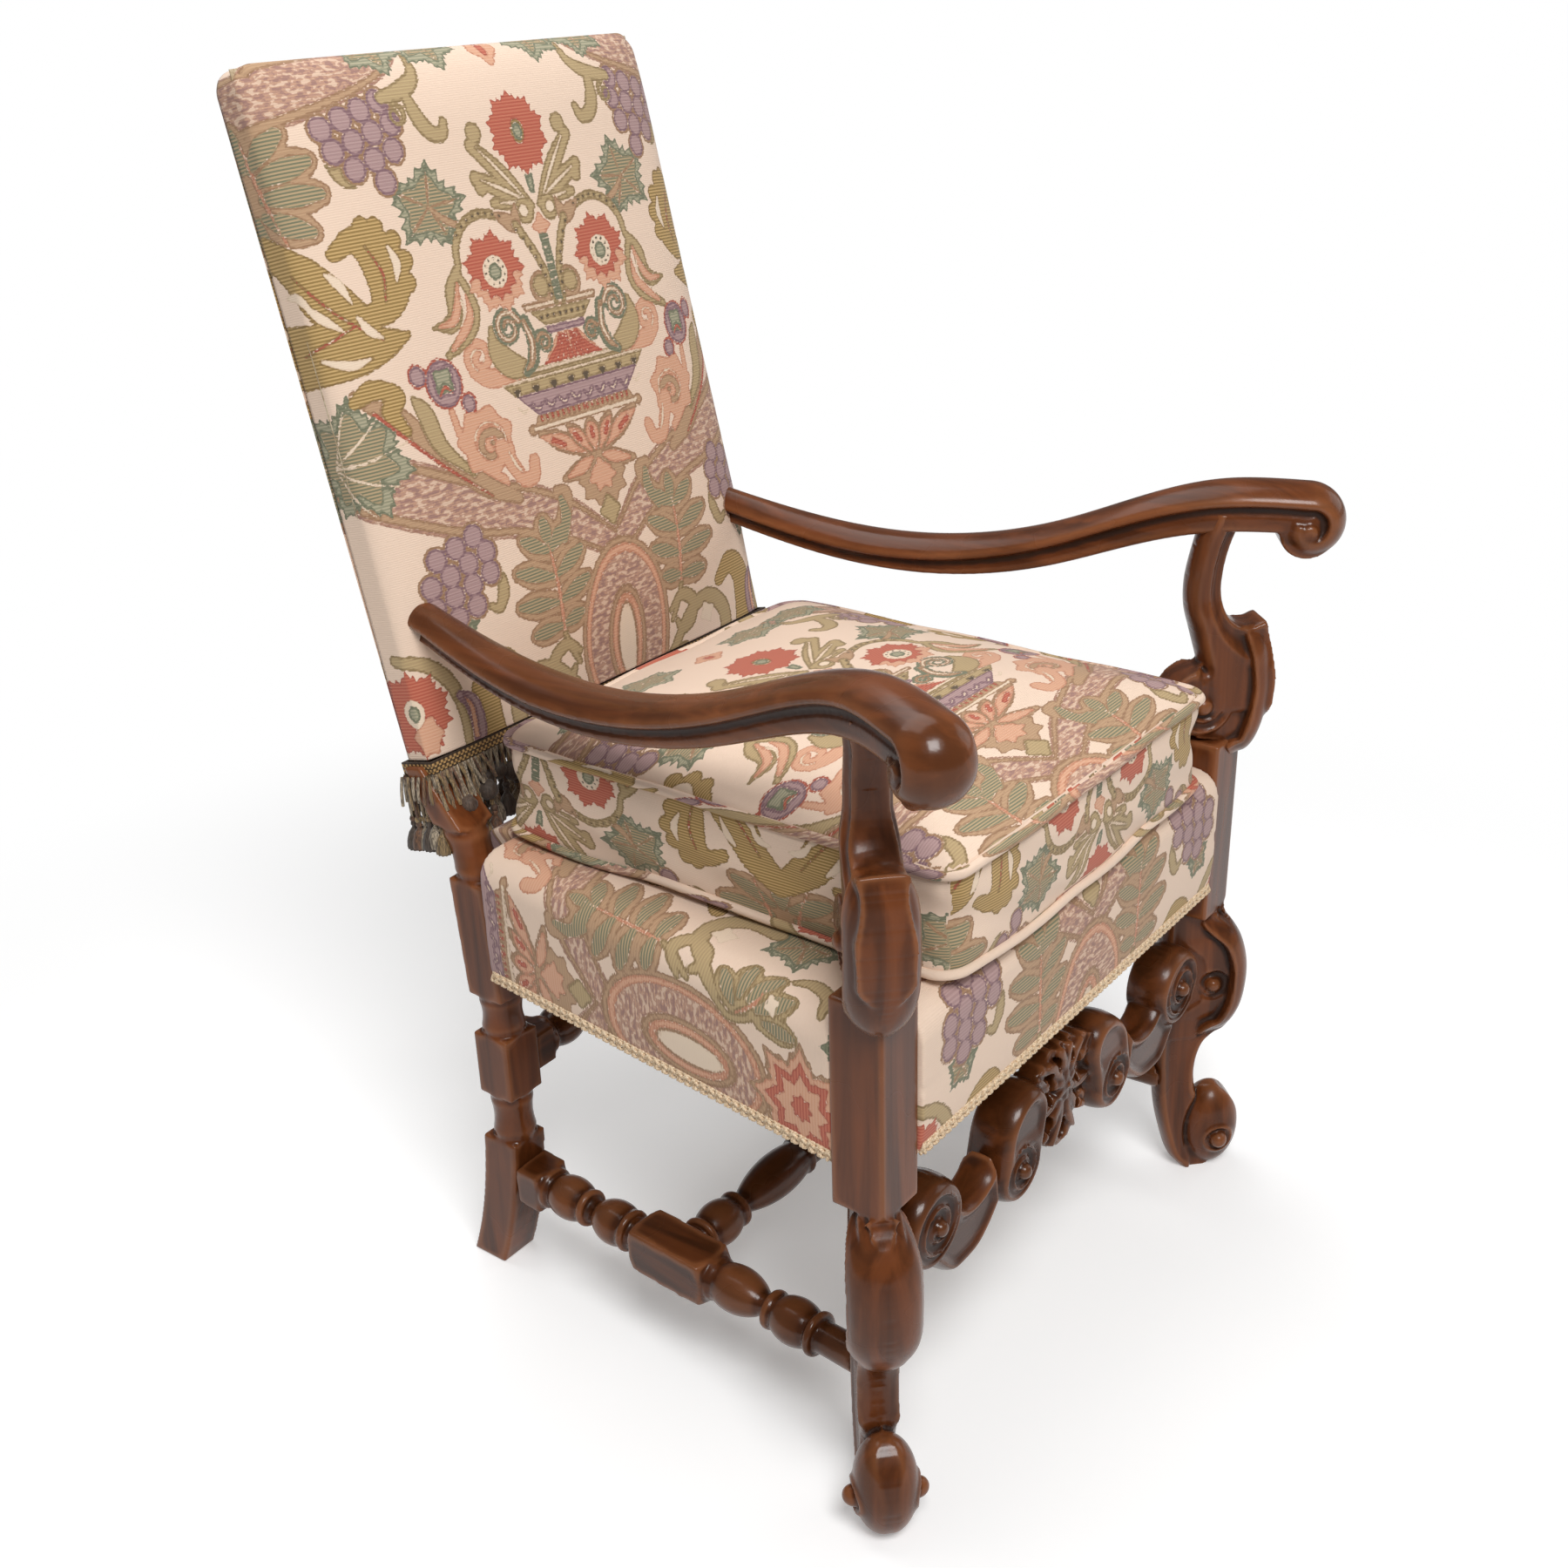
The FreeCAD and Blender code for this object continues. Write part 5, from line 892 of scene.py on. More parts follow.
def drawUrn(cloth):
    cloth.dot("tan", 18, 366, 15)
    cloth.dot("olive", 19, 367, 10)
    cloth.band("tan", 347, 46, 355, 49)
    cloth.band("light", 350, 44, 352.4, 46)
    cloth.band("olive", 333, 26, 347, 41)
    for k in range(4):
        cloth.dot("dark", 4 + 8 * k, 340.5, 1.6)
    cloth.band("mauve", 325, 25, 332, 25)
    cloth.band("salmon", 297, 42, 325, 13)
    for k in range(5):
        cloth.stroke("red", (2.4 + 2.4 * k, 323, 0.9), (2.6 + 3.8 * k, 312, 1.8), (3.2 + 8.4 * k, 298, 2.8))
    cloth.band("olive", 276, 80, 300, 104)
    cloth.band("light", 290, 94, 292, 96)
    cloth.band("light", 296, 99, 298.4, 101)
    for k in range(4):
        cloth.lobed("dark", 10 + 23 * k, 282, 4.5, 3, 0.4, -90)
    cloth.band("mauve", 258, 60, 279, 82)
    for k in range(5):
        cloth.stroke("light", (2 + 17 * k, 268, 0.5), (8 + 17 * k, 264, 1.3), (14 + 17 * k, 269, 1.3))
    cloth.band("tan", 244, 72, 259, 62)
    for k in range(9):
        cloth.stroke("red", (2 + 7 * k, 253.5, 1.3), (2 + 7 * k, 257.5, 1.3))
    cloth.dot("tan", 72, 247, 5.5)
    cloth.band("light", 245.8, 70, 249, 70)
    for x, tip, r in ((40, 64, 10), (18, 28, 9), (0, 0, 11)):
        cloth.stroke("tan", (x * 0.3, 212, 3), (x, 230, r), (tip, 242, 4))
        cloth.stroke("salmon", (x * 0.35, 215, 1.5), (x, 230, r - 3), (tip, 239, 1.5))
        cloth.stroke("red", (x * 0.96, 227, 2.6), (x * 0.8 + tip * 0.3, 234, 2.6))
    cloth.lobed("tan", 0, 186, 34, 9, 0.2, 90, 0.75)
    cloth.lobed("salmon", 0, 191, 20, 7, 0.3, 90, 0.8)
    cloth.stroke("tan", (4, 210, 4), (22, 202, 9.5), (48, 197, 4))
    cloth.stroke("salmon", (8, 208, 2), (22, 203, 6), (42, 198, 2))
    cloth.lobed("olive", 0, 157, 15, 4, 0.25, 90)
    # Handles: striped scrolls inside, a salmon one outside
    cloth.stroke("salmon", (122, 309, 6), (108, 301, 9), (88, 299, 8), (66, 297, 4))
    cloth.spiral("salmon", 111, 320, 15, 4, 1.4, -60, 5.5, 1)
    cloth.spiral("light", 112, 319, 11, 3, 1.0, -60, 0.9, 1)
    cloth.stroke("olive", (88, 338, 7), (89, 320, 12), (78, 307, 13), (60, 301, 8))
    cloth.spiral("green", 71, 338, 15, 5, 1.4, 165, 6.2, -1)
    cloth.stroke("green", (50, 341, 6), (46, 322, 7), (51, 306, 7), (62, 297, 4))
    cloth.spiral("green", 32, 319, 9, 3, 1.2, 20, 5, 1)
    cloth.spiral("tan", 71, 338, 15, 5, 1.4, 165, 3.6, -1)
    cloth.spiral("light", 71, 338, 15, 6, 1.2, 165, 1.1, -1)
    cloth.stroke("tan", (51, 341, 3.6), (47, 322, 4.2), (52, 306, 4.2), (61, 299, 1.8))
    cloth.stroke("light", (51, 338, 1), (47, 322, 1.4), (52, 307, 1))
    cloth.spiral("tan", 32, 319, 9, 3, 1.2, 20, 2.6, 1)


def drawScrolls(cloth):
    # Blue buds on salmon stalks, and the long leaves over the ribbons
    cloth.stroke("salmon", (120, 212, 7), (140, 230, 6), (153, 256, 4.5), (157, 286, 3.5))
    cloth.stroke("tan", (108, 195, 6), (140, 213, 10), (172, 243, 10), (200, 275, 11), (222, 298, 11), (243, 312, 7))
    cloth.stroke("olive", (150, 226, 3), (176, 256, 8), (184, 286, 9), (192, 300, 3))
    cloth.stroke("ochre", (206, 276, 5), (216, 294, 9), (206, 306, 8), (228, 315, 9), (246, 308, 6))
    cloth.stroke("red", (136, 203, 0.8), (176, 237, 1.5), (207, 268, 1.8), (232, 296, 1.8))
    for x, y, r in ((157, 306, 18), (182, 317, 8), (136, 285, 7)):
        cloth.dot("red", x, y, r + 2, 1.08)
        cloth.dot("mauve", x, y, r, 1.1)
    cloth.lobed("green", 157, 308, 13, 4, 0.25, 45, 1.1)
    cloth.stroke("red", (150, 297, 1.6), (157, 303, 2.2), (164, 297, 1.6))
    cloth.lobed("salmon", 127, 250, 34, 7, 0.17, 60, 0.95)
    cloth.spiral("tan", 124, 244, 16, 4, 1.2, 200, 5, -1)
    cloth.spiral("light", 126, 247, 23, 12, 0.7, 200, 0.8, -1)
    cloth.stroke("salmon", (112, 240, 9), (104, 222, 8), (96, 209, 7.5), (84, 209, 7.5), (79, 222, 6.5))
    cloth.stroke("light", (106, 236, 0.6), (101, 222, 1.6), (95, 214, 0.6))
    # Grapes with their tendrils
    cloth.stroke("olive", (208, 508, 3), (207, 492, 6), (197, 480, 6.5), (184, 480, 5))
    cloth.stroke("olive", (150, 141, 3), (150, 124, 7), (158, 109, 6), (168, 112, 4))
    cloth.bunch(176, 530, (4, 4, 3, 1), 10.6, -0.5)
    cloth.bunch(190, 170, (3, 4, 4, 2), 10.6, 0.1)
    # Scrolls of the upper edge
    cloth.stroke("olive", (92, 576, 3), (96, 557, 6), (112, 546, 8), (140, 540, 6))
    cloth.stroke("olive", (114, 544, 5), (110, 524, 8), (101, 509, 8), (88, 506, 6.5), (83, 515, 5))
    cloth.spiral("olive", 131, 525, 10, 3, 1.2, 90, 2.8, 1)
    for x in (64, 126):
        cloth.lobed("green", x, 586, 38, 6, 0.26, 80, 0.8, 30, 0.1)
        cloth.lobed("sprig", x, 588, 27, 6, 0.4, 80, 0.8)
        cloth.veins("tan", x, 588, 34, 6, 80, 1.6, 0.8)
    cloth.lobed("salmon", 0, 574, 17, 4, 0.3, 90)
    cloth.dot("red", 0, 574, 4, 1.6)
    # Scrolls of the lower edge, and the flame palmette below the almond
    cloth.stroke("olive", (66, 40, 4), (84, 51, 7), (101, 40, 8), (97, 22, 7), (82, 16, 6), (75, 27, 4))
    cloth.stroke("olive", (66, 0, 6), (96, 30, 8), (126, 38, 9), (150, 18, 10), (150, -12, 9))
    cloth.lobed("light", 122, 22, 12, 4, 0.35, 20)
    cloth.stroke("ochre", (146, 50, 8), (166, 62, 12), (186, 46, 16), (188, 14, 17), (176, -18, 10))
    for ink, r in (("tan", 60), ("salmon", 53), ("red", 42), ("salmon", 31), ("red", 13)):
        cloth.lobed(ink, 0, -86, r, 8, 0.26, -90, 0.9, 24, 0.08)


def weave(p, a):
    cloth = Cloth(p, a)
    for draw in (drawRibbons, drawLeaves, drawScrolls, drawUrn, drawFlowers):
        draw(cloth)
    return cloth.field

# Tapestry: the inks' colours, as screen values, with the dark edge, its width in mm, the weft lines and their strength
tapestry = {"ground": (232, 207, 186), "jitter": 2.0, "lines": 2.9, "ribs": 1.9,
            "ribbon": ((190, 150, 126), (158, 118, 98), 1.2, (170, 132, 118), 0.6),
            "tan": ((186, 152, 120), (150, 116, 88), 1.8, (168, 134, 104), 0.5),
            "olive": ((174, 150, 112), (138, 116, 82), 2.2, (190, 166, 124), 0.7),
            "ochre": ((148, 122, 74), (132, 106, 66), 1.8, (202, 168, 114), 0.9),
            "salmon": ((210, 158, 128), (186, 126, 98), 1.4, (218, 174, 146), 0.6),
            "red": ((178, 92, 74), (158, 78, 64), 1.0, (202, 126, 100), 0.65),
            "light": ((230, 208, 184), (208, 182, 154), 0.6, (230, 208, 184), 0.0),
            "green": ((172, 164, 138), (112, 114, 92), 2.6, (126, 130, 106), 0.65),
            "sprig": ((180, 156, 122), (158, 140, 108), 0.8, (104, 114, 92), 0.85),
            "mauve": ((166, 136, 134), (126, 96, 102), 2.2, (184, 154, 150), 0.65),
            "dark": ((96, 82, 66), (96, 82, 66), 0.5, (96, 82, 66), 0.0)}


def screen(colour):
    return tuple(c / 255 / 12.92 if c <= 10 else ((c / 255 + 0.055) / 1.055) ** 2.4 for c in colour)


def tapestryMaterial(name):
    mat, nodes, links, bsdf = newMaterial(name)
    across, along = readAttribute(nodes, "clothAcross"), readAttribute(nodes, "clothAlong")
    weft = maths(nodes, links, 'FLOOR', maths(nodes, links, 'DIVIDE', along, 1.25))
    row = addNode(nodes, 'ShaderNodeCombineXYZ')
    links.new(maths(nodes, links, 'MULTIPLY', across, 0.2), row.inputs[0])
    links.new(maths(nodes, links, 'MULTIPLY', weft, 7.3), row.inputs[1])
    ragged = addNode(nodes, 'ShaderNodeTexNoise')
    ragged.inputs['Scale'].default_value = 1
    ragged.inputs['Detail'].default_value = 1
    links.new(row.outputs[0], ragged.inputs['Vector'])
    jitter = maths(nodes, links, 'MULTIPLY', maths(nodes, links, 'SUBTRACT', ragged.outputs['Fac'], 0.5),
                   tapestry["jitter"] * 2)
    wave = maths(nodes, links, 'SINE', maths(nodes, links, 'MULTIPLY', along, 2 * math.pi / tapestry["lines"]))
    lines = rampNode(nodes, links, wave, -0.25, 0.35)
    fleckPlace = addNode(nodes, 'ShaderNodeCombineXYZ')
    links.new(maths(nodes, links, 'MULTIPLY', across, 0.075), fleckPlace.inputs[0])
    links.new(maths(nodes, links, 'MULTIPLY', along, 0.16), fleckPlace.inputs[1])
    fleck = addNode(nodes, 'ShaderNodeTexNoise')
    fleck.inputs['Scale'].default_value = 1.6
    fleck.inputs['Detail'].default_value = 2
    links.new(fleckPlace.outputs[0], fleck.inputs['Vector'])
    colour = mixColour(nodes, links, maths(nodes, links, 'MULTIPLY', ragged.outputs['Fac'], 0.25),
                       screen(tapestry["ground"]), screen((222, 190, 166)))
    for ink in Cloth.inks:
        fill, edge, width, line, strength = tapestry[ink]
        depth = maths(nodes, links, 'ADD', readAttribute(nodes, "ink_" + ink), jitter)
        body = mixColour(nodes, links, maths(nodes, links, 'MULTIPLY', lines, strength), screen(fill), screen(line))
        if ink == "ribbon":
            body = mixColour(nodes, links, rampNode(nodes, links, fleck.outputs['Fac'], 0.53, 0.58, 0, 0.75), body,
                             screen((222, 194, 170)))
            body = mixColour(nodes, links, rampNode(nodes, links, fleck.outputs['Fac'], 0.46, 0.41, 0, 0.6), body,
                             screen((140, 106, 104)))
        rim = rampNode(nodes, links, depth, -width - 0.5, -width + 0.5, 0, 1)
        rim = maths(nodes, links, 'MULTIPLY', rim,
                    maths(nodes, links, 'SUBTRACT', 1.0, maths(nodes, links, 'MULTIPLY', lines, 0.35)))
        body = mixColour(nodes, links, rim, body, screen(edge))
        colour = mixColour(nodes, links, rampNode(nodes, links, depth, -0.4, 0.4, 1, 0), colour, body)
    links.new(colour, bsdf.inputs['Base Color'])
    bsdf.inputs['Roughness'].default_value = 0.86
    bsdf.inputs['Specular IOR Level'].default_value = 0.25
    bsdf.inputs['Sheen Weight'].default_value = 0.12
    rib = maths(nodes, links, 'SINE', maths(nodes, links, 'MULTIPLY', along, 2 * math.pi / tapestry["ribs"]))
    height = maths(nodes, links, 'ADD', maths(nodes, links, 'MULTIPLY', rib, 0.3), ragged.outputs['Fac'])
    bump = addNode(nodes, 'ShaderNodeBump')
    bump.inputs['Strength'].default_value = 0.35
    bump.inputs['Distance'].default_value = 0.0006
    links.new(height, bump.inputs['Height'])
    links.new(bump.outputs['Normal'], bsdf.inputs['Normal'])
    return mat


tapestryCloth = tapestryMaterial("tapestryCloth")


def printCloth(obj, across, along):
    store(obj, "clothAcross", across)
    store(obj, "clothAlong", along)
    for ink, field in weave(across, along).items():
        store(obj, "ink_" + ink, np.clip(field, -30, 30))
    obj.data.materials.clear()
    obj.data.materials.append(tapestryCloth)


# Upholstered back: a rolled crown on a leaning frame, drawn in the back's own plane
backPad = {"half": 0.237, "length": 0.580, "crown": 0.034, "edge": 0.003, "low": (0.218, 0.530), "lean": 13.4,
           "weave": 0.0016, "axis": 0.022, "corner": 0.02}


def leaned(points):
    lean = math.radians(backPad["lean"])
    y = backPad["low"][0] + points[:, 2] * math.sin(lean) + points[:, 1] * math.cos(lean)
    z = backPad["low"][1] + points[:, 2] * math.cos(lean) - points[:, 1] * math.sin(lean)
    return np.column_stack((points[:, 0], y, z))


# The upper corners of the back are rounded, where a square would come to a point
def roundCorners(x, a):
    half, tall, r = backPad["half"], backPad["length"], backPad["corner"]
    cx, cz = np.clip(abs(x) - half + r, 0, None), np.clip(a - tall + r, 0, None)
    share = np.maximum(cx, cz) / np.maximum(np.hypot(cx, cz), 1e-9)
    inside = (cx > 0) & (cz > 0)
    return (np.where(inside, np.sign(x) * (half - r + cx * share), x), np.where(inside, tall - r + cz * share, a))


def backFront(x, a):
    share = abs(x) / backPad["half"]
    bow = 0.75 * np.sqrt(np.clip(1 - share ** 6, 0, 1)) + 0.25 * (1 - share ** 2)
    top = np.sqrt(1 - (1 - np.clip((backPad["length"] - a) / 0.075, 0, 1)) ** 2)
    foot = 0.2 + 0.8 * ramp(-0.03, 0.13, a)
    fullness = top * foot * (0.9 + 0.1 * (1 - (2 * a / backPad["length"] - 1) ** 2))
    return backPad["edge"] - (backPad["crown"] * fullness + backPad["edge"]) * bow


# Even steps along a bowed line, so that its steep ends are not stretched
def evenSteps(start, end, profile, count):
    fine = np.linspace(start, end, 6000)
    length = np.concatenate(((0,), np.cumsum(np.hypot(np.diff(fine), np.diff(profile(fine))))))
    return np.interp(np.linspace(0, length[-1], count), length, fine)


def newGrid(label, wide, tall):
    bpy.ops.object.select_all(action='DESELECT')
    bpy.ops.mesh.primitive_grid_add(x_subdivisions=wide - 1, y_subdivisions=tall - 1, size=2)
    obj = bpy.context.active_object
    obj.name = label
    return obj


def makeBack():
    step = backPad["weave"] * 1
    half, tall = backPad["half"], backPad["length"]
    wide, high = int(2 * half / step) + 1, int(tall / step) + 1
    obj = newGrid("dressed_back", wide, high)
    flat = pointsOf(obj)
    xs = evenSteps(-half, half, lambda x: backFront(x, np.full_like(x, tall / 2)), wide)
    rows = evenSteps(0, tall, lambda a: backFront(np.zeros_like(a), a), high)
    x = np.interp(flat[:, 0], np.linspace(-1, 1, wide), xs)
    a = np.interp(flat[:, 1], np.linspace(-1, 1, high), rows)
    setPoints(obj, np.column_stack((x, backFront(x, a), a)))
    # The cover turns over the edges and is drawn to the rear
    pick(obj)
    bpy.ops.object.mode_set(mode='EDIT')
    bpy.ops.mesh.select_mode(type='EDGE')
    bpy.ops.mesh.select_all(action='DESELECT')
    bpy.ops.mesh.select_non_manifold()
    for move in (0.003,) * 8 + (0.0015,):
        bpy.ops.mesh.extrude_region_move(TRANSFORM_OT_translate={"value": (0, move, 0)})
    bpy.ops.transform.resize(value=(0.97, 1, 0.97), center_override=(0, 0, tall / 2))
    bpy.ops.mesh.select_all(action='SELECT')
    bpy.ops.mesh.normals_make_consistent(inside=False)
    bpy.ops.object.mode_set(mode='OBJECT')
    points = pointsOf(obj)
    x, n, a = points.T
    wall = np.clip(n - backPad["edge"], 0, None)
    atSide = (abs(x) > half - 0.0008) & (n > backPad["edge"] - 1e-4)
    atTop = (a > tall - 0.0008) & (n > backPad["edge"] - 1e-4)
    arc = np.concatenate(((0,), np.cumsum(np.hypot(np.diff(xs), np.diff(backFront(xs, np.full_like(xs, tall / 2)))))))
    run = np.interp(x, xs, arc - arc[-1] / 2)
    reach = np.sign(x) * np.maximum(abs(run) - np.interp(0.2, xs, arc - arc[-1] / 2) + 0.2, 0)
    across = np.where(abs(x) < 0.2, x, reach)
    across = np.where(atSide, across + np.sign(x) * wall, across)
    along = np.where(atTop, a + wall, a)
    # The sides are drawn in a little between the corners
    bow = 0.0025 * np.sin(np.pi * np.clip(a / tall, 0, 1)) * ramp(0.7, 1.0, abs(x) / half)
    points[:, 0] -= np.sign(x) * bow
    points[:, 0], points[:, 2] = roundCorners(points[:, 0], points[:, 2])
    setPoints(obj, leaned(points))
    printCloth(obj, across * 1000 - backPad["axis"] * 1000, along * 1000)
    bpy.ops.object.shade_smooth()
    return finish(obj, "chair_frame", "tapestry", "back_cover")


makeBack()


# Outer cover on the rear of the back, a flat panel with a soft edge
outerPanel = {"inset": 0.0012, "weave": 0.003, "swell": 0.0022, "plane": 0.0288}


def makeOuterCover():
    half, tall = backPad["half"] - outerPanel["inset"], backPad["length"] - 2 * outerPanel["inset"]
    step = outerPanel["weave"] * 1
    obj = newGrid("dressed_outer_back", int(2 * half / step) + 1, int(tall / step) + 1)
    flat = pointsOf(obj)
    edge = np.minimum((1 - abs(flat[:, 0])) * half, (1 - abs(flat[:, 1])) * tall / 2)
    x, a = flat[:, 0] * half, (flat[:, 1] + 1) * tall / 2 + outerPanel["inset"]
    n = outerPanel["plane"] + outerPanel["swell"] * np.sqrt(np.clip(edge / 0.012, 0, 1))
    roundX, roundA = roundCorners(x, a)
    setPoints(obj, leaned(np.column_stack((roundX, n, roundA))))
    pick(obj)
    bpy.ops.object.mode_set(mode='EDIT')
    bpy.ops.mesh.select_all(action='SELECT')
    bpy.ops.mesh.flip_normals()
    bpy.ops.object.mode_set(mode='OBJECT')
    bpy.ops.object.shade_smooth()
    printCloth(obj, -x * 1000 + 12, a * 1000)
    return finish(obj, "chair_frame", "tapestry", "back_outer_cover")


makeOuterCover()
print("back covered")

# Stuffed seat: rounded along its upper edge, cut round the posts, in one cover with an open underside
seatPad = {"front": -0.305, "rear": 0.196, "side": 0.2984, "sideAt": -0.253, "taper": 0.1095, "low": 0.338,
           "top": 0.4626, "bulge": 0.005, "round": 0.026, "weave": 0.0024,
           "frontPost": (-0.300, -0.301, 0.048), "rearPost": (-0.246, 0.151, 0.041)}


def seatSide(y):
    return seatPad["side"] - seatPad["taper"] * (y - seatPad["sideAt"])


def newCube(label):
    bpy.ops.object.select_all(action='DESELECT')
    bpy.ops.mesh.primitive_cube_add(size=2)
    obj = bpy.context.active_object
    obj.name = label
    return obj


def cutBox(obj, low, high):
    tool = newCube("cutter")
    points = pointsOf(tool)
    setPoints(tool, np.where(points > 0, np.maximum(low, high), np.minimum(low, high)))
    cut = obj.modifiers.new("cut", 'BOOLEAN')
    cut.operation, cut.object, cut.solver = 'DIFFERENCE', tool, 'EXACT'
    applyAll(obj)
    bpy.data.objects.remove(tool)


def makeSeat():
    obj = newCube("dressed_seat")
    bpy.ops.object.mode_set(mode='EDIT')
    bpy.ops.mesh.subdivide(number_cuts=47)
    bpy.ops.object.mode_set(mode='OBJECT')
    u, v, w = pointsOf(obj).T
    z = seatPad["low"] + (w + 1) / 2 * (seatPad["top"] - seatPad["low"])
    rise = np.clip((z - seatPad["low"]) / (seatPad["top"] - seatPad["low"]), 0, 1)
    over = np.clip(z - seatPad["top"] + seatPad["round"], 0, seatPad["round"])
    inset = seatPad["bulge"] * (1 - np.sin(np.pi * np.clip(rise / 0.8, 0, 1) ** 0.8) ** 0.7) * (rise < 0.5)
    inset = inset + seatPad["round"] - np.sqrt(seatPad["round"] ** 2 - over ** 2)
    middle, deep = (seatPad["front"] + seatPad["rear"]) / 2, (seatPad["rear"] - seatPad["front"]) / 2
    y = middle + v * (deep - inset)
    x = u * (seatSide(y) - inset)
    setPoints(obj, np.column_stack((x, y, z)))
    for side in (-1, 1):
        for corner, outward in (("frontPost", -1), ("rearPost", 1)):
            px, py, square = seatPad[corner]
            inner = px + square - 0.0006
            near, far = (py + square - 0.0006, py - 0.1) if outward < 0 else (py + 0.0006, py + square + 0.1)
            cutBox(obj, np.array((-side * inner, near, 0.2)), np.array((-side * (px - 0.1), far, 0.7)))
    remesh(obj, seatPad["weave"] * (1), 5)
    pick(obj)
    bpy.ops.object.mode_set(mode='EDIT')
    bpy.ops.mesh.select_mode(type='FACE')
    bpy.ops.mesh.select_all(action='DESELECT')
    bpy.ops.object.mode_set(mode='OBJECT')
    for face in obj.data.polygons:
        face.select = face.normal.z < -0.8 and face.center.z < seatPad["low"] + 0.004
    bpy.ops.object.mode_set(mode='EDIT')
    bpy.ops.mesh.delete(type='FACE')
    bpy.ops.object.mode_set(mode='OBJECT')
    x, y, z = pointsOf(obj).T * 1000
    edge = seatSide(y / 1000) * 1000
    gaps = np.stack((edge + x, edge - x, y - seatPad["front"] * 1000, seatPad["rear"] * 1000 - y))
    panel = np.argmin(gaps, 0)
    up = z - seatPad["low"] * 1000 + np.clip(gaps.min(0) - 8, 0, None)
    back = 206 - (y + 54.25)
    across = np.select((panel < 2, panel == 2), (up - 36, x - 8), -x)
    along = np.where(panel < 2, 128 - (back - 155) * 0.97, up + 48)
    printCloth(obj, across, along)
    return finish(obj, "chair_frame", "tapestry", "seat_cover")


makeSeat()
print("seat covered")

# Loose cushion, swollen by simulation between its two piped seams
cushion = {"voxel": 0.004, "pressure": 4.0, "frames": 20, "cap": 0.012, "seams": (0.557, 0.469), "rest": 0.4634,
           "cover": 0.0021, "middle": -0.074, "half": 0.213, "deep": 0.231, "turns": 360, "standOff": 0.0022,
           "fillingVoxel": 0.008, "fillingInset": 0.004, "pipingVoxel": 0.0016, "crease": 0.0011}


# The front of the cushion settles over the rounded edge of the seat
def settle(points):
    x, y, z = points.T
    front = ramp(-0.2, -0.31, y)
    lower = ramp(0.57, 0.47, z)
    sag = front * (0.35 + 0.65 * lower) * (0.0045 + 0.003 * np.cos(x * 15 + 0.5))
    side = ramp(0.12, 0.21, abs(x)) * lower * 0.002 * np.sin(y * 26)
    return np.column_stack((x, y, z - sag - side))


def swell(obj):
    start = pointsOf(obj)
    out = np.maximum(abs(start[:, 0]) - cushion["half"], abs(start[:, 1] - cushion["middle"]) - cushion["deep"])
    held = (out > -0.009) & (np.min([abs(start[:, 2] - seam) for seam in cushion["seams"]], 0) < 0.0035)
    group = obj.vertex_groups.new(name="seams")
    group.add([int(k) for k in np.nonzero(held)[0]], 1.0, 'REPLACE')
    cloth = obj.modifiers.new("swell", 'CLOTH')
    cloth.settings.use_pressure = True
    cloth.settings.uniform_pressure_force = cushion["pressure"]
    cloth.settings.vertex_group_mass = "seams"
    cloth.settings.effector_weights.gravity = 0
    cloth.settings.quality = 5
    cloth.settings.tension_stiffness = 12
    cloth.settings.compression_stiffness = 12
    cloth.settings.bending_stiffness = 0.4
    cloth.collision_settings.use_collision = False
    cloth.point_cache.frame_start, cloth.point_cache.frame_end = 1, cushion["frames"]
    for step in range(1, cushion["frames"] + 1):
        bpy.context.scene.frame_set(step)
    pick(obj)
    bpy.ops.object.modifier_apply(modifier=cloth.name)
    bpy.context.scene.frame_set(1)
    obj.vertex_groups.clear()
    move = pointsOf(obj) - start
    length = np.linalg.norm(move, axis=1)
    move *= (np.minimum(length, cushion["cap"]) / np.maximum(length, 1e-9))[:, None]
    print("cushion swelled by up to", round(float(length.max()) * 1000, 1), "mm")
    setPoints(obj, start + move)


def makeCushion():
    obj = copyNode("cushion_filling", "dressed_cushion")
    remesh(obj, cushion["voxel"], 2)
    setPoints(obj, pointsOf(obj) + normalsOf(obj) * cushion["cover"])
    swell(obj)
    fine = obj.modifiers.new("fine", 'SUBSURF')
    fine.levels = fine.render_levels = 1
    applyAll(obj)
    points = settle(pointsOf(obj))
    normals = normalsOf(obj)
    # Slack creases run in from the corners of the boxing
    out = np.maximum(abs(points[:, 0]) - 0.19, abs(points[:, 1] - cushion["middle"]) - 0.208)
    crease = cushion["crease"] * np.sin(points[:, 2] * 150 + points[:, 0] * 45
                                        - points[:, 1] * 40) * ramp(0, 0.012, out)
    points += normals * crease[:, None]
    points[:, 2] = np.maximum(points[:, 2], cushion["rest"] - 0.008 * ramp(-0.27, -0.31, points[:, 1]))
    setPoints(obj, points)
    obj.data.update()
    x, y, z = points.T * 1000
    normals = normalsOf(obj)
    seatY = y + 54.25
    boxing = (abs(z - 513) < 44) & (abs(normals[:, 2]) < 0.8)
    atFront = (normals[:, 1] < -abs(normals[:, 0])) | (normals[:, 1] > abs(normals[:, 0]))
    side = 68 + (205 - seatY - 100) / 0.9
    across = np.where(boxing, np.where(atFront, (x - 9) / 0.82, side), (x + 9) / 1.15)
    along = np.where(boxing, np.where(normals[:, 1] > abs(normals[:, 0]), 190, 389)
                     + np.where(atFront, (553 - z) * 1.2, (546 - z) * 1.25), 503 + (seatY - 81) / 0.82)
    printCloth(obj, across, along)
    return finish(obj, "seat_cushion", "tapestry", "cushion_cover")


cushionCover = makeCushion()


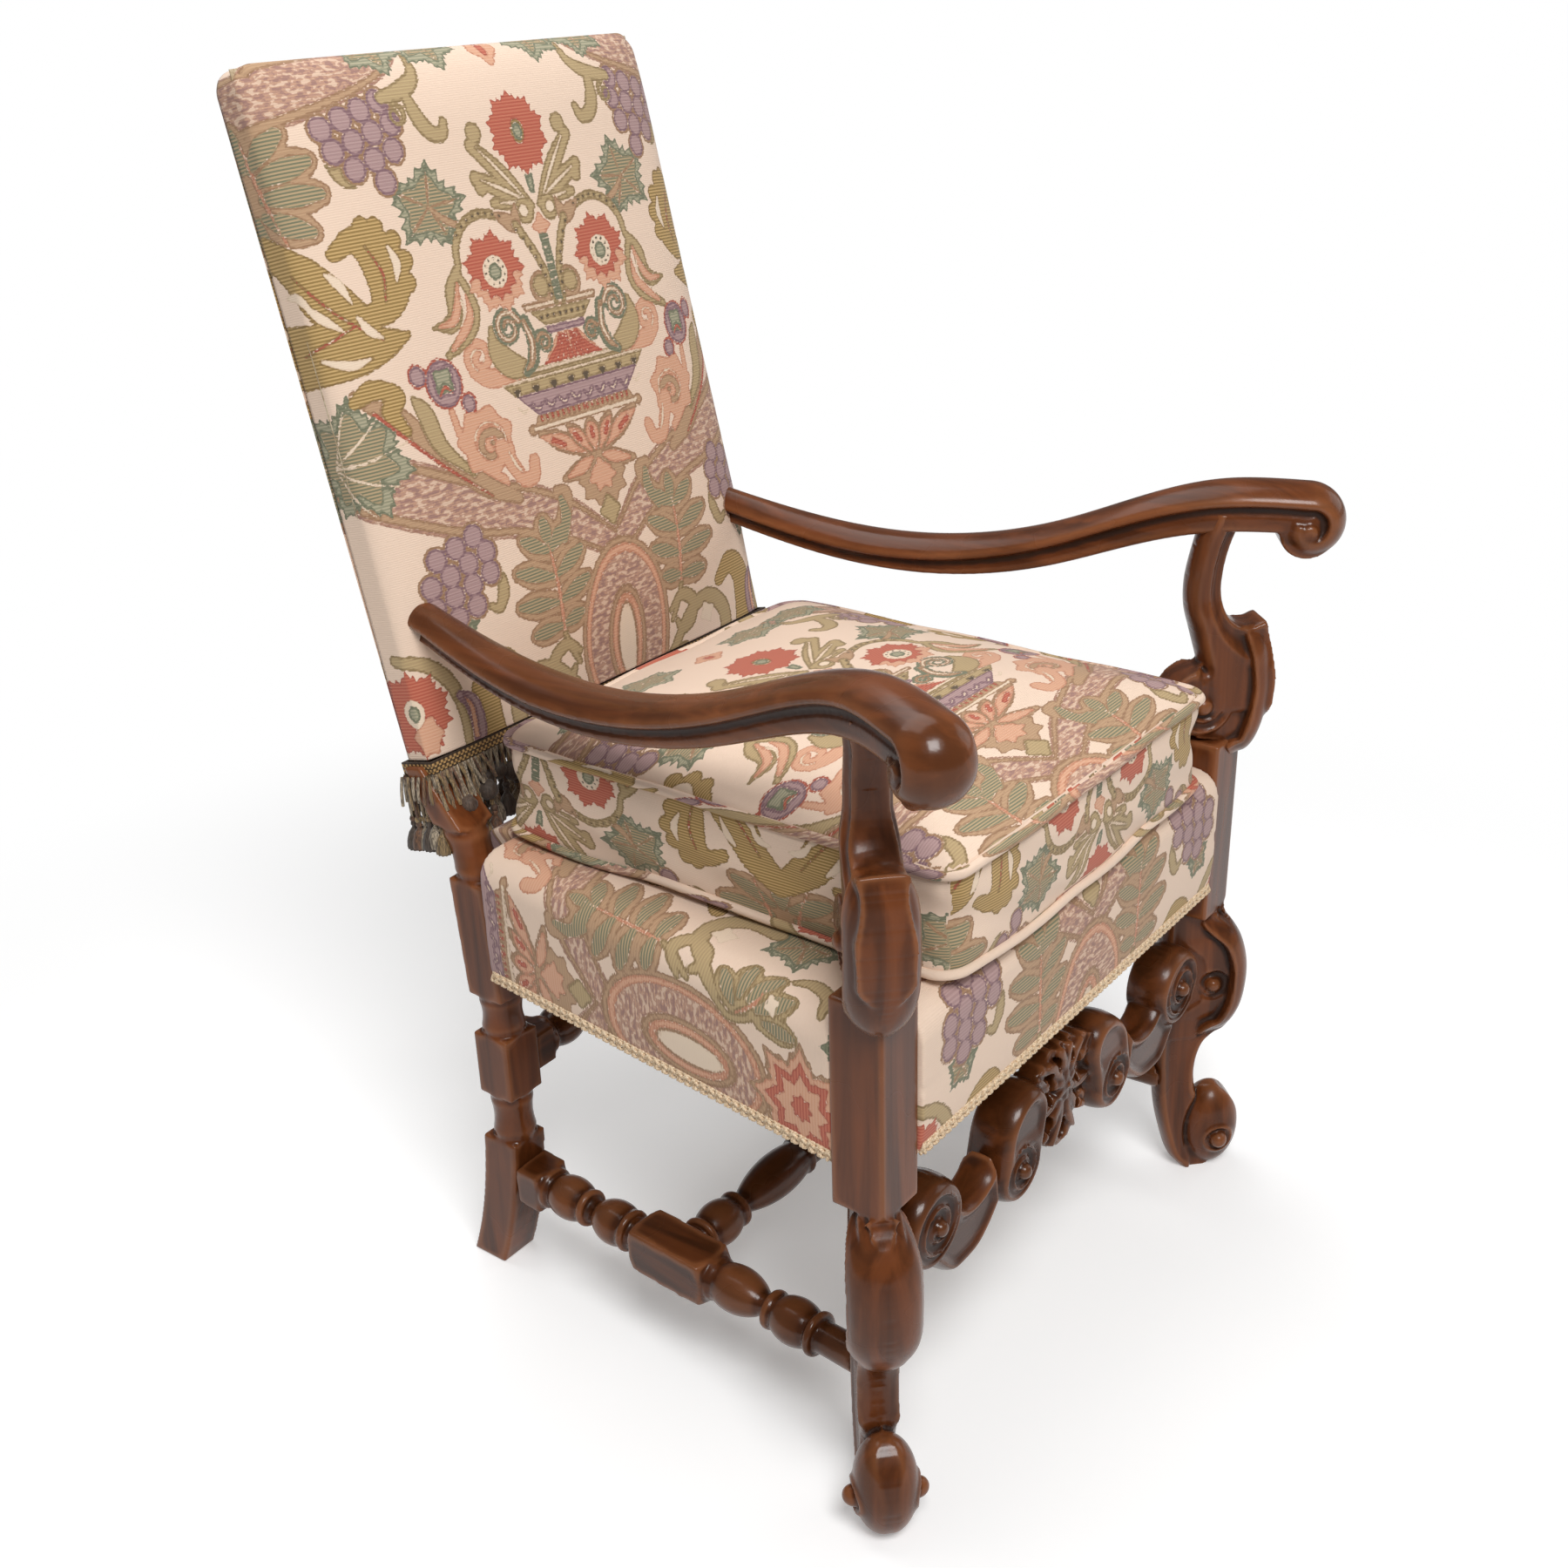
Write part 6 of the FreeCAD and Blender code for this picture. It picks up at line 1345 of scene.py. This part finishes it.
# The filling settles with its cover
def settleFilling():
    obj = copyNode("cushion_filling", "settled_filling")
    remesh(obj, cushion["fillingVoxel"], 2)
    points = settle(pointsOf(obj)) - normalsOf(obj) * cushion["fillingInset"]
    setPoints(obj, points)
    return finish(obj, "seat_cushion", "stuffing", "cushion_filling")


filling = settleFilling()


# Drawn in, turn by turn, until the piping lies along the seam of the cover
def drawnIn(points):
    count = cushion["turns"]
    turn = (np.arctan2(points[:, 1] - cushion["middle"], points[:, 0]) / np.pi + 1) / 2 * count
    slot = turn.astype(int) % count
    share = np.maximum(np.bincount(slot, minlength=count), 1)
    centre = np.column_stack([np.bincount(slot, points[:, k], count) / share for k in range(3)])
    shift = np.zeros_like(centre)
    for k, place in enumerate(centre):
        found, spot, normal, face = cushionCover.closest_point_on_mesh(place)
        shift[k] = np.array(spot) + np.array(normal) * cushion["standOff"] - place
    for again in range(3):
        shift = (np.roll(shift, 1, 0) + 2 * shift + np.roll(shift, -1, 0)) / 4
    print("piping drawn in by up to", round(float(np.linalg.norm(shift, axis=1).max()) * 1000, 1), "mm")
    return points + np.column_stack([np.interp(turn - 0.5, np.arange(count), shift[:, k], period=count)
                                     for k in range(3)])


def makePiping(name):
    obj = copyNode(name, "dressed_" + name)
    fine = obj.modifiers.new("fine", 'REMESH')
    fine.mode, fine.voxel_size = 'VOXEL', cushion["pipingVoxel"]
    applyAll(obj)
    points = drawnIn(settle(pointsOf(obj)))
    setPoints(obj, points)
    bpy.ops.object.shade_smooth()
    x, y, z = points.T * 1000
    printCloth(obj, 40 + x * 0.8 + z * 2, 120 + y * 0.9 + z * 2)
    return finish(obj, "seat_cushion", "piping", name)


for name in ("cushion_piping_top", "cushion_piping_bottom"):
    makePiping(name)
print("cushion and piping made")


def plainCloth(name, colour, second, scale, roughness=0.85):
    mat, nodes, links, bsdf = newMaterial(name)
    place = addNode(nodes, 'ShaderNodeTexCoord')
    noise = addNode(nodes, 'ShaderNodeTexNoise')
    noise.inputs['Scale'].default_value = scale
    noise.inputs['Detail'].default_value = 3
    links.new(place.outputs['Object'], noise.inputs['Vector'])
    share = rampNode(nodes, links, noise.outputs['Fac'], 0.35, 0.65)
    links.new(mixColour(nodes, links, share, screen(colour), screen(second)), bsdf.inputs['Base Color'])
    bsdf.inputs['Roughness'].default_value = roughness
    bsdf.inputs['Specular IOR Level'].default_value = 0.2
    return mat


# Scroll gimp: two looping cords along the lower edge of the seat
gimp = {"pitch": 0.0088, "swing": 0.0036, "rise": 0.0044, "cord": 0.0016, "level": 0.3425, "out": 0.0006,
        "light": (236, 216, 186), "dark": (196, 164, 130)}
gimpThread = plainCloth("gimpThread", gimp["light"], gimp["dark"], 900)


def tubeAlong(label, points, radius, sides=1):
    curve = bpy.data.curves.new(label, 'CURVE')
    curve.dimensions = '3D'
    curve.bevel_depth = radius
    curve.bevel_resolution = sides
    line = curve.splines.new('POLY')
    line.points.add(len(points) - 1)
    line.points.foreach_set("co", np.column_stack((points, np.ones(len(points)))).astype(np.float32).ravel())
    obj = bpy.data.objects.new(label, curve)
    bpy.context.scene.collection.objects.link(obj)
    pick(obj)
    bpy.ops.object.convert(target='MESH')
    obj = bpy.context.active_object
    bpy.ops.object.shade_smooth()
    return obj


def makeGimp():
    front, rear = seatPad["front"] + seatPad["bulge"], seatPad["rear"] - seatPad["bulge"]
    runs = []
    for side in (-1, 1):
        y0, y1 = -0.252, 0.150
        runs.append((np.array((side * (seatSide(y0) - seatPad["bulge"]), y0)),
                     np.array((side * (seatSide(y1) - seatPad["bulge"]), y1))))
    runs.append((np.array((-0.251, front)), np.array((0.251, front))))
    runs.append((np.array((-0.204, rear)), np.array((0.204, rear))))
    cords = []
    for begin, end in runs:
        length = np.linalg.norm(end - begin)
        way = (end - begin) / length
        out = np.array((way[1], -way[0]))
        out = out if np.dot(out, (begin + end) / 2 - (0, -0.05)) > 0 else -out
        count = int(length / gimp["pitch"])
        turn = np.linspace(0, count * 2 * math.pi, count * 14 + 1)
        for flip in (1, -1):
            s = length * turn / turn[-1] + gimp["swing"] * np.sin(turn) * flip
            s = np.clip(s, 0.001, length - 0.001)
            rise = gimp["level"] + gimp["rise"] * np.cos(turn) * flip
            lift = gimp["out"] + gimp["cord"] * (1.2 + 0.9 * np.sin(2 * turn) * flip)
            flat = begin + s[:, None] * way + lift[:, None] * out
            cords.append(tubeAlong("gimpCord", np.column_stack((flat, rise)), gimp["cord"]))
    obj = joinAll("dressed_gimp", cords)
    obj.data.materials.append(gimpThread)
    return finish(obj, "chair_frame", "gimp", "seat_gimp")


makeGimp()
print("gimp laid")

# Fringe under the back: a checked header, looped strands, pompoms and bell tassels
fringe = {"gap": 0.0152, "tilt": 13.4, "half": 0.234, "front": -0.0048, "rear": 0.0338, "drop": 0.027, "bell": 0.046,
          "ball": 0.0082, "strand": 0.0016, "lower": 0.015, "gold": (184, 146, 92), "brown": (58, 44, 32)}


def headerMaterial():
    mat, nodes, links, bsdf = newMaterial("fringeHeader")
    run, level = readAttribute(nodes, "bandRun"), readAttribute(nodes, "bandLevel")
    check = maths(nodes, links, 'MULTIPLY',
                  maths(nodes, links, 'SINE', maths(nodes, links, 'MULTIPLY', run, 2 * math.pi / 5.2)),
                  maths(nodes, links, 'SINE', maths(nodes, links, 'MULTIPLY', level, 2 * math.pi / 5.0)))
    colour = mixColour(nodes, links, rampNode(nodes, links, check, -0.3, 0.3), screen((84, 64, 42)),
                       screen(fringe["gold"]))
    off = maths(nodes, links, 'ABSOLUTE', maths(nodes, links, 'SUBTRACT', level, 8.0))
    colour = mixColour(nodes, links, maths(nodes, links, 'MAXIMUM', rampNode(nodes, links, off, 4.2, 4.7),
                                           rampNode(nodes, links, off, 0.7, 0.3)), colour, screen(fringe["brown"]))
    links.new(colour, bsdf.inputs['Base Color'])
    bsdf.inputs['Roughness'].default_value = 0.7
    bump = addNode(nodes, 'ShaderNodeBump')
    bump.inputs['Strength'].default_value = 0.5
    bump.inputs['Distance'].default_value = 0.0008
    links.new(check, bump.inputs['Height'])
    links.new(bump.outputs['Normal'], bsdf.inputs['Normal'])
    return mat


def tasselMaterial():
    mat, nodes, links, bsdf = newMaterial("tasselThread")
    place = addNode(nodes, 'ShaderNodeTexCoord')
    stretch = addNode(nodes, 'ShaderNodeMapping')
    stretch.inputs['Scale'].default_value = (1, 1, 0.08)
    links.new(place.outputs['Object'], stretch.inputs['Vector'])
    noise = addNode(nodes, 'ShaderNodeTexNoise')
    noise.inputs['Scale'].default_value = 1100
    noise.inputs['Detail'].default_value = 2
    links.new(stretch.outputs['Vector'], noise.inputs['Vector'])
    tint = readAttribute(nodes, "tint")
    colour = mixColour(nodes, links, rampNode(nodes, links, tint, 0.1, 0.3), screen((80, 68, 58)),
                       screen((120, 84, 60)))
    colour = mixColour(nodes, links, rampNode(nodes, links, tint, 0.38, 0.55), colour, screen((150, 124, 84)))
    colour = mixColour(nodes, links, rampNode(nodes, links, tint, 0.66, 0.85), colour, screen((178, 162, 138)))
    dark = rampNode(nodes, links, noise.outputs['Fac'], 0.42, 0.6, 0.75, 0)
    links.new(mixColour(nodes, links, dark, colour, screen((52, 40, 32))), bsdf.inputs['Base Color'])
    bsdf.inputs['Roughness'].default_value = 0.62
    bsdf.inputs['Sheen Weight'].default_value = 0.15
    return mat


def makeHeader():
    obj = copyNode("fringe_header", "dressed_fringe_header")
    x, y, z = pointsOf(obj).T
    lean = math.radians(fringe["tilt"])
    level = (z - backPad["low"][1]) * math.cos(lean) + (y - backPad["low"][0]) * math.sin(lean)
    depth = (y - backPad["low"][0]) * math.cos(lean) - (z - backPad["low"][1]) * math.sin(lean)
    store(obj, "bandLevel", level * 1000)
    store(obj, "bandRun", (x + depth) * 1000)
    setPoints(obj, pointsOf(obj) - np.array((0, math.sin(lean), math.cos(lean))) * fringe["lower"])
    obj.data.materials.append(headerMaterial())
    return finish(obj, "chair_frame", "fringe_header", "fringe_header")


def makeBell():
    bpy.ops.object.select_all(action='DESELECT')
    bpy.ops.mesh.primitive_circle_add(vertices=24, radius=0.0012, fill_type='NGON')
    obj = bpy.context.active_object
    bpy.ops.object.mode_set(mode='EDIT')
    bpy.ops.mesh.select_all(action='SELECT')
    level, size = 0.0, 1.2
    for depth, radius in ((1.2, 2.5), (3.2, 2.7), (4.8, 1.7), (6.2, 2.4), (10, 4.6), (16, 6.3), (21, 6.7), (23.6, 6.2),
                          (23.8, 3.0)):
        bpy.ops.mesh.extrude_region_move(TRANSFORM_OT_translate={"value": (0, 0, (level - depth) / 1000)})
        bpy.ops.transform.resize(value=(radius / size, radius / size, 1), center_override=(0, 0, -depth / 1000))
        level, size = depth, radius
    bpy.ops.mesh.select_all(action='SELECT')
    bpy.ops.mesh.normals_make_consistent(inside=False)
    bpy.ops.object.mode_set(mode='OBJECT')
    points = pointsOf(obj)
    angle = np.arctan2(points[:, 1], points[:, 0])
    flute = 1 + 0.1 * np.cos(12 * angle) * ramp(-0.005, -0.012, points[:, 2])
    points[:, :2] *= flute[:, None]
    setPoints(obj, points)
    bpy.ops.object.shade_smooth()
    return obj


def makePompom():
    bpy.ops.object.select_all(action='DESELECT')
    bpy.ops.mesh.primitive_ico_sphere_add(subdivisions=3, radius=fringe["ball"])
    obj = bpy.context.active_object
    points = pointsOf(obj)
    x, y, z = (points * 1900).T
    fuzz = 1 + 0.07 * np.sin(x * 1.7 + 2 * np.sin(y)) * np.sin(y * 1.3 + 2 * np.sin(z)) + 0.05 * np.sin(z * 2.3 + x)
    setPoints(obj, points * fuzz[:, None])
    bpy.ops.object.shade_smooth()
    return obj


def placed(source, shift, scale, tint):
    obj = source.copy()
    obj.data = source.data.copy()
    bpy.context.scene.collection.objects.link(obj)
    setPoints(obj, pointsOf(obj) * scale + shift)
    store(obj, "tint", np.full(len(obj.data.vertices), tint))
    return obj


def makeTassels():
    bell, pompom = makeBell(), makePompom()
    chance = np.random.default_rng(4)
    lean = math.radians(fringe["tilt"])
    hooks = []
    for x in np.arange(-fringe["half"], fringe["half"] + 0.001, fringe["gap"]):
        hooks += [(x, fringe["front"], 0), (x, fringe["rear"], 0)]
    for side in (-1, 1):
        hooks += [(side * 0.2415, n, 0) for n in np.arange(-0.008, 0.034, 0.0075)]
        hooks += [(side * x, -0.008, -0.016) for x in np.arange(0.192, 0.24, 0.0085)]
    parts = []
    for k, (x, n, push) in enumerate(hooks):
        rise = 0.003 - fringe["lower"]
        top = np.array((x, backPad["low"][0] + rise * math.sin(lean) + n * math.cos(lean),
                        backPad["low"][1] + rise * math.cos(lean) - n * math.sin(lean)))
        sway = chance.normal(0, 0.0016, 2)
        low = top + (sway[0], push + sway[1] * 0.6, -fringe["bell"] + chance.normal(0, 0.0014))
        mid = top + (fringe["gap"] / 2 + chance.normal(0, 0.001), 0.8 * push + chance.normal(0, 0.0012),
                     -fringe["drop"] + chance.normal(0, 0.0035))
        tints = chance.random(3)
        parts.append(placed(bell, low, 1.08 + 0.12 * chance.random(), tints[0]))
        if abs(x) < 0.19 or k % 3 == 0:
            parts.append(placed(pompom, mid, 0.85 + 0.3 * chance.random(), 0.22 * tints[1]))
        parts.append(placed(pompom, low + (0, 0, 0.002), 0.42, tints[2]))
        for start, finishAt, bend in ((-0.003, low, 0.003), (0, low, 0.001), (0.003, low, -0.004), (0.005, mid, 0.001),
                                      (0.007, mid, 0), (-0.006, mid - (fringe["gap"], 0, 0), -0.002)):
            begin = top + (start, 0, 0)
            steps = np.linspace(0, 1, 6)[:, None]
            route = begin + (finishAt - begin) * steps + np.array((bend, -0.0012, 0)) * np.sin(math.pi * steps)
            strand = tubeAlong("strand", route, fringe["strand"])
            store(strand, "tint", np.full(len(strand.data.vertices), 0.3 + 0.7 * chance.random()))
            parts.append(strand)
    bpy.data.objects.remove(bell)
    bpy.data.objects.remove(pompom)
    obj = joinAll("dressed_fringe_tassels", parts)
    obj.data.materials.clear()
    obj.data.materials.append(tasselMaterial())
    return finish(obj, "chair_frame", "fringe_tassels", "fringe_tassels")


makeHeader()
makeTassels()
print("fringe hung")

# Frame and stuffing inside the upholstery
hidden = {"frameBeech": ((198, 160, 116), (176, 136, 94), 40,
                         ("front_rail", "rear_rail", "side_rail_left", "side_rail_right", "corner_blocks",
                          "back_top_rail", "back_lower_rail")),
          "webbingJute": ((170, 138, 94), (132, 102, 66), 400,
                          ("seat_webbing_long", "seat_webbing_cross", "back_webbing_long", "back_webbing_cross")),
          "hessianCloth": ((184, 152, 108), (150, 120, 82), 600, ("seat_hessian",)),
          "stuffingHair": ((206, 190, 162), (168, 146, 116), 300, ("seat_stuffing", "back_stuffing"))}
for name, (light, dark, scale, nodes) in hidden.items():
    mat = plainCloth(name, light, dark, scale)
    for node in nodes:
        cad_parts[node].data.materials.clear()
        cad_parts[node].data.materials.append(mat)
filling.data.materials.append(bpy.data.materials["stuffingHair"])

# Camera, solved from the photograph
shot = {"place": (-1.1929, -0.90795, 1.1693), "turn": -52.42, "height": 24.97, "roll": -1.80, "lens": 41.52}


def setCamera():
    turn, height, roll = (math.radians(shot[key]) for key in ("turn", "height", "roll"))
    right = Vector((math.cos(turn), math.sin(turn), 0))
    back = Vector((math.sin(turn) * math.cos(height), -math.cos(turn) * math.cos(height), math.sin(height)))
    up = back.cross(right)
    across = right * math.cos(roll) + up * math.sin(roll)
    upright = up * math.cos(roll) - right * math.sin(roll)
    bpy.ops.object.camera_add()
    camera = bpy.context.active_object
    camera.data.lens = shot["lens"]
    camera.data.sensor_width = 36
    camera.data.clip_end = 60
    turned = Matrix((across, upright, back)).transposed().to_4x4()
    camera.matrix_world = Matrix.Translation(shot["place"]) @ turned
    bpy.context.scene.camera = camera


setCamera()

# Pale floor, soft lamps and a white surround
studio = {"floor": 9.0, "paper": (0.86, 0.86, 0.86), "lift": 0.26, "key": 80, "fill": 11, "top": 38, "sky": 0.18}


def lookAt(obj, target):
    obj.rotation_euler = (Vector(target) - obj.location).to_track_quat('-Z', 'Y').to_euler()


def softLamp(name, place, target, size, watts):
    bpy.ops.object.light_add(type='AREA', location=place)
    lamp = bpy.context.active_object
    lamp.name = name
    lamp.data.shape = 'RECTANGLE'
    lamp.data.size, lamp.data.size_y = size
    lamp.data.energy = watts
    lookAt(lamp, target)
    return lamp


def seenRay(nodes, links):
    path = addNode(nodes, 'ShaderNodeLightPath')
    seen = maths(nodes, links, 'MAXIMUM', path.outputs['Is Camera Ray'], path.outputs['Is Glossy Ray'])
    return maths(nodes, links, 'MAXIMUM', seen, path.outputs['Is Transmission Ray'])


def setStage():
    bpy.ops.object.select_all(action='DESELECT')
    bpy.ops.mesh.primitive_plane_add(size=studio["floor"] * 2)
    floor = bpy.context.active_object
    floor.name = "floor"
    mat, nodes, links, bsdf = newMaterial("floorPaper")
    bsdf.inputs['Base Color'].default_value = studio["paper"] + (1,)
    bsdf.inputs['Roughness'].default_value = 0.9
    bsdf.inputs['Specular IOR Level'].default_value = 0.1
    seen = seenRay(nodes, links)
    glow = addNode(nodes, 'ShaderNodeEmission')
    links.new(maths(nodes, links, 'MULTIPLY', seen, studio["lift"]), glow.inputs['Strength'])
    both = addNode(nodes, 'ShaderNodeAddShader')
    links.new(bsdf.outputs[0], both.inputs[0])
    links.new(glow.outputs[0], both.inputs[1])
    white = addNode(nodes, 'ShaderNodeEmission')
    place = addNode(nodes, 'ShaderNodeTexCoord')
    far = addNode(nodes, 'ShaderNodeVectorMath', operation='LENGTH')
    links.new(place.outputs['Object'], far.inputs[0])
    fade = rampNode(nodes, links, far.outputs['Value'], 0.75, 1.5)
    blend = addNode(nodes, 'ShaderNodeMixShader')
    links.new(maths(nodes, links, 'MULTIPLY', fade, seen), blend.inputs[0])
    links.new(both.outputs[0], blend.inputs[1])
    links.new(white.outputs[0], blend.inputs[2])
    links.new(blend.outputs[0], nodes["Material Output"].inputs['Surface'])
    floor.data.materials.append(mat)
    softLamp("keyLamp", (-1.35, -1.65, 2.9), (0, 0, 0.6), (1.3, 1.1), studio["key"])
    softLamp("fillLamp", (2.4, -1.6, 1.7), (0, 0, 0.5), (1.6, 1.6), studio["fill"])
    softLamp("topLamp", (0.2, 0.9, 3.0), (0, 0, 0.5), (2.2, 2.2), studio["top"])
    world = bpy.data.worlds.new("surround")
    bpy.context.scene.world = world
    world.use_nodes = True
    nodes, links = world.node_tree.nodes, world.node_tree.links
    light = nodes["Background"]
    light.inputs['Color'].default_value = (1, 1, 1, 1)
    seen = addNode(nodes, 'ShaderNodeLightPath').outputs['Is Camera Ray']
    links.new(rampNode(nodes, links, seen, 0, 1, studio["sky"], 1.0), light.inputs['Strength'])
    bpy.context.scene.view_settings.view_transform = 'Standard'


setStage()
print("camera and lamps set")
